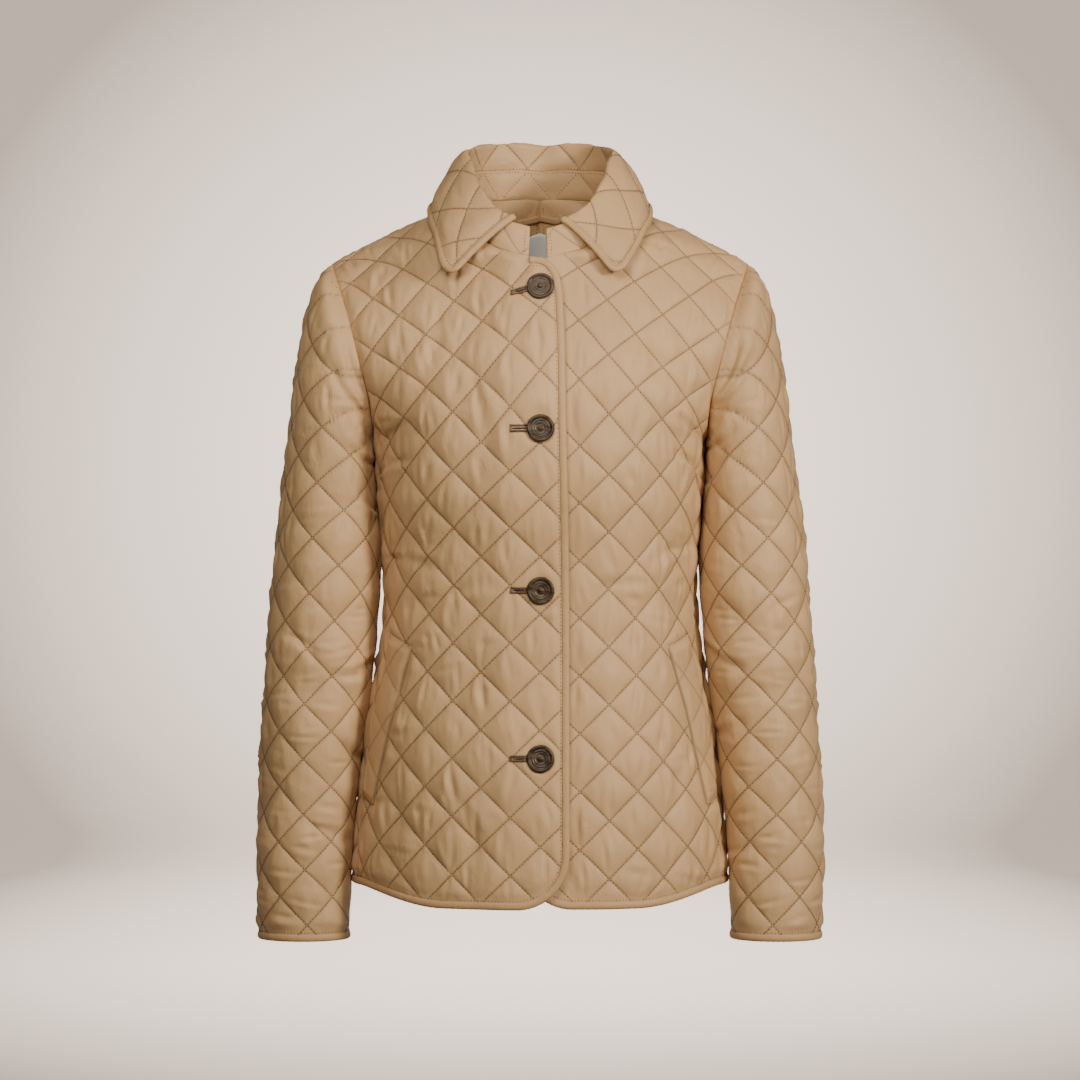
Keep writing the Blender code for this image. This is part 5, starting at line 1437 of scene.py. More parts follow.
@dataclass
class Stitches:
    """Rows of short threads lying in the cloth; each has its length, width and height."""

    name: str
    pitch: float = 3.2
    length: float = 1.5
    width: float = 1.2
    height: float = 0.8
    places: list[Array] = field(default_factory=list)
    along: list[Array] = field(default_factory=list)
    normals: list[Array] = field(default_factory=list)
    scales: list[Array] = field(default_factory=list)

    def row(self, panel: Panel, line: Array, lift: float = 0.12, inner: bool = False) -> None:
        """One row of stitches along a line (s, t), lifted off one side of a panel."""
        pitch = self.pitch
        line = resampled(line, 1.5)
        total = lengths_along(line)
        if total[-1] < pitch:
            return
        middles = np.arange(pitch / 2.0, total[-1], pitch)
        ends = [
            np.stack([np.interp(middles + reach, total, line[:, k]) for k in range(2)], axis=1)
            for reach in (-THREAD_REACH, THREAD_REACH)
        ]
        before, after = (panel.face(end[:, 0], end[:, 1], inner) for end in ends)
        middle = (before + after) / 2.0
        normals = panel.chart.normals(*((ends[0] + ends[1]) / 2.0).T) * (-1.0 if inner else 1.0)
        self.add(middle + normals * lift, after - before, normals)

    def add(self, places: Array, along: Array, normals: Array, scale: float | Array = 1.0) -> None:
        """Threads at given places."""
        self.places.append(places)
        self.along.append(unit(along))
        self.normals.append(unit(normals))
        self.scales.append(np.broadcast_to(scale, (len(places),)))

    def quilt(self, panel: Panel, gap: float = 3.0, inner: bool = False) -> None:
        """Rows along all the quilting lines on one side of a panel."""
        low, high = panel.lattice.range_of(panel.rim)
        near = Nearest(panel.rim)
        steps = int(math.hypot(QUILT_ACROSS, QUILT_UP) / self.pitch)
        share = (np.arange(steps) + 0.5) / steps
        for family in range(2):
            fixed, running = np.meshgrid(
                np.arange(low[family], high[family] + 1),
                (np.arange(low[1 - family], high[1 - family])[:, None] + share[None, :]).ravel(),
                indexing="ij",
            )
            numbers = (fixed.ravel(), running.ravel())
            s, t = panel.lattice.places(*(numbers if family == 0 else numbers[::-1]))
            kept = inside(panel.rim, s, t)
            kept[kept] = near.at(s[kept], t[kept]) > gap
            for seat in panel.seats:
                if seat.inner == inner:
                    kept[kept] = ~inside(seat.line, s[kept], t[kept])
            ends = []
            for way in (-THREAD_SHARE, THREAD_SHARE):
                pair = (numbers[0][kept], numbers[1][kept] + way)
                places = panel.lattice.places(*(pair if family == 0 else pair[::-1]))
                ends.append(panel.face(*places, inner))
            before, after = ends
            normals = panel.chart.normals(s[kept], t[kept]) * (-1.0 if inner else 1.0)
            size = 1.0 if family == 0 else 0.9
            self.add((before + after) / 2.0 + normals * QUILT_LIFT, after - before, normals, size)

    def build(self, material: Material, mirror: bool = False) -> Piece:
        """Mesh of all the threads."""
        middle, along = np.concatenate(self.places), np.concatenate(self.along)
        normals, scale = np.concatenate(self.normals), np.concatenate(self.scales)[:, None]
        across = unit(np.cross(normals, along))
        half = (self.length / 2.0, self.width / 2.0, self.height / 2.0)
        corners = np.stack((
            middle - along * half[0] * scale - normals * THREAD_DIP,
            middle - across * half[1],
            middle + normals * half[2],
            middle + across * half[1],
            middle - normals * half[2],
            middle + along * half[0] * scale - normals * THREAD_DIP,
        ), axis=1)
        shape = np.array((
            (0, 2, 1), (0, 3, 2), (0, 4, 3), (0, 1, 4), (5, 1, 2), (5, 2, 3), (5, 3, 4), (5, 4, 1),
        ))
        faces = (np.arange(len(middle))[:, None, None] * 6 + shape[None]).reshape(-1, 3)
        return MESHER.write(
            self.name, corners.reshape(-1, 3), faces, material, "quilted_cloth", mirror
        )


# Bindings: how far their folded layers swell, and the thickness of a layer.
BIND_BULGE = 0.55
BIND_THICK = 0.75


@dataclass
class Strip:
    """Strip of one section swept along a line; it puckers by its ripple."""

    name: str
    section: Array
    closed: bool = False
    ripple: float = 0.12
    flat_width: float = 17.0

    def build(
        self,
        frames: tuple[Array, Array, Array],
        material: Material,
        mirror: bool = False,
    ) -> Piece:
        """Mesh of the strip.

        Args:
            frames: places, directions out of the panel and outward normals along it.
            material: its finish.
            mirror: whether it is carried over to the wearer's right.

        Returns:
            The strip.
        """
        places, out, normals = frames
        count, size = len(places), len(self.section)
        along = lengths_along(places)
        waves = Waves(len(self.name) * 7 + 3, 21.0)
        pucker = np.sin(FULL_TURN * along / 5.6 + 3.0 * waves.at(along, along * 0.3))
        if self.closed:
            pucker *= ease(along / 12.0) * ease((along[-1] - along) / 12.0)
        rise = self.section[:, 1][None, :]
        inward = np.clip(-self.section[:, 0] / 6.5, 0.0, 1.0)[None, :]
        way = np.where(rise > -WALL / 2.0, 1.0, -1.0)
        rise = rise + self.ripple * pucker[:, None] * inward * way
        reach = self.section[:, 0][None, :] + 0.10 * pucker[:, None] * (1.0 - inward)
        points = places[:, None] + out[:, None] * reach[..., None]
        points = points + normals[:, None] * rise[..., None]
        around = lengths_along(self.section)
        flat = np.stack(np.broadcast_arrays(along[:, None], around[None, :]), axis=2)
        rings = count if self.closed else count - 1
        start = np.arange(rings)[:, None] * size + np.arange(size)[None, :]
        turned = np.arange(rings)[:, None] * size + (np.arange(size)[None, :] + 1) % size
        step = ((np.arange(rings) + 1) % count - np.arange(rings))[:, None] * size
        faces = np.stack((start, turned, turned + step, start + step), axis=2)
        faces = faces.reshape(-1, 4).tolist()
        if not self.closed:
            faces.append(list(range(size))[::-1])
            faces.append([(count - 1) * size + k for k in range(size)])
        places_flat = flat.reshape(-1, 2)
        piece = MESHER.write(
            self.name, points.reshape(-1, 3), faces, material, "binding_cloth", mirror, places_flat
        )
        return piece


def wrap_section(width: float, wall: float) -> Array:
    """Section of a binding folded over an edge: outside, round the edge, inside and back."""
    face, middle, edge = 0.95, 0.95 + BIND_BULGE, wall * 0.5
    outside = [
        (-width, 0.55), (-width + 0.5, face), (-width * 0.62, middle), (-width * 0.3, middle),
        (-0.9, face), (-0.15, 0.2), (0.15, -edge), (-0.15, -wall - 0.2), (-0.9, -wall - face),
        (-width * 0.3, -wall - middle), (-width * 0.62, -wall - middle),
        (-width + 0.5, -wall - face), (-width, -wall - 0.55),
    ]
    within = [
        (-width + 0.3, -wall - 0.25), (-width * 0.5, -wall - middle + BIND_THICK),
        (-1.6, -wall - 0.3), (-1.0, -edge), (-1.6, 0.3), (-width * 0.5, middle - BIND_THICK),
        (-width + 0.3, 0.25),
    ]
    return np.array(outside + within)


class Nodes:
    """Shader nodes of a new material, made and joined in short calls."""

    def __init__(self, name: str) -> None:
        self.material = bpy.data.materials.new(name)
        self.material.use_nodes = True
        self.tree = self.material.node_tree

    def join(self, node: bpy.types.Node, inputs: dict) -> None:
        """Give a node's inputs their values, or join them to outputs of others."""
        for name, value in inputs.items():
            if isinstance(value, Socket):
                self.tree.links.new(value, node.inputs[name])
            else:
                node.inputs[name].default_value = value

    def add(self, kind: str, output: str, inputs: dict, **settings) -> Socket:
        """Make a node.

        Args:
            kind: its type, without the common start of the name.
            output: name of the output that is asked of it.
            inputs: values or outputs of other nodes, by name or number.
            settings: its own properties.

        Returns:
            The output.
        """
        node = self.tree.nodes.new("ShaderNode" + kind)
        for name, value in settings.items():
            setattr(node, name, value)
        self.join(node, inputs)
        return node.outputs[output]

    def math(self, operation: str, *values: float | Socket) -> Socket:
        """Sum, product or the like of values."""
        return self.add("Math", "Value", dict(enumerate(values)), operation=operation)

    def ramp(self, share: Socket, stops: Sequence[tuple]) -> Socket:
        """Colour that runs between two stops, each a position and a colour."""
        colour = self.add("ValToRGB", "Color", {"Fac": share})
        for element, (position, tone) in zip(colour.node.color_ramp.elements, stops):
            element.position = position
            element.color = (*tone, 1.0)
        return colour

    def finish(self, inputs: dict) -> Material:
        """Join the shader's inputs and hand over the material."""
        self.join(self.tree.nodes["Principled BSDF"], inputs)
        return self.material


@dataclass
class Finish:
    """Cloth finish: colour, sheen, weave, the cloth's fine crush and painted shade by stitched
    lines.
    """

    name: str
    colour: tuple[float, float, float]
    roughness: float = 0.52
    sheen: float = 0.06
    weave: float = 0.5
    # Share of the brightness left in the painted shade of a stitched line.
    shade: float = 0.6
    variation: float = 0.07
    thread_scale: float = 2300.0
    crush: float = 0.55
    crush_scale: float = 75.0

    def build(self) -> Material:
        """Material nodes of the finish."""
        nodes = Nodes(self.name)
        flat = nodes.add("UVMap", "UV", {}, uv_map="cloth")
        base = nodes.add(
            "VectorMath", "Vector", {0: self.colour, "Scale": self.tone(nodes)}, operation="SCALE"
        )
        return nodes.finish({
            "Base Color": base,
            "Roughness": self.roughness,
            "Sheen Weight": self.sheen,
            "Sheen Roughness": 0.45,
            "Sheen Tint": (1.0, 0.93, 0.84, 1.0),
            "Specular IOR Level": 0.28,
            "IOR": 1.45,
            "Normal": self.relief(nodes, flat),
        })

    def tone(self, nodes: Nodes) -> Socket:
        """Brightness: faint clouds, and painted shade darker along the stitched lines."""
        place = nodes.add("TexCoord", "Object", {})
        cloud = nodes.add("TexNoise", "Fac", {"Vector": place, "Scale": 9.0, "Detail": 3.0})
        spread_by = {
            "Value": cloud, "From Min": 0.3, "From Max": 0.7,
            "To Min": 1.0 - self.variation, "To Max": 1.0 + self.variation,
        }
        # Painted shade: the colour darkens to `shade` along the stitched lines and the welt's
        # mouth.
        line = nodes.add("Attribute", "Fac", {}, attribute_name="stitched")
        sunk = nodes.add("MapRange", "Result", {"Value": line, "To Min": 1.0, "To Max": self.shade})
        return nodes.math("MULTIPLY", nodes.add("MapRange", "Result", spread_by), sunk)

    def relief(self, nodes: Nodes, flat: Socket) -> Socket:
        """Normals of the weave with its slubs, over those of the crushed cloth."""
        fine = self.thread_scale
        warp = self.threads(nodes, flat, (fine, fine * 0.22, 1.0))
        weft = self.threads(nodes, flat, (fine * 0.25, fine, 1.0))
        slub = self.threads(nodes, flat, (320.0, 45.0, 1.0))
        total = nodes.math("MULTIPLY_ADD", slub, 1.6, nodes.math("ADD", warp, weft))
        crush = nodes.add("TexNoise", "Fac", {
            "Vector": self.stretched(nodes, flat, (1.0, 0.55, 1.0)), "Scale": self.crush_scale,
            "Detail": 3.5, "Roughness": 0.55, "Distortion": 0.5,
        })
        crumple = {"Strength": self.crush, "Distance": 0.0022, "Height": crush}
        return nodes.add("Bump", "Normal", {
            "Strength": self.weave, "Distance": 0.00012, "Height": total,
            "Normal": nodes.add("Bump", "Normal", crumple),
        })

    @staticmethod
    def stretched(
        nodes: Nodes, flat: Socket, scale: tuple[float, float, float]
    ) -> Socket:
        """The cloth's own places, scaled differently each way."""
        return nodes.add("Mapping", "Vector", {"Scale": scale, "Vector": flat})

    def threads(
        self, nodes: Nodes, flat: Socket, scale: tuple[float, float, float]
    ) -> Socket:
        """Noise drawn out along one direction of the weave."""
        place = self.stretched(nodes, flat, scale)
        return nodes.add("TexNoise", "Fac", {"Vector": place, "Scale": 1.0, "Detail": 1.0})


@dataclass(frozen=True)
class Horn:
    """Polished brown horn with cloudy streaks."""

    name: str = "horn"
    dark: tuple[float, float, float] = (0.013, 0.008, 0.004)
    light: tuple[float, float, float] = (0.105, 0.062, 0.030)

    def build(self) -> Material:
        """Material nodes of the finish."""
        nodes = Nodes(self.name)
        drawn = nodes.add("Mapping", "Vector", {
            "Scale": (90.0, 90.0, 260.0), "Rotation": (0.3, 0.7, 0.4),
            "Vector": nodes.add("TexCoord", "Object", {}),
        })
        streaks = {"Vector": drawn, "Scale": 1.0, "Detail": 4.0, "Distortion": 0.8}
        share = nodes.add("TexNoise", "Fac", streaks)
        return nodes.finish({
            "Base Color": nodes.ramp(share, ((0.36, self.dark), (0.68, self.light))),
            "Roughness": 0.38,
            "Specular IOR Level": 0.3,
            "Coat Weight": 0.05,
            "Coat Roughness": 0.12,
        })


@dataclass(frozen=True)
class Plain:
    """Even finish of one colour."""

    name: str
    colour: tuple[float, float, float]
    roughness: float = 0.7
    sheen: float = 0.0

    def build(self) -> Material:
        """Material nodes of the finish."""
        return Nodes(self.name).finish({
            "Base Color": (*self.colour, 1.0),
            "Roughness": self.roughness,
            "Sheen Weight": self.sheen,
        })


CLOTH_FINISH = Finish("quilted_satin_cotton", (0.54, 0.329, 0.152))
BINDING_FINISH = Finish("binding_satin_cotton", (0.49, 0.295, 0.136), variation=0.04)
THREAD_FINISH = Plain("quilting_thread", (0.11, 0.05, 0.019), 0.6, 0.1)
LABEL_FINISH = Finish("label_satin", (0.62, 0.60, 0.57), roughness=0.42, sheen=0.15, weave=0.3)
# Painted shade: a near-black finish for the sheets standing in the buttonholes' openings.
SLIT_SHADE_FINISH = Plain("buttonhole_slit_shade", (0.02, 0.013, 0.008), 0.9)


@dataclass
class Materials:
    """All the finishes, built once."""

    cloth: Material = field(default_factory=CLOTH_FINISH.build)
    binding: Material = field(default_factory=BINDING_FINISH.build)
    thread: Material = field(default_factory=THREAD_FINISH.build)
    horn: Material = field(default_factory=Horn().build)
    label: Material = field(default_factory=LABEL_FINISH.build)
    slit_shade: Material = field(default_factory=SLIT_SHADE_FINISH.build)


def seam_points(
    ends: Ends, low: float, high: float, end: int
) -> Array:
    """Places of the rows' starts (0) or ends (1) over a range of levels."""
    levels = np.linspace(low, high, max(2, round(abs(high - low) / STEP) + 1))
    return np.array([(ends(float(t))[end], float(t)) for t in levels])


def straight(start: tuple[float, float], stop: tuple[float, float]) -> Array:
    """Straight stretch of an outline in even steps."""
    return resampled(np.array((start, stop), float), STEP)


def body_runs(ends: Ends, rows: Rows, edge: Array, neck: Array) -> list[Run]:
    """Outline of a body panel: bound edge, side, armhole, shoulder, neckline and middle."""
    side = seam_points(ends, float(edge[-1, 1]), rows.armpit, 1)
    armhole = seam_points(ends, rows.armpit, rows.top, 1)
    sewn = (side, armhole, straight(armhole[-1], neck[0]), neck, straight(neck[-1], edge[0]))
    return [Run(edge, Seam.BOUND)] + [Run(line, Seam.SEWN) for line in sewn]


def bind(
    name: str,
    node: str,
    frames: tuple[Array, Array, Array],
    materials: Materials,
    mirror: bool = False,
    closed: bool = False,
) -> None:
    """Binding of a free edge of full thickness, in the place of a node."""
    strip = Strip(name, wrap_section(BIND_WIDTH, WALL), closed=closed)
    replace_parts(strip.build(frames, materials.binding, mirror), node)


def shoulder_share(rows: Rows, t: Array) -> Array:
    """Share of the puff left towards the top of a body panel."""
    return 0.5 + 0.5 * ease((rows.top - 6.0 - t) / 45.0)


def welt_place(down: Array, across: Array) -> tuple[Array, Array]:
    """Places of a front under its pocket welt, by shares of its length and width."""
    front = [a + (b - a) * down for a, b in zip(*WELT_FRONT)]
    rear = [a + (b - a) * down for a, b in zip(*WELT_REAR)]
    return tuple(a + (b - a) * across for a, b in zip(front, rear))


def button_place(height: float) -> tuple[float, float]:
    """Place of a button on the right front."""
    return -BUTTON_ACROSS, FRONT_ROWS.level(height)


def circle(s: float, t: float, radius: float) -> Array:
    """Closed ring of places."""
    turn = round_turns(32)
    return paired(s + radius * np.cos(turn), t + radius * np.sin(turn))


@dataclass
class Front:
    """One front: quilted panel, its binding and stitching, with the bars of the pocket."""

    side: str
    materials: Materials

    def build(self) -> Panel:
        """Build the front's pieces."""
        chart = CHARTS[self.side]
        free = smoothed(front_free_edge(self.side), STEP)
        edge = inset(chart, free, EDGE_INSET)
        edge[-1] = (front_ends(edge[-1][1])[1], edge[-1][1])
        end = FRONT_ROWS.neck_level(STAND_ENDS[self.side])
        neck = seam_points(front_ends, FRONT_ROWS.top, end, 0)
        runs = body_runs(front_ends, FRONT_ROWS, edge, neck)
        down = np.linspace(0.0, 1.0, 24)
        ring = [
            np.stack(welt_place(way, np.full(24, across)), axis=1)
            for way, across in ((down, 0.0), (down[::-1], 1.0))
        ]
        seats = [Seat(np.concatenate(ring))]
        if self.side == "right":
            rings = [circle(*button_place(height), BUTTON_SEAT) for height in BUTTON_HEIGHTS]
            seats += [Seat(ring) for ring in rings]
        panel = Panel(
            f"front_{self.side}_cloth", chart, Lattice(*CROSSINGS[self.side]), runs,
            PADDINGS[f"front_{self.side}"], self.side, seats, press=self.pressed,
            folds=FRONT_FOLDS[self.side],
        )
        piece = panel.build(self.materials.cloth)
        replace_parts(piece, f"front_{self.side}")
        bind(
            f"front_{self.side}_binding", f"binding_front_{self.side}", edge_frames(chart, free),
            self.materials, self.side == "right",
        )
        self.stitch(panel, free)
        return panel

    def pressed(self, s: Array, t: Array) -> Array:
        """Share of the puff left at the shoulder and where the left front is lapped."""
        left = shoulder_share(FRONT_ROWS, t)
        if self.side == "right":
            return left
        return left * (0.25 + 0.75 * ease((s - 26.0) / 12.0))

    def stitch(self, panel: Panel, free: Array) -> None:
        """Quilting stitches and the row beside the binding."""
        stitches = Stitches(f"front_{self.side}_stitches")
        stitches.quilt(panel, gap=8.5)
        stitches.row(panel, inset(panel.chart, free, BIND_WIDTH + ROW_GAP), lift=EDGE_LIFT)
        for share in (-0.015, 0.012, 0.988, 1.012):
            line = np.stack(welt_place(np.full(2, share), np.array((0.02, 1.0))), axis=1)
            stitches.row(panel, line, lift=0.9 if 0.0 < share < 1.0 else 0.3)
        stitches.build(self.materials.thread, self.side == "right")


@dataclass
class Back:
    """The back: two quilted halves joined up the middle, their binding and stitching."""

    materials: Materials

    def build(self) -> None:
        """Build the back's pieces."""
        reach = seam_station(back_ends, back_hem_level)
        s = np.linspace(0.0, reach, round(reach / STEP) + 1)
        hem = paired(s, back_hem_level(s))
        for side in ("right", "left"):
            self.half(side, hem)
        line = np.concatenate((hem[:0:-1] * np.array((-1.0, 1.0)), hem))
        frames = edge_frames(MirrorChart(CHARTS["back"]), line)
        bind("back_hem_binding", "binding_hem_back", frames, self.materials)

    def half(self, side: str, hem: Array) -> None:
        """One half of the back."""
        chart = CHARTS["back"]
        edge = hem + np.array((0.0, EDGE_INSET))
        edge[-1, 0] = back_ends(float(edge[-1, 1]))[1]
        neck = seam_points(back_ends, BACK_ROWS.top, float(BACK_ROWS.keys[-4]), 0)
        neck[-1, 0] = 0.0
        runs = body_runs(back_ends, BACK_ROWS, edge, neck)
        panel = Panel(
            f"back_{side}_cloth", chart, Lattice(*CROSSINGS["back"]), runs,
            PADDINGS[f"back_{side}"], side, [Seat(self.label_ring(), True)],
            press=lambda s, t: shoulder_share(BACK_ROWS, t), folds=BACK_FOLDS[side],
        )
        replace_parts(panel.build(self.materials.cloth), f"back_{side}")
        stitches = Stitches(f"back_{side}_stitches")
        stitches.quilt(panel, gap=3.0)
        stitches.row(panel, inset(chart, hem, BIND_WIDTH + ROW_GAP), lift=EDGE_LIFT)
        seam = straight((4.0, neck[-1, 1] - 4.0), (4.0, BACK_ROWS.level(LABEL_TOP)))
        stitches.row(panel, seam, inner=True)
        stitches.build(self.materials.thread, side == "right")

    @staticmethod
    def label_ring() -> Array:
        """Outline of half the label on the inside."""
        top, foot = BACK_ROWS.level(LABEL_TOP), BACK_ROWS.level(LABEL_FOOT)
        return np.array(((-1.0, foot), (LABEL_HALF, foot), (LABEL_HALF, top), (-1.0, top)))


# Creases of each piece: both ends as (x, z), width and depth, and -0.6 where the ridge runs along
# the other side of the trough. Those behind come last.
SLEEVE_FOLDS = {
    "left": folds(False,
        (151.0, -199.0, 194.0, -146.0, 3.4, 2.6),
        (153.0, -190.0, 183.0, -128.0, 2.8, 2.0, -0.6),
        (152.0, -232.0, 180.0, -212.0, 3.0, 1.8),
        (150.0, -268.0, 170.0, -232.0, 3.0, 2.0, -0.6),
        (151.0, -405.0, 184.0, -432.0, 4.0, 2.2),
        (232.0, -366.0, 203.0, -391.0, 4.0, 1.8),
        (153.0, -494.0, 190.0, -478.0, 4.2, 1.7),
        (168.0, -600.0, 200.0, -590.0, 4.0, 1.4, -0.6),
    ) + folds(True,
        (158.0, -205.0, 196.0, -158.0, 3.6, 2.4),
        (155.0, -250.0, 182.0, -228.0, 3.2, 1.9, -0.6),
        (160.0, -398.0, 206.0, -384.0, 4.2, 2.3),
        (164.0, -430.0, 203.0, -414.0, 4.0, 1.8, -0.6),
        (160.0, -540.0, 196.0, -524.0, 4.4, 1.5),
    ),
    "right": folds(False,
        (152.0, -204.0, 190.0, -158.0, 3.2, 2.5),
        (153.0, -188.0, 178.0, -124.0, 3.0, 1.8, -0.6),
        (150.0, -246.0, 181.0, -226.0, 3.2, 2.0),
        (151.0, -290.0, 172.0, -259.0, 3.2, 1.7, -0.6),
        (152.0, -420.0, 188.0, -440.0, 4.2, 2.1),
        (234.0, -400.0, 206.0, -418.0, 4.0, 1.7),
        (154.0, -520.0, 186.0, -501.0, 4.0, 1.8),
        (210.0, -575.0, 180.0, -592.0, 4.2, 1.4, -0.6),
    ) + folds(True,
        (157.0, -212.0, 193.0, -162.0, 3.4, 2.5),
        (156.0, -262.0, 186.0, -240.0, 3.2, 1.8, -0.6),
        (158.0, -410.0, 202.0, -392.0, 4.4, 2.2),
        (165.0, -446.0, 205.0, -432.0, 4.0, 1.7, -0.6),
        (162.0, -556.0, 199.0, -544.0, 4.4, 1.4),
    ),
}
FRONT_FOLDS = {
    "left": folds(False,
        (150.0, -259.0, 124.0, -234.0, 2.6, 2.4),
        (146.0, -222.0, 118.0, -199.0, 3.6, 1.6, -0.6),
        (88.0, -98.0, 124.0, -178.0, 6.5, 1.4),
        (52.0, -140.0, 62.0, -225.0, 6.0, 1.2, -0.6),
        (140.0, -318.0, 100.0, -334.0, 4.5, 1.6),
        (96.0, -352.0, 48.0, -362.0, 5.0, 1.3, -0.6),
        (128.0, -520.0, 122.0, -610.0, 7.5, 1.4),
        (40.0, -540.0, 32.0, -625.0, 7.0, 1.3, -0.6),
    ),
    "right": folds(False,
        (149.0, -254.0, 121.0, -240.0, 2.6, 2.4),
        (145.0, -228.0, 120.0, -206.0, 3.4, 1.5, -0.6),
        (92.0, -104.0, 118.0, -190.0, 6.5, 1.5),
        (60.0, -170.0, 52.0, -250.0, 6.0, 1.2, -0.6),
        (139.0, -330.0, 96.0, -341.0, 4.5, 1.6, -0.6),
        (84.0, -366.0, 44.0, -352.0, 5.0, 1.3),
        (132.0, -530.0, 138.0, -612.0, 7.5, 1.5),
        (70.0, -548.0, 62.0, -628.0, 7.0, 1.3, -0.6),
    ),
}
BACK_FOLDS = {
    "left": folds(True,
        (150.0, -230.0, 112.0, -196.0, 4.0, 1.9),
        (146.0, -262.0, 116.0, -238.0, 3.4, 1.6, -0.6),
        (70.0, -120.0, 112.0, -170.0, 6.5, 1.3),
        (130.0, -340.0, 60.0, -352.0, 5.0, 1.7),
        (40.0, -368.0, 92.0, -378.0, 5.0, 1.4, -0.6),
        (84.0, -510.0, 92.0, -610.0, 8.0, 1.6),
    ),
    "right": folds(True,
        (151.0, -238.0, 110.0, -208.0, 4.2, 1.8),
        (144.0, -270.0, 118.0, -250.0, 3.4, 1.5, -0.6),
        (74.0, -128.0, 108.0, -184.0, 6.5, 1.4),
        (126.0, -352.0, 54.0, -346.0, 5.0, 1.6, -0.6),
        (36.0, -384.0, 86.0, -372.0, 5.0, 1.3),
        (62.0, -524.0, 54.0, -616.0, 8.0, 1.5),
    ),
}
# How far a sleeve's inner side leans towards the body, by height.
SLEEVE_LEAN = np.array((
    (-662.0, 0.0), (-640.0, 1.6), (-592.0, 3.2), (-540.0, 3.4), (-470.0, 3.0), (-440.0, 2.4),
    (-424.0, 1.4), (-388.0, 0.8), (-351.0, 2.0), (-332.0, 3.6), (-305.0, 4.6), (-270.0, 3.8),
    (-245.0, 2.8), (-205.0, 1.0), (-180.0, 0.0),
)).T


@dataclass
class Sleeve:
    """One sleeve: quilted tube, the binding of its cuff and stitching."""

    side: str
    materials: Materials

    def build(self) -> None:
        """Build the sleeve's pieces."""
        chart = CHARTS["sleeve"]
        foot = SLEEVE_LENGTH - EDGE_INSET
        low, high = sleeve_ends(0.0)
        top = straight((low, 0.0), (high, 0.0))
        levels = np.linspace(0.0, foot, round(foot / STEP) + 1)
        near, far = (np.array([(sleeve_ends(t)[k], t) for t in levels]) for k in (0, 1))
        turns = np.linspace(FULL_TURN, 0.0, 120)
        cuff = paired(sleeve_station(foot, turns), np.full(120, foot))
        runs = [
            Run(top, Seam.SEWN), Run(far, Seam.SEWN),
            Run(cuff, Seam.BOUND), Run(near[::-1], Seam.SEWN),
        ]
        panel = Panel(
            f"sleeve_{self.side}_cloth", chart, SleeveLattice(), runs,
            PADDINGS[f"sleeve_{self.side}"], self.side, joined=True, press=self.pressed,
            shift=self.fit_armhole(top), folds=SLEEVE_FOLDS[self.side],
        )
        piece = panel.build(self.materials.cloth)
        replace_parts(piece, f"sleeve_{self.side}")
        self.bind_cuff(chart)
        stitches = Stitches(f"sleeve_{self.side}_stitches")
        stitches.quilt(panel, gap=3.0)
        level = SLEEVE_LENGTH - BIND_WIDTH - ROW_GAP
        ring = paired(sleeve_station(foot, turns), np.full(120, level))
        stitches.row(panel, ring[::-1], lift=EDGE_LIFT)
        stitches.build(self.materials.thread, self.side == "right")

    @staticmethod
    def pressed(s: Array, t: Array) -> Array:
        """Share of the puff left at the sleeve's head and where it lies against the body."""
        turned = np.clip(-CHARTS["sleeve"].normals(s, t)[..., 0], 0.0, 1.0)
        head = 0.5 + 0.5 * ease((t - 4.0) / 30.0)
        return (1.0 - 0.6 * ease((turned - 0.75) / 0.2)) * head

    @staticmethod
    def fit_armhole(top: Array) -> Callable[[Array, Array], Array]:
        """Way from the sleeve's head to the body's armhole, fading out down the sleeve."""
        chart = CHARTS["sleeve"]
        places = chart.points(top[:, 0], top[:, 1])
        rim = []
        for side, ends, rows in (("left", front_ends, FRONT_ROWS), ("back", back_ends, BACK_ROWS)):
            line = seam_points(ends, rows.armpit, rows.top, 1)
            rim.append(resampled(CHARTS[side].points(line[:, 0], line[:, 1]), 0.5))
        rim = np.concatenate(rim)
        gaps = []
        for place in places:
            off = rim - place
            gaps.append(off[int(np.argmin(dots(off, off)))])
        weights = np.hanning(17)[1:-1]
        weights /= weights.sum()
        gaps = np.pad(np.array(gaps), ((7, 7), (0, 0)), mode="edge")
        gaps = np.stack([np.convolve(gaps[:, k], weights, "valid") for k in range(3)], axis=1)

        def shift(s: Array, t: Array) -> Array:
            fade = 1.0 - ease(np.asarray(t) / 22.0)
            found = np.stack([np.interp(s, top[:, 0], gaps[:, k]) for k in range(3)], axis=-1)
            found = found * fade[..., None]
            turned = np.clip(-chart.normals(s, t)[..., 0], 0.0, 1.0) ** 1.3
            height = chart.points(s, t)[..., 2]
            found[..., 0] -= turned * np.interp(height, *SLEEVE_LEAN)
            return found
        return shift

    def bind_cuff(self, chart: Chart) -> None:
        """Binding of the cuff."""
        s = sleeve_station(SLEEVE_LENGTH, round_turns(112))
        places = chart.points(s, SLEEVE_LENGTH)
        down = unit(places - chart.points(s, SLEEVE_LENGTH - BIND_WIDTH))
        frames = (places, down, chart.normals(s, SLEEVE_LENGTH - 3.0))
        name, node = f"cuff_{self.side}_binding", f"binding_cuff_{self.side}"
        bind(name, node, frames, self.materials, self.side == "right", closed=True)


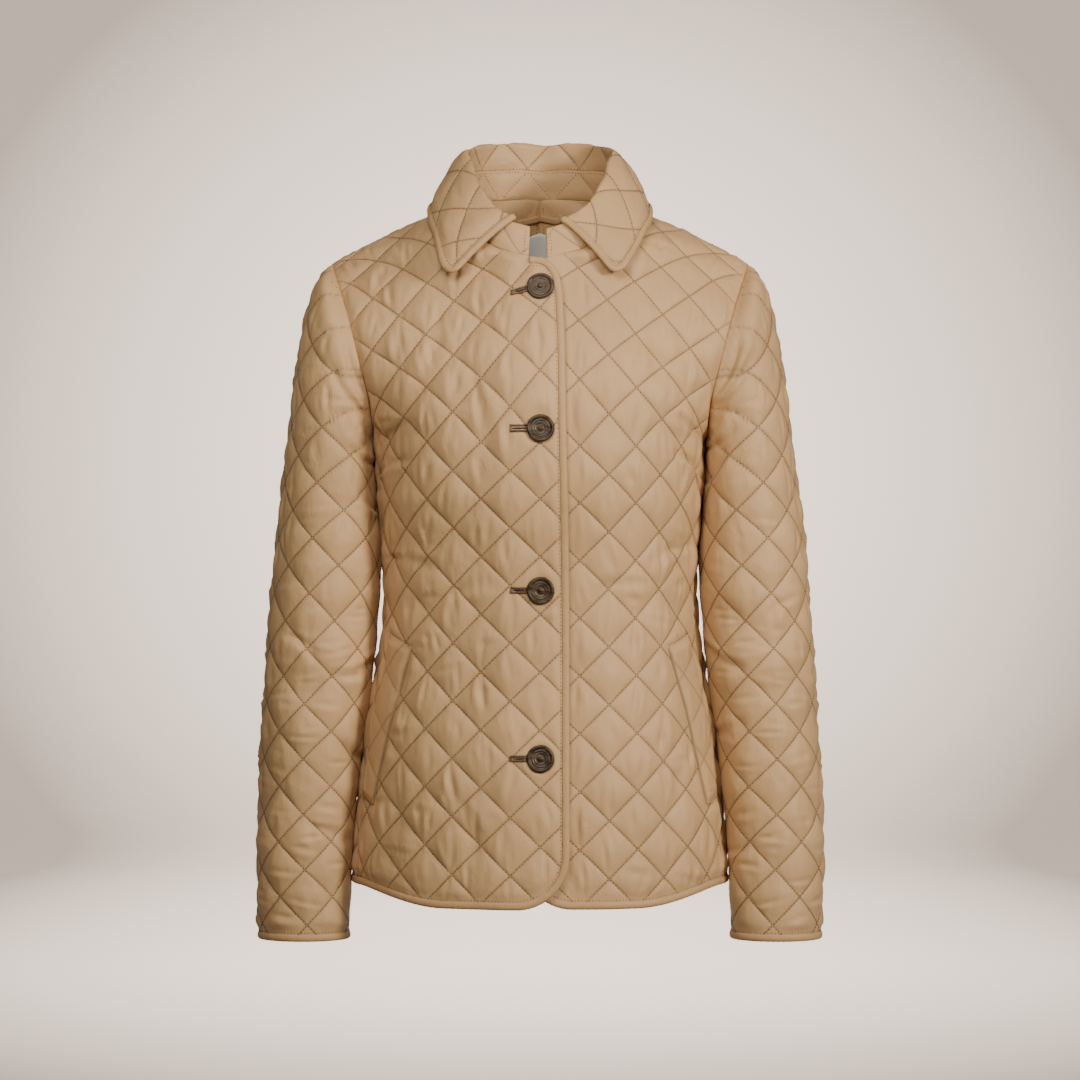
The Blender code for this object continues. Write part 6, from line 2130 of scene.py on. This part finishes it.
@dataclass
class Collar:
    """Collar: stand on the neckline, turned-down fall with its binding, and their stitching."""

    curve: Neckline
    materials: Materials

    def build(self) -> None:
        """Build the collar's pieces."""
        self.build_stand()
        self.build_fall()

    def build_stand(self) -> None:
        """Stand with both its ends turned and stitched."""
        low, high = self.curve.low, self.curve.high
        chart = Chart(self.curve.line, (low, high), (-8.0, 44.0), 1.0, step=2.0)
        levels = np.linspace(low, high, round((high - low) / STEP) + 1)
        widths = np.array([self.curve.line(t)[1][-1] for t in levels])
        tops = paired(widths, levels)
        runs = [
            Run(straight((0.0, low), tops[0]), Seam.TURNED),
            Run(tops, Seam.SEWN),
            Run(straight(tops[-1], (0.0, high)), Seam.TURNED),
            Run(paired(np.zeros(len(levels)), levels[::-1]), Seam.SEWN),
        ]
        lattice = Lattice(*CROSSINGS["stand"])
        panel = Panel("collar_stand_cloth", chart, lattice, runs, PADDINGS["collar_stand"])
        piece = panel.build(self.materials.cloth)
        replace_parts(piece, "collar_stand")
        stitches = Stitches("collar_stand_stitches")
        stitches.quilt(panel, gap=2.5, inner=True)
        below = tops - np.array((1.6, 0.0))
        stitches.row(panel, below, inner=True)
        for level in (low + 4.0, high - 4.0):
            for inner in (False, True):
                stitches.row(panel, straight((1.5, level), (STAND_RISE - 2.0, level)), inner=inner)
        stitches.build(self.materials.thread)

    def build_fall(self) -> None:
        """Fall from the stand over the roll to its bound edge."""
        row_line = self.curve.leaf_line()
        low = self.curve.low * LEAVES_RIGHT[-1].share
        high = self.curve.high * LEAVES_LEFT[-1].share
        chart = Chart(row_line, (low - END_REACH, high + END_REACH), (-8.0, 130.0), -1.0, step=2.0)

        def width(t: float) -> float:
            """Distance over the roll to the edge."""
            return float(row_line(t)[1][-1])

        def tip(end: float, sign: float) -> list[tuple[float, float]]:
            """Rounded corner at an end."""
            points = []
            for turn in np.linspace(0.0, math.pi / 2.0, 10):
                t = end - sign * TIP_RADIUS * (1.0 - math.cos(turn))
                points.append((width(t) - TIP_RADIUS * (1.0 - math.sin(turn)), t))
            return points

        low_tip, high_tip = tip(low, -1.0), tip(high, 1.0)
        levels = np.linspace(low_tip[-1][1], high_tip[-1][1], 80)[1:-1]
        edge = [(width(t), t) for t in levels]
        start = [(s, low) for s in np.linspace(0.0, low_tip[0][0], 5)[:-1]]
        finish = [(s, high) for s in np.linspace(high_tip[0][0], 0.0, 5)[1:]]
        free = smoothed(np.array(start + low_tip + edge + high_tip[::-1] + finish), STEP)
        inner = inset(chart, free, EDGE_INSET)
        inner = inner[(inner[:, 0] > 6.0) | (np.abs(inner[:, 1] - (low + high) / 2.0) < 10.0)]
        root_low, root_high = low + LEAF_START, high - LEAF_START
        root = straight((0.0, root_high), (0.0, root_low))
        rise = straight((0.0, root_low), inner[0])[:-1]
        fall = straight(inner[-1], (0.0, root_high))[1:]
        runs = [Run(np.concatenate((rise, inner, fall)), Seam.BOUND), Run(root, Seam.SEWN)]
        lattice, padding = Lattice(*CROSSINGS["fall"]), PADDINGS["collar_fall"]
        panel = Panel("collar_fall_cloth", chart, lattice, runs, padding, wall=FALL_WALL)
        piece = panel.build(self.materials.cloth)
        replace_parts(piece, "collar_fall")
        kept = free[free[:, 0] > LEAF_SETBACK]
        strip = Strip("collar_binding", wrap_section(COLLAR_BIND_WIDTH, FALL_WALL))
        bound = strip.build(edge_frames(chart, kept), self.materials.binding)
        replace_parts(bound, "binding_collar")
        stitches = Stitches("collar_stitches")
        stitches.quilt(panel, gap=8.0)
        stitches.row(panel, inset(chart, kept, COLLAR_BIND_WIDTH + COLLAR_ROW_GAP), lift=EDGE_LIFT)
        stitches.row(panel, root + np.array((1.6, 0.0)))
        stitches.build(self.materials.thread)


@dataclass
class Welt:
    """Pocket welt: quilted strip standing on its front, open along its forward edge."""

    side: str
    front: Panel
    materials: Materials
    columns: int = 26
    rows: int = 110
    puff: float = 1.7
    stand: float = 1.9
    sunk: float = 0.6

    def build(self) -> None:
        """Build the welt and its stitched ends."""
        down, across = np.meshgrid(
            np.linspace(0.0, 1.0, self.rows), np.linspace(0.0, 1.0, self.columns), indexing="ij"
        )
        s, t = welt_place(down, across)
        chart = self.front.chart
        a, b = self.front.lattice.shares(s, t)
        i, j = np.floor(a), np.floor(b)
        dome = (np.abs(np.sin(math.pi * a)) * np.abs(np.sin(math.pi * b))) ** 0.5
        puff = self.puff * dome + 0.6 * self.front.creases(i, j, a, b) * dome**0.6
        ends = ease(down / 0.05) * ease((1.0 - down) / 0.05)
        lip = ease(across / 0.07) ** 0.5
        fade = ease((1.0 - across) / 0.14)
        body = self.stand * (0.35 + 0.65 * ends) + puff * ends * ease((across - 0.04) / 0.2)
        rise = 0.4 + body * lip * fade
        sway = self.front.sway(s, t)
        normals = chart.normals(s, t)
        base = chart.points(s, t)
        upper = base + normals * (rise + sway)[..., None]
        under = base + normals * (sway - self.sunk)[..., None]
        # Painted shade: a dark line along the welt's open lip, with the stitched lines' painted
        # shade.
        mouth_shade = 2.6 * np.exp(-((across / 0.035) ** 2))
        values = np.maximum(stitch_shade(a, b), mouth_shade)
        piece = write_slab(
            f"pocket_{self.side}_welt", (upper, under), (s, t), values, self.materials.cloth,
            "quilted_cloth", self.side == "right",
        )
        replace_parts(piece, f"pocket_welt_{self.side}")


def slab_faces(rows: int, columns: int) -> list[list[int]]:
    """Faces of a closed slab whose two sheets are grids of points."""
    count = rows * columns
    faces = []
    for row in range(rows - 1):
        for column in range(columns - 1):
            a = row * columns + column
            ring = [a, a + 1, a + columns + 1, a + columns]
            faces.append(ring)
            faces.append([corner + count for corner in reversed(ring)])
    border = list(range(columns))
    border += [row * columns + columns - 1 for row in range(1, rows)]
    border += [(rows - 1) * columns + column for column in reversed(range(columns - 1))]
    border += [row * columns for row in reversed(range(1, rows - 1))]
    for index, corner in enumerate(border):
        after = border[(index + 1) % len(border)]
        faces.append([after, corner, corner + count, after + count])
    return faces


def write_slab(
    name: str,
    sheets: tuple[Array, Array],
    flat: tuple[Array, Array],
    values: Array,
    material: Material,
    slot: str,
    mirror: bool = False,
) -> Piece:
    """Mesh of a closed slab.

    Args:
        name: piece's name.
        sheets: grids of points of its two sides.
        flat: places of the points in the cloth.
        values: share of painted shade at the points, strongest on a stitched line.
        material: its finish.
        slot: material slot in the record.
        mirror: whether it is carried over to the wearer's right.

    Returns:
        The slab.
    """
    places = np.stack(flat, axis=2).reshape(-1, 2)
    return MESHER.write(
        name, np.concatenate([sheet.reshape(-1, 3) for sheet in sheets]),
        slab_faces(*values.shape), material, slot, mirror,
        np.concatenate((places, places)), np.concatenate((values.ravel(), values.ravel())),
    )


@dataclass
class Button:
    """Turned horn button with a raised rim, rings and a middle stud.

    `foot` is the radius of its underside; `profile` gives radii and heights from there inwards.
    """

    number: int
    height: float
    materials: Materials
    sides: int = 64
    foot: float = 10.5
    profile: tuple[tuple[float, float], ...] = (
        (12.0, 0.6), (12.5, 1.4), (12.5, 2.6), (12.1, 3.5), (11.4, 4.1), (10.7, 4.25),
        (10.0, 3.9), (9.3, 3.0), (8.7, 2.6), (8.0, 2.75), (7.5, 3.0), (6.9, 2.85), (6.4, 2.45),
        (5.8, 2.6), (5.3, 2.8), (4.8, 2.6), (4.2, 2.2), (3.0, 2.25), (2.3, 2.5), (2.0, 3.1),
        (1.5, 3.45), (0.8, 3.6),
    )

    def build(self) -> None:
        """Build the button on the right front."""
        chart = CHARTS["right"]
        s, t = (np.array([value]) for value in button_place(self.height))
        place = (chart.points(s, t) * MIRROR)[0]
        axis = (chart.normals(s, t) * MIRROR)[0]
        bpy.ops.object.select_all(action="DESELECT")
        radius, level = self.foot, 0.0
        bpy.ops.mesh.primitive_circle_add(
            vertices=self.sides, radius=radius * MM, fill_type="NGON"
        )
        button = bpy.context.active_object
        bpy.ops.object.mode_set(mode="EDIT")
        bpy.ops.mesh.select_all(action="SELECT")
        for wide, high in self.profile:
            rise = {"value": (0.0, 0.0, (high - level) * MM)}
            bpy.ops.mesh.extrude_region_move(TRANSFORM_OT_translate=rise)
            scale = wide / radius
            bpy.ops.transform.resize(value=(scale, scale, 1.0), center_override=(0.0, 0.0, 0.0))
            radius, level = wide, high
        bpy.ops.object.mode_set(mode="OBJECT")
        bpy.ops.object.shade_smooth()
        turn = Vector((0.0, 0.0, 1.0)).rotation_difference(Vector(axis)).to_matrix().to_4x4()
        turn.translation = Vector(place * MM)
        button.data.transform(turn)
        button.name = button.data.name = f"button_{self.number}_horn"
        button.data.materials.clear()
        button.data.materials.append(self.materials.horn)
        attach(button, "root")
        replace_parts(button, f"button_{self.number}")
        MESHER.count += len(button.data.polygons) * 2


@dataclass
class Buttonholes:
    """Slits of the right front with their purled lips and barred ends; the slits are painted shade.

    They run from `start` to `stop` past the middle, with lips `half` from their lines.
    """

    front: Panel
    materials: Materials
    start: float = 9.0
    stop: float = 26.0
    half: float = 1.1
    purl_pitch: float = 0.62
    columns: int = 14

    def build(self) -> None:
        """Build all four."""
        purl = Stitches("buttonhole_stitches", length=3.4, width=0.75, height=0.7)
        slits = []
        for height in BUTTON_HEIGHTS:
            t = FRONT_ROWS.level(height)
            s = np.arange(self.start, self.stop, self.purl_pitch)
            for sign in (-1.0, 1.0):
                line = paired(s, np.full(s.shape, t + sign * (self.half + 0.9)))
                self.across(purl, line, (0.0, 1.0))
            bar = paired(np.full(7, self.stop + 0.4), t + np.linspace(-2.6, 2.6, 7))
            self.across(purl, bar, (1.0, 0.0))
            slits.append(self.slit_shade(t))
        purl.build(self.materials.thread, True)
        points = np.concatenate([points for points, _ in slits])
        faces, first = [], 0
        for own, rings in slits:
            faces += [[corner + first for corner in ring] for ring in rings]
            first += len(own)
        finish = self.materials.slit_shade
        # Painted shade: near-black sheets in the buttonholes' openings.
        MESHER.write("buttonhole_shade_sheets", points, faces, finish, "quilted_cloth", True)

    def across(self, purl: Stitches, line: Array, way: tuple[float, float]) -> None:
        """Threads laid across a line, side by side."""
        step = np.array(way) * 0.6
        before = self.front.outer(*(line - step).T)
        after = self.front.outer(*(line + step).T)
        normals = self.front.chart.normals(line[:, 0], line[:, 1])
        purl.add((before + after) / 2.0 + normals * 0.32, after - before, normals)

    def slit_shade(self, t: float) -> tuple[Array, list[list[int]]]:
        """Narrow dark lens between the lips, a sheet of painted shade in the opening."""
        s = np.linspace(self.start, self.stop, self.columns)
        wide = 0.55 * np.sin(np.linspace(0.15, math.pi - 0.15, self.columns)) + 0.1
        rows = []
        for lift in (0.28, -0.3):
            for sign in (-1.0, 1.0):
                level = t + sign * wide
                normals = self.front.chart.normals(s, level)
                rows.append(self.front.outer(s, level) + normals * lift)
        return np.concatenate(rows), slab_faces(2, self.columns)


@dataclass
class Trim:
    """Hanging loop and blank label on the inside of the back."""

    materials: Materials
    chart: MirrorChart = field(default_factory=lambda: MirrorChart(CHARTS["back"]))

    def build(self) -> None:
        """Build both."""
        self.build_loop()
        self.build_label()

    def build_loop(self) -> None:
        """Narrow strip with both ends at the neck seam."""
        path = smoothed(np.array([
            (s, BACK_ROWS.level(height), stand)
            for (s, height), stand in zip(LOOP_PATH, LOOP_STANDS)
        ]), 1.2)
        s, t, stand = path.T
        normals = self.chart.normals(s, t)
        places = self.chart.points(s, t) - normals * (WALL + 0.6 + stand)[:, None]
        across = unit(np.cross(np.gradient(places, axis=0), normals))
        wave, rise = np.cos(round_turns(16)), np.sin(round_turns(16))
        section = paired(3.2 * np.sign(wave) * np.abs(wave) ** 0.5, 0.75 * rise)
        strip = Strip("hanger_loop_strip", section, ripple=0.0, flat_width=7.6)
        piece = strip.build((places, across, -normals), self.materials.binding)
        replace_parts(piece, "hanger_loop")

    def build_label(self) -> None:
        """Blank woven label with turned edges."""
        top, foot = BACK_ROWS.level(LABEL_TOP), BACK_ROWS.level(LABEL_FOOT)
        rows, columns = 24, 34
        level, across = np.meshgrid(
            np.linspace(foot, top, rows), np.linspace(-1.0, 1.0, columns), indexing="ij"
        )
        s = across * LABEL_HALF
        ends = np.minimum(level - foot, top - level) / (top - foot) * 2.0
        edge = np.minimum(1.0 - np.abs(across), ends)
        swell = 0.75 * ease(edge / 0.12) + 0.12 * np.sin(s / 5.3) * ease(edge / 0.3)
        normals = self.chart.normals(s, level)
        base = self.chart.points(s, level)
        outer = base - normals * (WALL + 0.35 + swell)[..., None]
        inner = base - normals * (WALL - 0.4)
        piece = write_slab(
            "neck_label_satin", (outer, inner), (s, level), np.zeros(s.shape),
            self.materials.label, "label_satin",
        )
        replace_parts(piece, "neck_label")


# Lights: name, place, the point that each is turned to, size in metres and power in watts.
LIGHTS = (
    ("key", (1.4, -1.45, 0.3), (0.0, 0.0, -0.3), 0.4, 38.0),
    ("fill", (-0.25, -1.2, 0.42), (0.0, 0.0, -0.22), 0.55, 12.5),
    ("top", (-0.1, -1.0, 1.7), (0.0, 0.0, -0.2), 0.7, 6.0),
)


@dataclass(frozen=True)
class Studio:
    """Plain pale floor curving up to a wall, soft lights and the camera, in metres.

    The paper glows with painted light, brightest in a painted pool on the floor at `middle`,
    between its two glow colours.
    """

    floor: float = -0.948
    wall: float = 4.2
    curve: float = 0.3
    lens: float = 129.03
    distance: float = 3.6
    height: float = -0.3134
    middle: float = 2.2
    # Painted light: colours of the paper's glow, from its painted pool of light to its painted
    # shade.
    bright_glow: tuple[float, float, float] = (2.45, 2.05, 1.72)
    dim_glow: tuple[float, float, float] = (0.62, 0.50, 0.41)

    def build(self) -> None:
        """Build the stage."""
        self.backdrop()
        for name, place, target, size, power in LIGHTS:
            self.light(name, place, target, size, power)
        world = bpy.data.worlds.new("studio")
        world.use_nodes = True
        world.node_tree.nodes["Background"].inputs["Color"].default_value = (1.0, 0.97, 0.93, 1.0)
        world.node_tree.nodes["Background"].inputs["Strength"].default_value = 0.06
        bpy.context.scene.world = world
        camera = bpy.data.objects.new("camera", bpy.data.cameras.new("camera"))
        camera.data.lens = self.lens
        camera.data.sensor_width = 36.0
        camera.location = (0.0, -self.distance, self.height)
        camera.rotation_euler = (math.pi / 2.0, 0.0, 0.0)
        bpy.context.scene.collection.objects.link(camera)
        bpy.context.scene.camera = camera

    def backdrop(self) -> None:
        """Floor and wall joined by a soft curve."""
        rows = [(-7.0, self.floor), (-2.0, self.floor), (self.wall - self.curve, self.floor)]
        for turn in np.linspace(0.0, math.pi / 2.0, 13)[1:]:
            rows.append((
                self.wall - self.curve + self.curve * math.sin(turn),
                self.floor + self.curve * (1.0 - math.cos(turn)),
            ))
        rows.append((self.wall, 5.5))
        points = [(x, y, z) for y, z in rows for x in (-6.0, 6.0)]
        faces = [[2 * k, 2 * k + 1, 2 * k + 3, 2 * k + 2] for k in range(len(rows) - 1)]
        mesh = bpy.data.meshes.new("backdrop")
        mesh.from_pydata(points, [], faces)
        mesh.shade_smooth()
        sweep = bpy.data.objects.new("backdrop", mesh)
        bpy.context.scene.collection.objects.link(sweep)
        mesh.materials.append(self.paper())

    def paper(self) -> Material:
        """Paper glowing with painted light, in painted shade towards its corners and the wall's
        foot.
        """
        nodes = Nodes("backdrop")

        def fade(value: Socket, start: float, stop: float) -> Socket:
            """Smooth step from 0 to 1 between two values."""
            return nodes.add(
                "MapRange", "Result", {"Value": value, "From Min": start, "From Max": stop},
                interpolation_type="SMOOTHSTEP",
            )

        def square(value: Socket) -> Socket:
            """Square of a value."""
            return nodes.math("POWER", nodes.math("ABSOLUTE", value), 2.0)

        place = nodes.add("TexCoord", "Object", {})
        x, y, z = (nodes.add("SeparateXYZ", axis, {"Vector": place}) for axis in "XYZ")
        wide = square(nodes.math("DIVIDE", x, 1.35))
        tall = square(nodes.math("DIVIDE", nodes.math("ADD", z, 0.12), 1.25))
        near, far = (
            nodes.math("POWER", nodes.math("MAXIMUM", nodes.math("SUBTRACT", *pair), 0.0), 1.6)
            for pair in ((self.middle, y), (y, self.middle))
        )
        # Painted shade: share of darkness, rising towards the wall's corners and foot, and on the
        # floor away from the painted pool at `middle`.
        on_wall = nodes.math("ADD", nodes.math("ADD", wide, tall), 0.13)
        on_floor = nodes.math("MULTIPLY_ADD", far, 0.135, 0.08)
        on_floor = nodes.math("MULTIPLY_ADD", near, 0.42, on_floor)
        on_floor = nodes.math("MULTIPLY_ADD", wide, 1.2, on_floor)
        foot = fade(z, self.floor, self.floor + 0.1)
        share = nodes.add("Mix", "Result", {"Factor": foot, "A": on_floor, "B": on_wall})
        # Painted light: the paper glows, fading out at its far sides, high on the wall and in front
        # of the jacket.
        wide_end = fade(nodes.math("ABSOLUTE", x), 2.3, 1.25)
        strength = nodes.math("MULTIPLY", wide_end, fade(z, 2.0, 0.85))
        return nodes.finish({
            "Base Color": (0.30, 0.285, 0.27, 1.0),
            "Roughness": 0.95,
            "Specular IOR Level": 0.0,
            "Emission Color": nodes.ramp(share, ((0.0, self.bright_glow), (1.0, self.dim_glow))),
            "Emission Strength": nodes.math("MULTIPLY", strength, fade(y, 0.1, 0.95)),
        })

    @staticmethod
    def light(name: str, place: tuple, target: tuple, size: float, power: float) -> None:
        """Square soft light turned to a target."""
        lamp = bpy.data.lights.new(name, "AREA")
        lamp.shape = "SQUARE"
        lamp.size = size
        lamp.energy = power
        lamp.color = (1.0, 0.965, 0.92)
        soft = bpy.data.objects.new(name, lamp)
        soft.location = place
        way = Vector(target) - Vector(place)
        soft.rotation_euler = way.to_track_quat("-Z", "Y").to_euler()
        bpy.context.scene.collection.objects.link(soft)


def main() -> None:
    """Build the garment and its studio."""
    logging.basicConfig(level=logging.INFO, format="%(message)s")
    materials = Materials()
    fronts = {side: Front(side, materials).build() for side in ("right", "left")}
    for side in ("right", "left"):
        Sleeve(side, materials).build()
        Welt(side, fronts[side], materials).build()
    Back(materials).build()
    Collar(Neckline(), materials).build()
    for number, height in enumerate(BUTTON_HEIGHTS, start=1):
        Button(number, height, materials).build()
    Buttonholes(fronts["right"], materials).build()
    Trim(materials).build()
    Studio().build()
    LOG.info("triangles in all: %d", MESHER.count)


if __name__ == "__main__":
    main()
